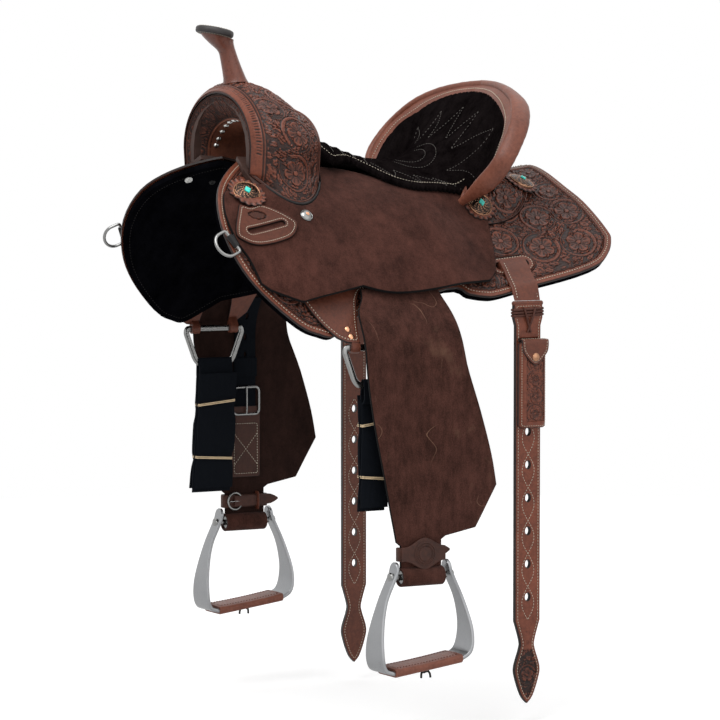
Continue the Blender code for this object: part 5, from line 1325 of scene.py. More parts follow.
def section_run(y, inset_by, gullet=False, steps=30):
    """The swell's or the gullet's section at y, from the near foot to the off foot."""
    if gullet:
        width = GULLET_WIDTH - inset_by
        crown = GULLET_CROWN - 0.026 * float(ease(-0.225, -0.146, y)) - inset_by
        foot_q = GULLET_FOOT_Q - inset_by
    else:
        width, crown = fork_section(y)
        width, crown = float(width) - inset_by, float(crown) - inset_by
        foot_q = float(swell_foot(y)) - inset_by
    foot = roof(y, foot_q, cover(y, foot_q) + FOOT_LIFT)
    arc = [np.array([width * math.cos(t), y, FORK_WAIST + (crown - FORK_WAIST) * math.sin(t)])
           for t in np.linspace(0, math.pi / 2, steps)]
    if gullet:
        run = np.vstack([[foot], arc])
    else:
        waist = np.array([width - 0.004, y, FORK_WAIST - 0.035])
        lead = smooth([tuple(foot), tuple(foot * 0.5 + waist * 0.5), tuple(waist),
                       tuple(arc[0])], 6)
        run = np.vstack([np.array(lead[:-1]), arc])
    return np.vstack([run, run[::-1][1:] * MIRROR])


SWELL_FLOWERS = (
    (0.245, -0.203, 0.0215, 0.4), (0.190, -0.196, 0.0200, 1.5), (0.150, -0.236, 0.0170, 2.2),
    (0.110, -0.198, 0.0205, 0.9), (0.048, -0.205, 0.0200, 1.9), (0.300, -0.228, 0.0190, 0.2),
)


def dress_swell():
    """The tooled cover of the fork, its lip cut with a row of slits round the front."""
    stations = np.concatenate([
        [FORK_FRONT + 0.0004, FORK_FRONT - 0.0006, FORK_FRONT - 0.0004, FORK_FRONT + 0.0006],
        np.linspace(FORK_FRONT + 0.002, FORK_REAR, 84)])
    count = 400
    total = lengths_along(section_run(-0.205, 0.0))[-1]
    outer, inner = (np.array([spread(section_run(y, depth), count) for y in stations])
                    for depth in (0.0, COVER_T))
    across = np.tile(np.linspace(0, total, count), len(stations))
    y = np.repeat(stations, count)
    folded = np.minimum(across, total - across)
    sprays = foliage((0.0, -0.270), (0.330, -0.140), 0.0125, SWELL_FLOWERS, 0.025, 0.0120)
    height = tooling(np.column_stack([folded, y]), SWELL_FLOWERS, sprays)
    lip, rear = y - FORK_FRONT, FORK_REAR - y
    for edge, width in ((lip, 0.0125), (rear, 0.0050), (folded, 0.0055)):
        height = border(height, edge, width)
    slits = (np.abs(lip - 0.0062) < 0.0024) & (np.abs((folded / 0.0060) % 1 - 0.5) < 0.15) & (
        folded > 0.05)
    height = np.where(slits, 0.0, height)
    edge = np.clip(np.minimum.reduce([lip + 0.002, rear, folded]), 0, 1)
    piece = carved_shell("swell_dress", outer, inner, TOOLED, height, edge, 0.5)
    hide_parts("swell_cover")


def dress_swell_binding(side):
    """The dark rolled edge where the swell's tongue meets the jockey."""
    ys = np.concatenate([[FORK_REAR - 0.001], np.linspace(-0.148, -0.250, 40)])
    q = swell_foot(ys) + FOOT_LIFT
    path = roof(ys, q, cover(ys, q) + JOCKEY_T * 0.9)
    tube(f"swell_binding_{SIDES[side]}", path, 0.0019, "saddle", BLACK_EDGE, side, 10,
         up=(0, 0, 1))


FUNNEL_Y, FUNNEL_IN = -0.236, 0.0225


def lining_run(y, inset_by, steps=30):
    """The lining's section: the gullet's, drawn in behind the tooled funnel."""
    drawn = FUNNEL_IN * (1 - 0.5 * float(ease(-0.20, -0.155, y)))
    run = section_run(y, inset_by + 0.004, True, steps)
    lift = np.clip((run[:, 2] - FORK_WAIST) / (GULLET_CROWN - FORK_WAIST), 0, 1)
    run[:, 2] -= drawn * lift
    run[:, 0] *= 1 - 0.10 * lift
    return run


def dress_gullet():
    """The gullet's lining, the tooled funnel before it, and a row of nails."""
    stations = np.linspace(FUNNEL_Y - 0.002, -0.152, 24)
    outer, inner = ([lining_run(y, depth) for y in stations] for depth in (0.0, GULLET_T))
    # The lining's material has painted light mixed into its colour, to lift the gullet's shade.
    piece = shell("gullet_dress", outer, inner, GULLET_PAINTED_LIGHT)
    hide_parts("gullet_lining")
    count, total, face_width, face_t = 300, 0.40, 0.040, 0.0022
    shares = np.linspace(0, 1, 34)
    lip = spread(section_run(FORK_FRONT, 0.0075), count)
    deep = spread(lining_run(FUNNEL_Y, GULLET_T), count)
    front = lip + (deep - lip) * shares[:, None, None]
    front[:, :, 1] = (FORK_FRONT - 0.0002 + (FUNNEL_Y - FORK_FRONT) * shares ** 1.7)[:, None]
    along = np.linspace(0, total, count)
    a = np.tile(np.minimum(along, total - along), len(shares))
    b = np.repeat(shares * face_width, count)
    flowers = [(0.030 + 0.052 * k, 0.020, 0.0125, 0.9 * k) for k in range(4)]
    leaves = foliage((0.0, 0.0), (0.21, 0.042), 0.0105, flowers, 0.021, 0.0095)
    height = tooling(np.column_stack([a, b]), flowers, leaves)
    edge = np.minimum(b, face_width - b)
    height = border(height, edge, 0.0040)
    back = front + np.array([0, face_t, 0])
    front[:, :, 1] += CARVE_DEPTH * 0.7 * (1 - height.reshape(front.shape[:2]))
    zeros = np.zeros(len(edge))
    face = shell("gullet_face", front, back, STAMPED, {
        "edge": np.concatenate([edge + 0.002, zeros]),
        "carve": np.concatenate([height, zeros + 0.6])})
    arc_steps = 60
    for side in (1, -1):
        for k, share in enumerate((0.06, 0.22, 0.40, 0.58, 0.74, 0.87, 0.98)):
            run = lining_run(FUNNEL_Y + 0.011 + 0.002 * math.sin(k), GULLET_T, arc_steps)
            half = run[:len(run) // 2 + 1]
            index = len(half) - arc_steps + int(share * (arc_steps - 1))
            centre = half[index]
            tangent = half[min(index + 1, len(half) - 1)] - half[index - 1]
            out = np.array([-tangent[2], 0.0, tangent[0]])
            if out @ np.array([-centre[0], 0, FORK_WAIST - centre[2]]) < 0:
                out = -out
            turned(f"gullet_nail_{k}_{SIDES[side]}",
                   [(0.0048, -0.0006), (0.0048, 0.0004), (0.0040, 0.0020), (0.0020, 0.0032),
                    (0.0003, 0.0034)], centre, out, "saddle", BRIGHT, side, 18)


def crown_height(x, y):
    """Height of the swell's crown at plan points."""
    width, crown = fork_section(y)
    return FORK_WAIST + (crown - FORK_WAIST) * np.sqrt(np.clip(1 - (x / width) ** 2, 0, 1))


def dress_horn():
    """The wrapped neck, and the cap with its binding's stitches above and below."""
    lean, base = np.array(HORN_TOP - HORN_BASE), np.array(HORN_BASE)
    angles = whole_turn(40)
    rows = []
    for share in np.linspace(0, 1, 26):
        radius = np.interp(share, [0, 0.05, 0.12, 0.30, 0.55, 0.80, 0.94, 1.0],
                           [HORN_NECK_LOW + 0.0026, HORN_NECK_LOW + 0.0008, HORN_NECK_LOW - 0.0002,
                            HORN_NECK_LOW - 0.0018, HORN_NECK_HIGH + 0.0010, HORN_NECK_HIGH,
                            HORN_NECK_HIGH + 0.0004, HORN_NECK_HIGH + 0.0020])
        centre = base + lean * share
        crease = 1 + 0.010 * np.exp(-((angles - 1.1) / 0.10) ** 2)
        flare = float(ease(0.62, 1.0, share)) ** 1.6
        front = np.clip(0.25 - np.sin(angles), 0, 1)
        x = radius * crease * np.cos(angles) * (1 + 0.85 * flare * front)
        y = centre[1] + radius * crease * np.sin(angles) - 0.0225 * flare * np.clip(
            -np.sin(angles), 0, 1) ** 0.8
        low = crown_height(x, y) + 0.0002
        high = HORN_CAP_FOOT.z - (y - HORN_CAP_FOOT.y) * math.tan(HORN_CAP_TILT) - CLEAR
        rows.append(np.stack([x, y, low + (high - low) * share], 1))
    neck = grid_mesh("horn_neck_dress", rows, "saddle", HORN, 1, angle=60)
    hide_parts("horn_neck_wrap")
    tilt = (0, math.sin(HORN_CAP_TILT), math.cos(HORN_CAP_TILT))
    r, t = HORN_CAP_R, HORN_CAP_T
    foot = np.array(HORN_CAP_FOOT)
    profile = [(r - 0.0060, 0.0002), (r - 0.0030, 0.0004), (r - 0.0010, 0.0014), (r, 0.0034),
               (r, t - 0.0036), (r - 0.0009, t - 0.0014), (r - 0.0030, t - 0.0002),
               (r - 0.0052, t + 0.0002), (r - 0.0060, t - 0.0005), (r - 0.0070, t + 0.0003),
               (0.018, t + 0.0009), (0.010, t + 0.0013), (0.001, t + 0.0014)]
    cap = turned("horn_cap_dress", profile, foot, tilt, "saddle", BINDING, 1, 72)
    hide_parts("horn_cap")
    basis = turn_to(tilt)
    # The flat run holds the angle divided by shrink, so that its pitch is a small length.
    shrink, corners, ring_r, pitch = 40, 60, 0.0248, 0.0042
    around = np.column_stack([np.linspace(0, 2 * math.pi / shrink, corners), np.zeros(corners)])
    for tag, radius, level, way in (("", r - 0.0045, t + 0.0001, 1),
                                    ("under_", r - 0.0040, 0.0003, -1)):
        def on_cap(a, b, lift, radius=radius, level=level, way=way):
            return foot + polar(radius, a * shrink, level + way * lift) @ basis.T

        stitches(f"horn_cap_{tag}stitching", [(around, False)], on_cap, "saddle", CREAM, 1,
                 pitch / shrink / ring_r, radius=0.00045)


# Seat and cantle.


def seat_ring():
    """The seat's outline, with the small scallops along its sides."""
    near = smooth([(-0.141, 0.030), (-0.118, 0.066), (-0.106, 0.086), (-0.086, 0.074),
                   (-0.062, 0.062), (-0.040, 0.076), (-0.012, 0.100), (0.019, 0.114),
                   (0.060, 0.116), (0.110, 0.122)], 6)
    rim = smooth([(0.110, 0.122), (0.1060, 0.150), (0.1060, 0.174), (0.1170, 0.186),
                  (0.1320, 0.184), (0.1500, 0.169), (0.1660, 0.139), (0.1790, 0.094),
                  (0.1900, 0.048), (0.1960, 0.0)], 6)
    pitch = 0.0014
    fine = even(near, pitch)
    lengths = np.arange(len(fine)) * pitch
    along = unit(np.gradient(fine, axis=0))
    out = np.stack([along[:, 1] * -1, along[:, 0]], 1)
    depth = 0.0021 * (np.abs(np.sin(math.pi * lengths / 0.0078)) - 0.35) * ease(
        0.010, 0.030, lengths) * (1 - ease(lengths[-1] - 0.014, lengths[-1], lengths))
    return mirrored(joined((fine + out * depth[:, None]).tolist(), rim))


STAR = ((0.172, 0.0), (0.122, 0.028), (0.165, 0.058), (0.112, 0.062), (0.156, 0.118),
        (0.090, 0.086), (0.130, 0.150), (0.062, 0.090), (0.078, 0.112), (0.034, 0.080),
        (0.036, 0.105), (0.008, 0.064), (-0.004, 0.090), (-0.022, 0.044))


def sunburst():
    """The quilting: a zigzag star round the seat's middle, an oval, and the front's lines."""
    lines = []
    for sign in (1, -1):
        for number, (a, b) in enumerate(zip(STAR[:-1], STAR[1:])):
            a, b = np.array([a[0], a[1] * sign]), np.array([b[0], b[1] * sign])
            along = b - a
            bow = np.array([along[1], -along[0]]) * sign * (0.10 if number % 2 else -0.03)
            lines.append(smooth([tuple(a), tuple((a + b) / 2 + bow), tuple(b)], 10))
    for grow in (1.0, 0.62):
        lines.append([(0.070 + 0.038 * grow * math.cos(t), 0.060 * grow * math.sin(t))
                      for t in np.linspace(0, 2 * math.pi, 60)])
    for k in range(5):
        y = -0.110 + 0.020 * k
        for side in (1, -1):
            lines.append(smooth([(y + 0.022, side * 0.006), (y + 0.006, side * 0.030),
                                 (y - 0.002, side * 0.056)], 8))
    return lines


SEAT_SEAM, SEAT_PITCH, SEAT_FILL = 0.0085, 0.0044, 0.56


def dress_seat():
    outline = seat_ring()
    dense = resample(outline, 0.002)
    quilt = [line for line in sunburst() if inside(np.array([line[len(line) // 2]]), dense).all()]

    def relief(p, edge):
        near = np.minimum.reduce([distance_to(p, line, False) for line in quilt])
        side = distance_to(p, dense) - SEAT_SEAM
        puff = 0.0026 * ease(0.0, 0.009, near) - 0.0012
        return (puff - 0.0009 * np.exp(-(side / 0.0012) ** 2)) * ease(0.002, 0.006, edge)

    piece = panel("seat_dress", [outline], seat, -PAD_T + 0.0004, 0.0, SUEDE, "saddle", 1, 0.0042,
                  relief=relief, soft=0.0036)
    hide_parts("seat_pad")
    stitches("seat_quilting", [(line, False) for line in quilt], seat, "saddle", GREY_THREAD, 1,
             SEAT_PITCH, SEAT_FILL, 0.00050, lift=-0.0011)
    side = inset(outline, SEAT_SEAM, 0.0015)
    front = side[side[:, 0] < 0.108]
    for tag, half in (("near", front[front[:, 1] > 0.012]), ("off", front[front[:, 1] < -0.012])):
        order = half[np.argsort(half[:, 0])]
        stitches(f"seat_border_{tag}", [(order, False)], seat, "saddle", CREAM, 1, SEAT_PITCH,
                 SEAT_FILL, 0.00062, lift=0.0008)


# The roll's path, from the middle of the cantle to its end beside the seat.
RIM = (
    (0.000, 0.207, 0.088), (0.050, 0.200, 0.085), (0.104, 0.187, 0.076),
    (0.152, 0.173, 0.059), (0.184, 0.154, 0.032), (0.198, 0.134, 0.003),
    (0.199, 0.119, -0.022), (0.180, 0.108, -0.0470), (0.158, 0.0970, -0.0680),
    (0.134, 0.088, -0.0860),
)


def roll_rings(sides=26, steps=9):
    """Rings of the padded roll, and each ring's centre, outward and upright reach."""
    half = [np.array(p) for p in smooth(RIM[::-1], steps)]
    run = half + [p * MIRROR for p in reversed(half[:-1])]
    count = len(run)
    ways = [None] * count
    for order in (range(count // 2, count), range(count // 2, -1, -1)):
        last = np.array([0.0, 0.0, 1.0])
        for index in order:
            point = run[index]
            along = unit(run[min(index + 1, count - 1)] - run[max(index - 1, 0)])
            away = unit(np.array([point[0], point[1] - 0.060, 0.0]))
            across = unit(away - along * away.dot(along))
            upright = np.cross(across, along)
            last = upright * np.sign(upright.dot(last))
            out = across * math.cos(ROLL_DROOP) - last * math.sin(ROLL_DROOP)
            top = across * math.sin(ROLL_DROOP) + last * math.cos(ROLL_DROOP)
            share = index / (count - 1)
            taper = 0.40 + 0.60 * float(ease(0.0, 0.11, share)) * float(ease(1.0, 0.89, share))
            ways[index] = (point + across * 0.0085 * taper, out * ROLL_BREADTH / 2 * taper,
                           top * ROLL_T / 2 * (0.4 + 0.6 * taper))
    t = whole_turn(sides)
    rings = []
    for index, (centre, out, top) in enumerate(ways):
        wrinkle = 1 + 0.016 * math.sin(index * 1.9) * math.sin(index * 0.37)
        rings.append(centre + np.outer(wrinkle * np.cos(t), out)
                     + np.outer(wrinkle * np.sin(t), top))
    return np.array(rings), ways


def dress_roll():
    rings, ways = roll_rings()
    piece = grid_mesh("roll_dress", rings, "saddle", ROLL, 1, angle=60)
    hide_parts("cantle_roll")
    dress_rim_band(ways)


def ribbon_stitches(name, path, lifts, lift):
    """A row of stitches along a path in space, on the side that its lifts point to."""
    lengths = lengths_along(path)

    def along(a, b, rise):
        a, rise = np.broadcast_arrays(a, rise)
        p = np.stack([np.interp(a, lengths, path[:, k]) for k in range(3)], 1)
        n = np.stack([np.interp(a, lengths, lifts[:, k]) for k in range(3)], 1)
        return p + n * rise[:, None]

    run = np.column_stack([np.linspace(0.006, lengths[-1] - 0.006, 400), np.zeros(400)])
    stitches(name, [(run, False)], along, "saddle", CREAM, 1, SEAT_PITCH, SEAT_FILL, 0.00068,
             lift=lift)


def dress_rim_band(ways):
    """The leather that joins the roll to the seat's edge, with its row of stitches."""
    count, columns = 260, 10
    half = smooth([(0.105, 0.119), (0.1020, 0.147), (0.1010, 0.170), (0.1130, 0.183),
                   (0.1290, 0.180), (0.1465, 0.166), (0.1620, 0.137), (0.1745, 0.093),
                   (0.1850, 0.048), (0.1910, 0.0)], 6)
    flat = spread(mirrored(half), count)
    inner = seat(flat[:, 0], flat[:, 1], 0.0006)
    angle = math.radians(112)
    crest = spread([c + o * math.cos(angle) + t * math.sin(angle) for c, o, t in ways], count)
    across = crest - inner
    normal = unit(np.cross(across, np.gradient(inner, axis=0)))
    facing = (normal * (np.array([0.0, 0.04, 0.16]) - inner)).sum(1, keepdims=True)
    normal = normal * np.sign(facing)
    outer = np.stack([
        inner + across * s + normal * (0.0018 * math.sin(math.pi * s)
                                       + 0.0012 * min(1.0, 8 * s) * (1 - s))
        for s in np.linspace(0, 1, columns)], 1)
    band = shell("rim_band", outer, outer - normal[:, None, :] * 0.0022, ROLL)
    ribbon_stitches("roll_stitching", outer[:, 2], normal, 0.0003)


CANTLE_TOP_X, CANTLE_FOOT_X = 0.176, 0.104


def cantle_grid(stand_off, columns, rows_count):
    """Points of the cantle's back from under the roll to its foot, near side to off side."""
    grid = []
    for share in np.linspace(-1, 1, columns):
        s = abs(share)
        x = CANTLE_TOP_X * s
        top = np.array([x, float(table(DISH_END_Y, x)) + 0.0075 + stand_off,
                        float(table(DISH_END_Z, x)) - 0.011])
        foot_x = CANTLE_FOOT_X * s
        y = float(table(CANTLE_FOOT, foot_x)) + stand_off
        foot_x += stand_off * s
        foot_z = float(roof_height(np.array([foot_x]), np.array([y]), cover)[0]) + 0.0026
        foot = np.array([foot_x, y, foot_z])
        middle = (top + foot) / 2 + np.array([0.006 * s, 0.002, 0])
        t = np.linspace(0, 1, rows_count)[:, None]
        column = np.where(t <= 0.5, top + (middle - top) * t * 2,
                          middle + (foot - middle) * (t - 0.5) * 2)
        grid.append(column if share > 0 else column * MIRROR)
    return np.array(grid)


def dress_cantle():
    columns, rows_count = 260, 70
    outer = cantle_grid(CANTLE_BACK_T + 0.0014, columns, rows_count)
    inner = cantle_grid(0.001, columns, rows_count)
    half_width, tall = 0.19, 0.115
    a = np.abs(np.repeat(np.linspace(-half_width, half_width, columns), rows_count))
    b = np.tile(np.linspace(0, tall, rows_count), columns)
    flowers = ((0.0, 0.050, 0.0220, 0.3), (0.062, 0.046, 0.0200, 1.2),
               (0.118, 0.052, 0.0180, 2.2), (0.165, 0.040, 0.0150, 0.6),
               (0.035, 0.092, 0.0140, 0.4), (0.095, 0.094, 0.0130, 1.4))
    sprays = foliage((0.0, 0.0), (0.20, 0.12), 0.0125, flowers, 0.025, 0.0120)
    edge = np.minimum.reduce([b, tall - b, half_width - a])
    height = border(tooling(np.column_stack([a, b]), flowers, sprays), edge, 0.0060)
    piece = carved_shell("cantle_dress", outer, inner, TOOLED, height, edge, 0.6)
    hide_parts("cantle_back")


# Stirrup leathers, fenders and stirrups.


def hang(u, side):
    """A length down the leathers, which hang a little shorter on the off side."""
    return u if side == 1 else u - OFF_SIDE_SHORTER * float(ease(0.30, 0.48, u))


PLUMB_X = float(drape(HANG_Y, HANG_PLUMB, FENDER_RISE + FENDER_T / 2)[0])
PLUMB_Z = float(drape(HANG_Y, HANG_PLUMB, 0.0)[2]) + HANG_PLUMB


def bolt_centre(side):
    return np.array([PLUMB_X, HANG_Y, PLUMB_Z - hang(BOLT_DROP, side)])


def dress_fender(side):
    """The fender, carried on up under the jockey, and its fold round the stirrup's roller."""
    name = SIDES[side]
    neck = LOOP_W / 2 - 0.001
    end = BOLT_DROP - LOOP_R + LOOP_T / 2
    outline = joined(
        smooth([(-0.146, 0.282), (-0.150, 0.299), (-0.1640, 0.330), (-0.1615, 0.4005),
                (-0.1495, 0.4765), (-0.1315, 0.5615), (-0.1135, 0.6525)]),
        [(-0.1135, 0.6525), (HANG_Y - neck, NECK_TOP_U), (HANG_Y - neck, end),
         (HANG_Y + neck, end), (HANG_Y + neck, NECK_TOP_U - 0.007), (-0.0285, 0.6465),
         (0.0235, 0.6365), (0.0605, 0.5735)],
        smooth([(0.0605, 0.5735), (0.0515, 0.5265), (0.0325, 0.4615), (0.0085, 0.389),
                (-0.0035, 0.328), (-0.0120, 0.299), (-0.0150, 0.282)]))
    outline = [(y, hang(u, side)) for y, u in outline]

    def relief(p, edge):
        y, u = p[:, 0], p[:, 1]
        sway = 0.0012 * np.sin((y + 0.07) * 26) * ease(0.34, 0.50, u)
        return sway * (1 - ease(hang(0.60, side), hang(0.65, side), u)) - 0.0006 * ease(
            0.30, 0.28, u)

    def low(a, b):
        return FENDER_RISE + relief(np.stack([a, b], -1), None)

    piece = panel(f"fender_dress_{name}", [outline], drape, low, FENDER_RISE + FENDER_T,
                  FENDER_OUT, None, side, 0.007, relief=relief, soft=0.0014)
    piece.data.materials.append(FENDER_IN)
    facing = -1 if side == 1 else 1
    for face in piece.data.polygons:
        if face.normal.x * facing > 0.3:
            face.material_index = 1
    tuple(drape(HANG_Y, 0.284, FENDER_RISE) * np.array([side, 1, 1]))
    tuple(drape(HANG_Y, 0.304, FENDER_RISE) * np.array([side, 1, 1]))
    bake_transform(piece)
    turn = np.linspace(0, 2 * math.pi, 40, endpoint=False)
    centre = bolt_centre(side)
    rows, half = [], LOOP_W / 2
    for y, grow in ((-half, -0.0006), (-half + 0.001, 0), (half - 0.001, 0), (half, -0.0006),
                    (half, -LOOP_T), (-half, -LOOP_T)):
        rows.append(np.stack([centre[0] + (LOOP_R + grow) * np.cos(turn), HANG_Y + y + 0 * turn,
                              centre[2] + (LOOP_R + grow) * np.sin(turn)], 1))
    loop = grid_mesh(f"fender_fold_{name}", rows, f"fender_unit_{name}", FENDER_OUT, side, True)
    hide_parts(f"fender_{name}")


def dress_strap(side):
    """The buckled strap inside the fender, the folded tab below it, and its keeper."""
    name = SIDES[side]
    body = f"fender_unit_{name}"
    half, tab_half = STRAP_W / 2, 0.026
    end, low = hang(STRAP_END_U, side), hang(TAB_END_U, side)
    strap = [(HANG_Y - half, STRAP_TOP_U), (HANG_Y - half, end + 0.006),
             (HANG_Y + half, end + 0.006), (HANG_Y + half, STRAP_TOP_U)]
    holes = [oval((HANG_Y, STRAP_TOP_U + 0.030 + 0.0265 * k), 0.0056, 0.0085) for k in range(4)]
    piece = panel(f"strap_dress_{name}", [strap] + holes, drape, STRAP_RISE,
                  STRAP_RISE + LEATHER_T, NYLON, body, side, 0.005, soft=0.0008)
    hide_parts(f"stirrup_strap_{name}")
    tab = [(HANG_Y - tab_half, end + 0.002), (HANG_Y - tab_half, low),
           (HANG_Y + tab_half, low), (HANG_Y + tab_half, end + 0.002)]
    flap = panel(f"tab_dress_{name}", [rounded_run(tab, 0.005)[:, :2].tolist()], drape,
                 STRAP_RISE - 0.0012, STRAP_RISE + LEATHER_T, DARK_STRAP, body, side, 0.006)
    front, rear = HANG_Y - tab_half + 0.005, HANG_Y + tab_half - 0.005
    box = [(front, end + 0.030), (front, low - 0.006), (rear, low - 0.006), (rear, end + 0.030)]
    cross = [(front, end + 0.046), (rear, low - 0.020)]
    back = [(rear, end + 0.046), (front, low - 0.020)]
    stitches(f"tab_stitching_{name}", [(box, True), (cross, False), (back, False)],
             lambda a, b, lift: drape(a, b, STRAP_RISE - 0.0012 - lift), body, CREAM, side,
             0.0044)
    x = PLUMB_X - FENDER_T / 2 - SEAM - LEATHER_T
    level = PLUMB_Z - hang(0.452, side)
    sleeve = [(x + thick, HANG_Y + way * (half + 0.002), 0)
              for thick, way in ((-0.0022, -1), (-0.0022, 1), (0.0030, 1), (0.0030, -1))]
    ring = rounded_run(sleeve, 0.0014)
    rows = [ring + np.array([0, 0, level + z]) for z in (-0.015, 0.015)]
    thin = (ring - ring.mean(0)) * np.array([0.55, 0.93, 1]) + ring.mean(0)
    rows += [thin + np.array([0, 0, level + z]) for z in (0.015, -0.015)]
    sleeve_piece = grid_mesh(f"strap_sleeve_{name}", rows, body, NYLON, side, True)


def dress_buckle(side):
    name = SIDES[side]
    body = f"fender_unit_{name}"
    inner_x = PLUMB_X - FENDER_T / 2 - SEAM - LEATHER_T
    half, wire = STRAP_W / 2 + 0.005, 0.0022
    x = inner_x - CLEAR - wire
    end = hang(STRAP_END_U, side)
    high, low = PLUMB_Z - end + 0.026, PLUMB_Z - end - 0.012
    corners = [(x, HANG_Y - half, high + 0.003), (x, HANG_Y - half, low - 0.003),
               (x, HANG_Y + half, low - 0.003), (x, HANG_Y + half, high + 0.003)]
    loop = tube(f"buckle_dress_{name}", rounded_run(corners, 0.008), wire, body, STEEL, side, 14,
                True)
    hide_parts(f"stirrup_buckle_{name}")
    tongue = [(x - 0.0006, HANG_Y, low - 0.003), (x - 0.0030, HANG_Y, low + 0.006),
              (x - 0.0030, HANG_Y, high - 0.006), (x - 0.0028, HANG_Y, high + 0.004)]
    prong = tube(f"buckle_tongue_{name}", smooth(tongue, 6), 0.0015, body, STEEL, side, 10,
                 up=(1, 0, 0))


def dress_hobble(side):
    """The hobble strap round the fender's neck: plate outside, ring buckle and tip inside."""
    name = SIDES[side]
    body = f"fender_unit_{name}"
    top, bottom = PLUMB_Z - hang(HOBBLE_TOP_U, side), PLUMB_Z - hang(HOBBLE_END_U, side)
    neck, thick = LOOP_W / 2 + 0.0012, 0.0032
    inner_half = FENDER_T / 2 + 0.0008

    def ring(grow, z):
        half_x, half_y = inner_half + grow, neck + grow
        corners = [(PLUMB_X - half_x, HANG_Y - half_y, z), (PLUMB_X + half_x, HANG_Y - half_y, z),
                   (PLUMB_X + half_x, HANG_Y + half_y, z), (PLUMB_X - half_x, HANG_Y + half_y, z)]
        return rounded_run(corners, 0.0022 + grow * 0.4)

    soft = 0.0008
    rows = [ring(thick - soft, top), ring(thick, top - soft), ring(thick, bottom + soft),
            ring(thick - soft, bottom), ring(0.0, bottom), ring(0.0, top)]
    piece = grid_mesh(f"hobble_dress_{name}", rows, body, DARK_STRAP, side, True)
    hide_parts(f"hobble_strap_{name}")
    face = PLUMB_X + inner_half + thick
    middle_z = (top + bottom) / 2
    leaf, rows = HANG_Y + 0.003, []
    for y in np.linspace(HANG_Y - neck, HANG_Y + neck + 0.001, 33):
        h = 0.0108 + 0.0130 * math.cos(min(abs(y - leaf) / 0.036, 1.0) * math.pi / 2) ** 2.4
        rows.append([(face - 0.0006, y, middle_z - h), (face + 0.0018, y, middle_z - h),
                     (face + 0.0026, y, middle_z - h + 0.0008),
                     (face + 0.0026, y, middle_z + h - 0.0008),
                     (face + 0.0018, y, middle_z + h), (face - 0.0006, y, middle_z + h)])
    wings = grid_mesh(f"hobble_leaf_{name}", rows, body, DARK_STRAP, side, angle=40)
    face += 0.0024
    plate = turned(f"hobble_plate_{name}",
                   [(0.0178, -0.0004), (0.0180, 0.0009), (0.0172, 0.0014), (0.0160, 0.0014),
                    (0.0155, 0.0007), (0.0150, 0.0013), (0.0118, 0.0013), (0.0113, 0.0006),
                    (0.0108, 0.0012), (0.0050, 0.0013), (0.0005, 0.0013)],
                   (face, leaf, middle_z), (1, 0, 0), body, DARK_STRAP, side, 64)
    around = np.linspace(0, 2 * math.pi, 90)
    circle = np.stack([0.0134 * np.cos(around), 0.0134 * np.sin(around)], 1)
    stitches(f"hobble_plate_stitching_{name}", [(circle, False)],
             lambda a, b, lift: np.stack([face + 0.0012 + lift + 0 * a, leaf + a,
                                          middle_z + b], -1), body, DARK_STRAP, side, 0.0034)
    inside_x = PLUMB_X - inner_half - thick
    corners = [(inside_x - 0.0016, HANG_Y - 0.020 + 0.0125 * math.cos(t),
                middle_z + 0.0135 * math.sin(t)) for t in np.linspace(0, 2 * math.pi, 30)[:-1]]
    loop = tube(f"hobble_buckle_{name}", corners, 0.0017, body, STEEL, side, 10, True)
    tongue = tube(f"hobble_tongue_{name}", [(inside_x - 0.0030, HANG_Y - 0.030, middle_z),
                                            (inside_x - 0.0032, HANG_Y - 0.018, middle_z),
                                            (inside_x - 0.0028, HANG_Y - 0.005, middle_z)],
                  0.0012, body, STEEL, side, 8, up=(1, 0, 0))
    rows = []
    for share in np.linspace(0, 1, 14):
        y = HANG_Y - 0.022 + share * 0.078
        lift = inside_x - 0.0018 - 0.0016 * float(ease(0.6, 1.0, share))
        h = 0.0085 * (1 if share < 0.82 else max((1 - share) / 0.18, 0.05) ** 0.6)
        z = middle_z + 0.002 * share
        rows.append([(lift, y, z - h), (lift - 0.0024, y, z - h * 0.96),
                     (lift - 0.0024, y, z + h * 0.96), (lift, y, z + h)])
    tip = grid_mesh(f"hobble_tip_{name}", rows, body, DARK_STRAP, side, angle=40)
    y = HANG_Y + 0.020
    keeper = [(inside_x - 0.0052, y, middle_z - 0.011), (inside_x - 0.0052, y, middle_z + 0.011),
              (inside_x + 0.0030, y, middle_z + 0.011), (inside_x + 0.0030, y, middle_z - 0.011)]
    band = tube(f"hobble_keeper_{name}", rounded_run(keeper, 0.002), 0.0042, body, STRAP, side,
                10, True, 0.28, up=(0, 1, 0))


def stirrup_run():
    side_run = [(STIRRUP_TOP_HALF, 0.023), (STIRRUP_BOLT_HALF - 0.0028, 0.007),
                (STIRRUP_BOLT_HALF + 0.0035, -0.007), (0.0640, -0.032), (0.0725, -0.060),
                (TREAD_HALF, -0.088), (TREAD_HALF - 0.0005, -TREAD_DROP + 0.020),
                (TREAD_HALF - 0.006, -TREAD_DROP + 0.006), (TREAD_HALF - 0.018, -TREAD_DROP)]
    low = smooth(side_run, 8)
    path = []
    for sign, run in ((-1, low), (1, list(reversed(low)))):
        for y, z in run:
            weight = float(ease(-0.02, -TREAD_DROP, z))
            path.append((sign * y, z + sign * y * math.tan(TREAD_TILT) * weight))
    return path


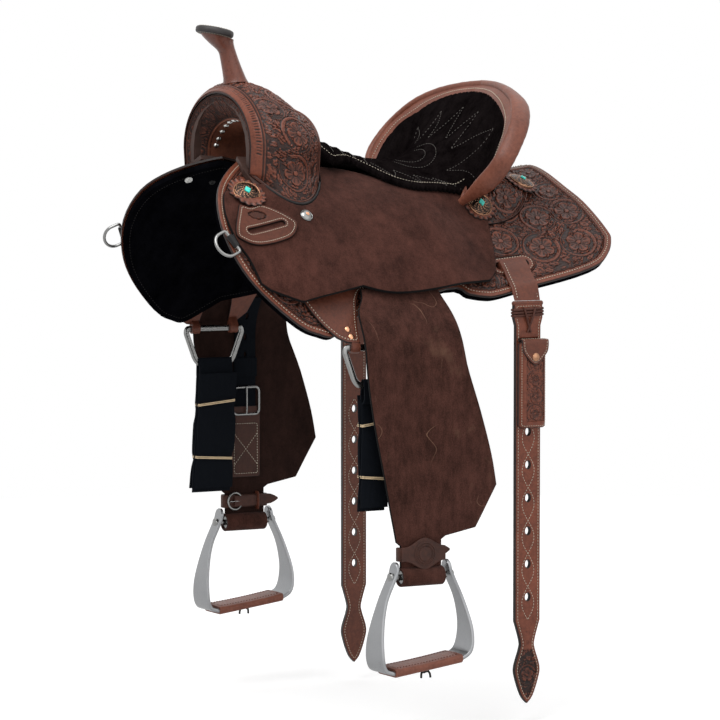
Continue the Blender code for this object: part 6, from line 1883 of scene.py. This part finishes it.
def dress_stirrup(side):
    name = SIDES[side]
    body = f"stirrup_unit_{name}"
    bolt = bolt_centre(side)
    path = np.array(stirrup_run())
    along = unit(np.gradient(path, axis=0))
    rows = []
    half, corner = STIRRUP_T / 2, 0.0018
    for (y, z), (dy, dz) in zip(path, along):
        inward = np.array([0, -dz, dy])
        depth = (NECK_DEPTH + (TREAD_DEPTH - NECK_DEPTH) * float(ease(-0.02, -0.125, z))) / 2
        below_end = max(0.023 - z, 0.0)
        if below_end < depth:
            depth *= math.sqrt(max(1 - (1 - below_end / depth) ** 2, 0.03))
        section = rounded_run(box(depth, half), corner, steps=4)
        centre = bolt + np.array([0, y, z])
        rows.append([centre + np.array([a, 0, 0]) + inward * b for a, b, _ in section])
    frame_piece = grid_mesh(f"stirrup_dress_{name}", rows, body, ALUMINIUM, side)
    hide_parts(f"stirrup_{name}")
    for end in (1, -1):
        centre = bolt + np.array([0, end * (STIRRUP_BOLT_HALF + STIRRUP_T / 2 - 0.0004), 0])
        head = turned(f"stirrup_bolt_head_{'rear' if end > 0 else 'front'}_{name}",
                      [(0.0078, -0.0006), (0.0080, 0.0010), (0.0070, 0.0026), (0.0040, 0.0034),
                       (0.0006, 0.0036)], centre, (0, end, 0), body, STEEL, side, 24)
    reach, deep = TREAD_HALF - 0.020, TREAD_DEPTH / 2

    def tread_z(y):
        return -TREAD_DROP + y * math.tan(TREAD_TILT)

    def hollow(y):
        return 0.0012 * np.cos(y / reach * math.pi / 2)

    rows = []
    for y in np.concatenate([[-reach], np.linspace(-reach + 0.0008, reach - 0.0008, 22),
                             [reach]]):
        grow_a, grow_b = (0.976, 0.936) if abs(y) > reach - 0.0004 else (1, 1)
        wide, high = deep + 0.0030, 0.0062
        section = rounded_run([(wide, high - hollow(y), 0), (wide, -high, 0), (-wide, -high, 0),
                               (-wide, high - hollow(y), 0), (0.0, 0.0074 - hollow(y), 0)], 0.006)
        rows.append([bolt + np.array([a * grow_a, y, tread_z(y) + b * grow_b])
                     for a, b, _ in section])
    for y in (reach, -reach):
        section = rounded_run(box(deep, 0.0030) + [(0.0, 0.0030, 0)], 0.002)
        rows.append([bolt + np.array([a, y, tread_z(y) + b]) for a, b, _ in section])
    tread = grid_mesh(f"tread_dress_{name}", rows, body, ROLL, side, True)
    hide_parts(f"tread_cover_{name}")
    x, end = 0.019, reach - 0.005
    runs = [([(x, -end), (x, end)], False), ([(-x, -end), (-x, end)], False),
            ([(-x, -end), (x, -end)], False), ([(-x, end), (x, end)], False)]

    def tread_top(a, b, lift):
        return bolt + np.stack([a, b, tread_z(b) + 0.0069 - hollow(b) + lift], -1)

    stitches(f"tread_stitching_{name}", runs, tread_top, body, STRAP, side, 0.0050)
    foot = bolt + np.array([0.006, 0.004, -TREAD_DROP - 0.0072])
    knot = []
    for t in np.linspace(0, 2 * math.pi, 30):
        knot.append(foot + np.array([0.0040 * math.sin(t), 0.0052 * math.cos(t),
                                     -0.0018 + 0.0022 * math.sin(2 * t)]))
    lace = tube(f"tread_knot_{name}", knot[:-1], 0.0021, body, BLACK_EDGE, side, 8, True)
    for tag, way in (("a", 1), ("b", -1)):
        path = smooth([tuple(foot + np.array([0.0, way * 0.003, -0.002])),
                       tuple(foot + np.array([0.002, way * 0.007, -0.006])),
                       tuple(foot + np.array([0.003, way * 0.008, -0.013]))], 6)
        end = tube(f"tread_lace_{tag}_{name}", path, 0.0017, body, BLACK_EDGE, side, 8,
                   up=(1, 0, 0))


# Rings, dees, strap bundles and billets.


def dress_ring(side):
    name = SIDES[side]
    top = ring_top()
    corner = 0.010
    a, b, drop = RING_TOP_HALF + 0.004, RING_LOW_HALF, RING_DROP
    outline = [(-a + 0.002, 0.0), (a - 0.002, 0.0), (a - 0.0005, -corner * 0.7),
               (b + 0.004, -drop + corner * 0.8), (b - 0.003, -drop), (-b + 0.003, -drop),
               (-b - 0.004, -drop + corner * 0.8), (-a + 0.0005, -corner * 0.7)]
    path = rounded_run([top + np.array([0, y, z]) for y, z in outline], 0.008)
    piece = tube(f"ring_dress_{name}", path, RING_WIDTH / 2, f"rigging_ring_unit_{name}", STEEL,
                 side, 16, True, RING_T / RING_WIDTH, up=(1, 0, 0))
    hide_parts(f"rigging_ring_{name}")


def dress_bundle(side):
    """Folded nylon straps: layers with round folds, bound by two rubber bands."""
    name = SIDES[side]
    body = f"strap_bundle_{name}"
    if side == 1:
        node_name, width, length, ahead, sway = "latigo_bundle_left", 0.046, 0.190, 0.002, 0.0
    else:
        node_name, width, length, ahead, sway = ("off_billet_bundle_right", 0.068, 0.206, 0.001,
                                                 -0.012)
    pivot = ring_top() + np.array([0, 0, -RING_DROP])
    layers = 5
    step = 0.0030
    lean = -0.0085
    first = None
    for k in range(layers):
        offset_x = lean + (k - (layers - 1) / 2) * step
        start = 0.016 + 0.006 * ((k * 2) % 3)
        stop = length - 0.006 * ((k * 3 + 1) % 4)
        rows = []
        for share in np.linspace(0, 1, 16):
            z = start + (stop - start) * share
            drift = ahead + sway * z / length + 0.0016 * math.sin(k * 2.1 + share * 2.0)
            belly = 0.0009 * math.sin(share * math.pi * 3 + k)
            squeeze = 1 - 0.10 * math.exp(-((share - 0.30) / 0.05) ** 2) - 0.10 * math.exp(
                -((share - 0.74) / 0.05) ** 2)
            h, t = width / 2 * squeeze, 0.00135
            c = pivot + np.array([offset_x * squeeze + belly, drift, -z])
            section = rounded_run(box(t, h), 0.0010, steps=2)
            rows.append([c + np.array([a, b, 0]) for a, b, _ in section])
        strap = grid_mesh(f"{node_name}_layer_{k}", rows, body, NYLON, side, angle=40)
        first = first or strap
    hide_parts(node_name)
    eye = RING_WIDTH / 2 + 0.0006
    outside = [(-0.0045, -0.030), (0.0052, -0.024), (0.0054, -0.004), (0.0040, eye + 0.0016),
               (0.0, eye + 0.0030), (-0.0040, eye + 0.0016), (-0.0066, -0.004), (-0.0100, -0.024)]
    run = smooth(outside, 4)
    rows = []
    wide = 0.0205 if side == 1 else 0.0295
    for y in (-wide, -wide + 0.0008, wide - 0.0008, wide):
        rows.append([pivot + np.array([x, y + ahead * 0.4, z]) for x, z in run])
    thin = []
    mid = np.array(run).mean(0)
    for y in (wide, -wide):
        thin.append([pivot + np.array([mid[0] + (x - mid[0]) * 0.62, y + ahead * 0.4,
                                       mid[1] + (z - mid[1]) * 0.88]) for x, z in run])
    wrap = grid_mesh(f"{node_name}_wrap", rows + thin, body, NYLON, side, True)
    for tag, z, tilt in (("upper", length * 0.30, 0.003), ("lower", length * 0.73, -0.002)):
        h, d = width / 2 * 0.94, step * layers / 2 + 0.0012
        c = pivot + np.array([lean, ahead + sway * z / length, -z])
        for turn_number in range(2):
            shift = 0.0022 * turn_number
            corners = [c + np.array([d, h, tilt - shift]), c + np.array([d, -h, -tilt - shift]),
                       c + np.array([-d, -h, -tilt - shift]), c + np.array([-d, h, tilt - shift])]
            band = tube(f"{node_name}_band_{tag}_{turn_number}", rounded_run(corners, 0.003),
                        0.00085, body, RUBBER, side, 8, True)


def dress_dee(side):
    name = SIDES[side]
    y, q = -0.3345, 0.238
    centre = roof(y, q, SKIRT_TOP + SEAM + 0.0048)
    down = unit(roof(y, q + 0.01) - roof(y, q - 0.01))
    way = unit(down * 0.45 + np.array([0, -0.89, 0]))
    out = surface_normal(y, q, lambda a, b: SKIRT_TOP)
    bar = unit(np.cross(out, way))
    half, reach = 0.0190, 0.030
    arc = [centre + way * (reach * 0.45) + bar * (-half * math.cos(t)) + way * (
        reach * 0.55 * math.sin(t)) for t in np.linspace(0, math.pi, 22)]
    path = rounded_run([centre + bar * half, centre - bar * half] + arc, 0.004, steps=4)
    ring = tube(f"dee_dress_{name}", path, DEE_WIRE, f"dee_unit_{name}", STEEL, side, 14, True)
    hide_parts(f"breast_dee_{name}")
    wall, length = 0.0021, 0.020
    t = np.linspace(0, 2 * math.pi, 28, endpoint=False)
    rows = []
    for share, radius in ((-0.5, DEE_WIRE + CLEAR), (-0.5, DEE_WIRE + wall), (0.5, DEE_WIRE + wall),
                          (0.5, DEE_WIRE + CLEAR)):
        rows.append(centre + bar * length * share + np.outer(radius * np.cos(t), way)
                    + np.outer(radius * np.sin(t), out))
    clip = grid_mesh(f"clip_dress_{name}", rows, "saddle", BLACK_EDGE, side, True)
    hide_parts(f"dee_clip_{name}")
    rows = []
    for d, h in ((0.0, 0.0095), (0.010, 0.0095), (0.022, 0.0080), (0.028, 0.0035)):
        base = centre - way * (0.002 + d) + out * (-0.0050)
        rows.append([base + bar * h + out * 0.0006, base + bar * h * 0.9 + out * 0.0030,
                     base - bar * h * 0.9 + out * 0.0030, base - bar * h + out * 0.0006])
    strap = grid_mesh(f"clip_strap_{name}", rows, "saddle", BLACK_EDGE, side, angle=40)


def billet_outline():
    half = BILLET_W / 2
    right = [(half + 0.003, 0.0), (half + 0.0035, -0.022), (half, -0.034), (half, -0.486),
             (0.0128, -0.517), (0.0135, -0.530), (half, -0.557), (half - 0.002, -0.575),
             (0.010, -0.602), (0.0, -0.614)]
    near = right[:3] + smooth(right[3:], 5)
    return near + [(-y, z) for y, z in reversed(near[:-1])]


BILLET_SEAM = 0.0042


def dress_billet(side):
    name = SIDES[side]
    body = f"billet_unit_{name}"
    place_y = BILLET_PLACE[side]

    def strap(y, z, rise=0.0):
        y, z, rise = arrays(y, z, rise)
        return np.stack([BILLET_X + rise, place_y + y, BILLET_HINGE_Z + z], -1)

    outline = billet_outline()
    holes = [oval((0.0, -0.196 - BILLET_HOLE_PITCH * k), BILLET_HOLE_W, BILLET_HOLE_H)
             for k in range(BILLET_HOLES)]
    flowers = ((0.0, -0.570, 0.0110, 0.3), (0.0, -0.070, 0.0120, 0.9))
    leaves = [spray for low, high in ((-0.615, -0.530), (-0.175, -0.050))
              for spray in foliage((-0.020, low), (0.020, high), 0.0100, flowers, 0.019, 0.0085)]

    def carve(p, edge):
        z = p[:, 1]
        tip = (z < -0.532) | ((z > -0.172) & (z < -0.052))
        return np.where(tip & (edge > 0.0062), tooling(p, flowers, leaves),
                        np.where(tip & (edge > 0.0052), 0.0, 1.0))

    def relief(p, edge):
        return -0.0004 * np.exp(-((edge - BILLET_SEAM) / 0.0009) ** 2) * (p[:, 1] < -0.03)

    piece = panel(f"billet_dress_{name}", [outline] + holes, strap, -BILLET_T / 2, BILLET_T / 2,
                  TOOLED if side == 1 else STRAP, body, side, 0.004, everywhere, 0.0018,
                  relief, carve)
    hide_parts(f"rear_billet_{name}")
    runs = [(inset(outline, BILLET_SEAM, 0.0015), True)]
    z = np.linspace(-0.180, -0.180 - BILLET_HOLE_PITCH * BILLET_HOLES, 130)
    for sign in (1, -1):
        runs.append((np.column_stack([sign * 0.0108 * np.sin(
            (z + 0.180) / BILLET_HOLE_PITCH * math.pi), z]), False))
    for tag, rise, way in (("outer", BILLET_T / 2, 1), ("inner", -BILLET_T / 2, -1)):
        stitches(f"billet_stitching_{tag}_{name}", runs,
                 lambda a, b, lift, rise=rise, way=way: strap(a, b, rise + way * lift), body,
                 CREAM, side, 0.0046, 0.70, 0.00046)
    half = BILLET_W / 2
    fold = turned(f"billet_barrel_{name}", [(0.0030, -half - 0.0042), (0.0037, -half - 0.0030),
                                            (0.0037, half + 0.0030), (0.0030, half + 0.0042)],
                  (BILLET_X, place_y, BILLET_HINGE_Z), (0, 1, 0), body, STRAP, side, 20)
    dress_loop(side, place_y)
    dress_lace(side, strap, body)


def dress_loop(side, place_y):
    """The billet's upper end, out of the slot and down over the skirt's lower strip."""
    name = SIDES[side]
    edge, thick, lift = BILLET_EDGE_Q[side], 0.0035, SKIRT_TOP + 0.0014
    upper = SLOT_Q - SLOT_H / 2 + CLEAR
    half = BILLET_W / 2
    end = BILLET_HINGE_Z + 0.0041
    spans = np.concatenate([[-half, -half + 0.0006], np.linspace(-half + 0.002, half - 0.002, 12),
                            [half - 0.0006, half]])
    rows, middle_run = [], []
    for k, y in enumerate(spans):
        pinch = 0.0007 if k in (0, len(spans) - 1) else 0.0
        outer = [roof(place_y + y, upper, 0.0010), roof(place_y + y, upper + 0.0005, lift + 0.002),
                 roof(place_y + y, upper + 0.004, lift + thick - pinch),
                 roof(place_y + y, 0.250, lift + thick + 0.0006 - pinch),
                 roof(place_y + y, 0.262, lift + thick - pinch),
                 roof(place_y + y, 0.276, lift + thick - pinch),
                 roof(place_y + y, edge, lift + thick - pinch),
                 np.array([BILLET_X + thick / 2 - pinch, place_y + y, end])]
        inner = [np.array([BILLET_X - thick / 2, place_y + y, end]),
                 roof(place_y + y, edge + 0.003, lift), roof(place_y + y, 0.276, lift),
                 roof(place_y + y, 0.264, lift), roof(place_y + y, 0.250, lift - 0.0006),
                 roof(place_y + y, upper + 0.0075, 0.0010)]
        rows.append(smooth_run(outer, 3) + smooth_run(inner, 3))
        middle_run.append(smooth_run(outer, 3))
    piece = grid_mesh(f"loop_dress_{name}", rows, "saddle", STRAP, side)
    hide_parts(f"billet_loop_{name}")
    grid = np.array(middle_run)[:, 6:]
    lengths = lengths_along(grid[8])

    def face(a, b, lift):
        a, b, lift = np.broadcast_arrays(a, b, lift)
        p = np.stack([np.interp(b, lengths, grid[8, :, k]) for k in range(3)], -1)
        p[:, 1] = place_y + a
        tangent = np.stack([np.interp(b + 0.002, lengths, grid[8, :, k]) - np.interp(
            b - 0.002, lengths, grid[8, :, k]) for k in range(3)], -1)
        out = unit(np.stack([-tangent[:, 2], 0 * b, tangent[:, 0]], -1))
        return p + out * lift[:, None]

    runs = [([(s * (half - 0.004), 0.004), (s * (half - 0.004), lengths[-1] - 0.004)], False)
            for s in (1, -1)]
    stitches(f"loop_stitching_{name}", runs, face, "saddle", CREAM, side)


def smooth_run(points, steps):
    return [np.array(p) for p in smooth([tuple(p) for p in points], steps)]


def dress_lace(side, strap, body):
    """The dark lacing that ties billet and loop: three coils and a V below them."""
    name = SIDES[side]
    half = BILLET_W / 2
    face = BILLET_T / 2 + 0.0012
    for k in range(3):
        z = -0.010 - 0.0045 * k
        corners = [strap(way * (half + out), z + (0.002 if way > 0 else 0.0), rise)
                   for way, out, rise in ((-1, 0.0040, 0.0), (-1, 0.0030, face), (1, 0.0030, face),
                                          (1, 0.0040, 0.0), (1, 0.0030, -face),
                                          (-1, 0.0030, -face))]
        band = tube(f"billet_lace_{k}_{name}", rounded_run(corners, 0.004), 0.0021, body,
                    LACE, side, 8, True)
    for tag, a in (("front", -0.008), ("rear", 0.008)):
        path = smooth([tuple(strap(a * 1.3, -0.006, face + 0.002)),
                       tuple(strap(a * 0.8, -0.018, face + 0.003)),
                       tuple(strap(a * 0.1, -0.034, face + 0.0012)),
                       tuple(strap(-a * 0.35, -0.044, face + 0.0008))], 6)
        end = tube(f"billet_lace_end_{tag}_{name}", path, 0.0018, body, LACE, side, 8,
                   up=(1, 0, 0))


def dress_pouch():
    """The knife pouch on the near billet: tooled front, stitched sides, snapped flap."""
    place_y = BILLET_PLACE[1]
    body = "billet_unit_left"
    middle = place_y + 0.004
    half, high, low = 0.024, -0.058, -0.190
    face = BILLET_X + BILLET_T / 2 + CLEAR
    depth = 0.012

    def front(y, z, rise=0.0):
        y, z, rise = arrays(y, z, rise)
        bulge = depth * (1 - np.abs(y / half) ** 6 * 0.80) * (
            1 - 0.5 * np.clip((low + 0.012 - z) / 0.012, 0, 1) ** 2)
        return np.stack([face + bulge + rise, middle + y, BILLET_HINGE_Z + z], -1)

    outline = rounded_run([(-half, high, 0), (half, high, 0), (half, low, 0), (-half, low, 0)],
                          0.006)[:, :2].tolist()

    def carve(p, edge):
        inner_panel = (np.abs(p[:, 0] - 0.002) < 0.0150) & (p[:, 1] < -0.075) & (
            p[:, 1] > low + 0.010)
        flowers = [(0.002, -0.090 - 0.026 * k, 0.0105, 0.8 * k) for k in range(4)]
        leaves = foliage((-0.014, -0.182), (0.018, -0.074), 0.0095, flowers, 0.018, 0.0085)
        height = tooling(p, flowers, leaves)
        rim = np.maximum(np.abs(p[:, 0] - 0.002) / 0.0150,
                         np.abs(p[:, 1] + 0.1275) / 0.0535)
        return np.where(inner_panel, np.where(rim > 0.95, 0.0, height), 1.0)

    piece = panel("pouch_dress", [outline], front, -0.0018, 0.0, TOOLED, body, 1, 0.003,
                  everywhere, 0.0017, None, carve, 0.0010)
    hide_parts("billet_pouch")
    rows = []
    for z in np.linspace(high - 0.001, low + 0.002, 24):
        section = [(face + 0.0002, -half + 0.001), (face + depth * 0.30, -half + 0.0006),
                   (face + depth * 0.30, -half + 0.0032), (face + 0.0026, -half + 0.0040),
                   (face + 0.0026, half - 0.0040), (face + depth * 0.30, half - 0.0032),
                   (face + depth * 0.30, half - 0.0006), (face + 0.0002, half - 0.001)]
        rows.append([np.array([x, middle + y, BILLET_HINGE_Z + z]) for x, y in section])
    back = grid_mesh("pouch_gusset", rows, body, STRAP, 1, angle=40)
    runs = [(inset(outline, 0.0034, 0.001), True)]
    stitches("pouch_stitching", runs, front, body, CREAM, 1, 0.0040, 0.7, 0.00046)
    top = high + 0.0006

    def flap(y, t, rise=0.0):
        """Down the flap: t runs from its fold at the back over the top to its tip."""
        y, t, rise = arrays(y, t, rise)
        bend = 0.0115
        turn = ease(bend - 0.0035, bend + 0.0035, t) * math.pi / 2
        x = face + 0.0008 + np.minimum(t, bend)
        z = top + 0.0005 - np.maximum(t - bend, 0)
        return np.stack([x + (0.0006 + rise) * np.sin(turn), middle + y,
                         BILLET_HINGE_Z + z + (0.0006 + rise) * np.cos(turn)], -1)

    tip = 0.0118 + 0.036
    shape = smooth([(half - 0.001, 0.0), (half - 0.001, 0.022), (half - 0.007, 0.034),
                    (0.0, tip), (-half + 0.007, 0.034), (-half + 0.001, 0.022),
                    (-half + 0.001, 0.0)], 5)
    cover_piece = panel("flap_dress", [shape], flap, 0.0, 0.0022, STRAP, "flap_unit", 1, 0.0028,
                        soft=0.0009)
    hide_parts("pouch_flap")
    stitches("flap_stitching", [(inset(shape, 0.0034, 0.001), True)],
             lambda a, b, lift: flap(a, b, 0.0022 + lift), "flap_unit", CREAM, 1, 0.0040, 0.7,
             0.00042)
    snap = flap(np.array([0.0]), np.array([0.036]), np.array([0.0022]))[0]
    button = turned("flap_snap", [(0.0062, -0.0004), (0.0062, 0.0008), (0.0050, 0.0020),
                                  (0.0020, 0.0026), (0.0003, 0.0027)], snap, (1, 0, 0),
                    "flap_unit", ANTIQUE, 1, 24)


# The whole saddle.

for dress in (dress_swell, dress_gullet, dress_horn, dress_seat, dress_roll, dress_cantle,
              dress_pouch):
    dress()
for SIDE in SIDES:
    for dress in (dress_skirt, dress_jockey, dress_keeper, dress_ear, dress_conchos,
                  dress_rigging, dress_swell_binding, dress_fender, dress_strap, dress_buckle,
                  dress_hobble, dress_stirrup, dress_ring, dress_bundle, dress_dee,
                  dress_billet):
        dress(SIDE)
keep(WOOD, "tree_fork", "tree_cantle", "tree_bar_left", "tree_bar_right")
keep(STEEL, "horn_post", "stirrup_bolt_left", "stirrup_bolt_right")
keep(NYLON, "stirrup_leather_top_left", "stirrup_leather_top_right",
     "stirrup_leather_bend_left", "stirrup_leather_bend_right")

# Camera, light and floor.

AZIMUTH, ELEVATION, DISTANCE = 61, 4, 6.0
TARGET, LIT = Vector((0.0, -0.015, -0.337)), Vector((0.0, -0.03, -0.05))


def compass(azimuth, elevation):
    """The way from the saddle to a direction in degrees."""
    a, e = math.radians(azimuth), math.radians(elevation)
    return Vector((math.sin(a) * math.cos(e), -math.cos(a) * math.cos(e), math.sin(e)))


back = compass(AZIMUTH, ELEVATION)
lens = bpy.data.cameras.new("camera")
lens.lens, lens.sensor_width = 192.0, 36.0
camera = bpy.data.objects.new("camera", lens)
camera.location = TARGET + back * DISTANCE
camera.rotation_mode = "QUATERNION"
camera.rotation_quaternion = (-back).to_track_quat("-Z", "Y")
bpy.context.collection.objects.link(camera)
bpy.context.scene.camera = camera
bpy.context.scene.view_settings.view_transform = "Standard"


def lamp(name, kind, azimuth, elevation, power, distance, **settings):
    """A light that faces the seat: a soft sun or a square area light."""
    source = bpy.data.lights.new(name, kind)
    source.energy = power
    for key, value in settings.items():
        setattr(source, key, value)
    made = bpy.data.objects.new(name, source)
    way = compass(azimuth, elevation)
    made.location = LIT + way * distance
    made.rotation_mode = "QUATERNION"
    made.rotation_quaternion = way.to_track_quat("Z", "Y")
    bpy.context.collection.objects.link(made)


lamp("key", "AREA", 30, 52, 24.0, 1.7, size=1.3)
lamp("fill", "SUN", 95, 25, 0.75, 1.7, angle=math.radians(70))
lamp("top", "SUN", 200, 70, 0.6, 1.7, angle=math.radians(60))
world = bpy.data.worlds.new("studio")
bpy.context.scene.world = world
world.use_nodes = True
sky = world.node_tree
rays = node(sky, "ShaderNodeLightPath")
shown = maths(sky, "MAXIMUM", rays.outputs["Is Camera Ray"], rays.outputs["Is Transmission Ray"])
shown = maths(sky, "MAXIMUM", shown, rays.outputs["Is Glossy Ray"])
sky.links.new(levels(sky, shown, 0.0, 1.0, 0.55, 1.0),
              sky.nodes["Background"].inputs["Strength"])
sky.nodes["Background"].inputs["Color"].default_value = (1.0, 1.0, 1.0, 1.0)
FLOOR_GAP, FLOOR_R, FLOOR_CORNERS = 0.03, 3.2, 64
floor_z = cad_box[0].z - FLOOR_GAP
rim = [(a, b, floor_z) for a, b in oval((0.0, 0.0), 2 * FLOOR_R, 2 * FLOOR_R, FLOOR_CORNERS)]
floor_mesh = bpy.data.meshes.new("floor")
floor_mesh.from_pydata(rim, [], [tuple(range(FLOOR_CORNERS))])
floor_paint, floor_tree, floor_shader = begin("floor_paint", 0.9)
floor_shader.inputs["Base Color"].default_value = (0.86, 0.86, 0.86, 1.0)
floor_shader.inputs["Specular IOR Level"].default_value = 0.0
floor_shader.inputs["Emission Color"].default_value = (1.0, 1.0, 1.0, 1.0)
seen = node(floor_tree, "ShaderNodeLightPath").outputs["Is Camera Ray"]
floor_tree.links.new(levels(floor_tree, seen, 0.0, 1.0, 0.0, 0.34),
                     floor_shader.inputs["Emission Strength"])
floor_mesh.materials.append(floor_paint)
floor = bpy.data.objects.new("floor", floor_mesh)
bpy.context.collection.objects.link(floor)
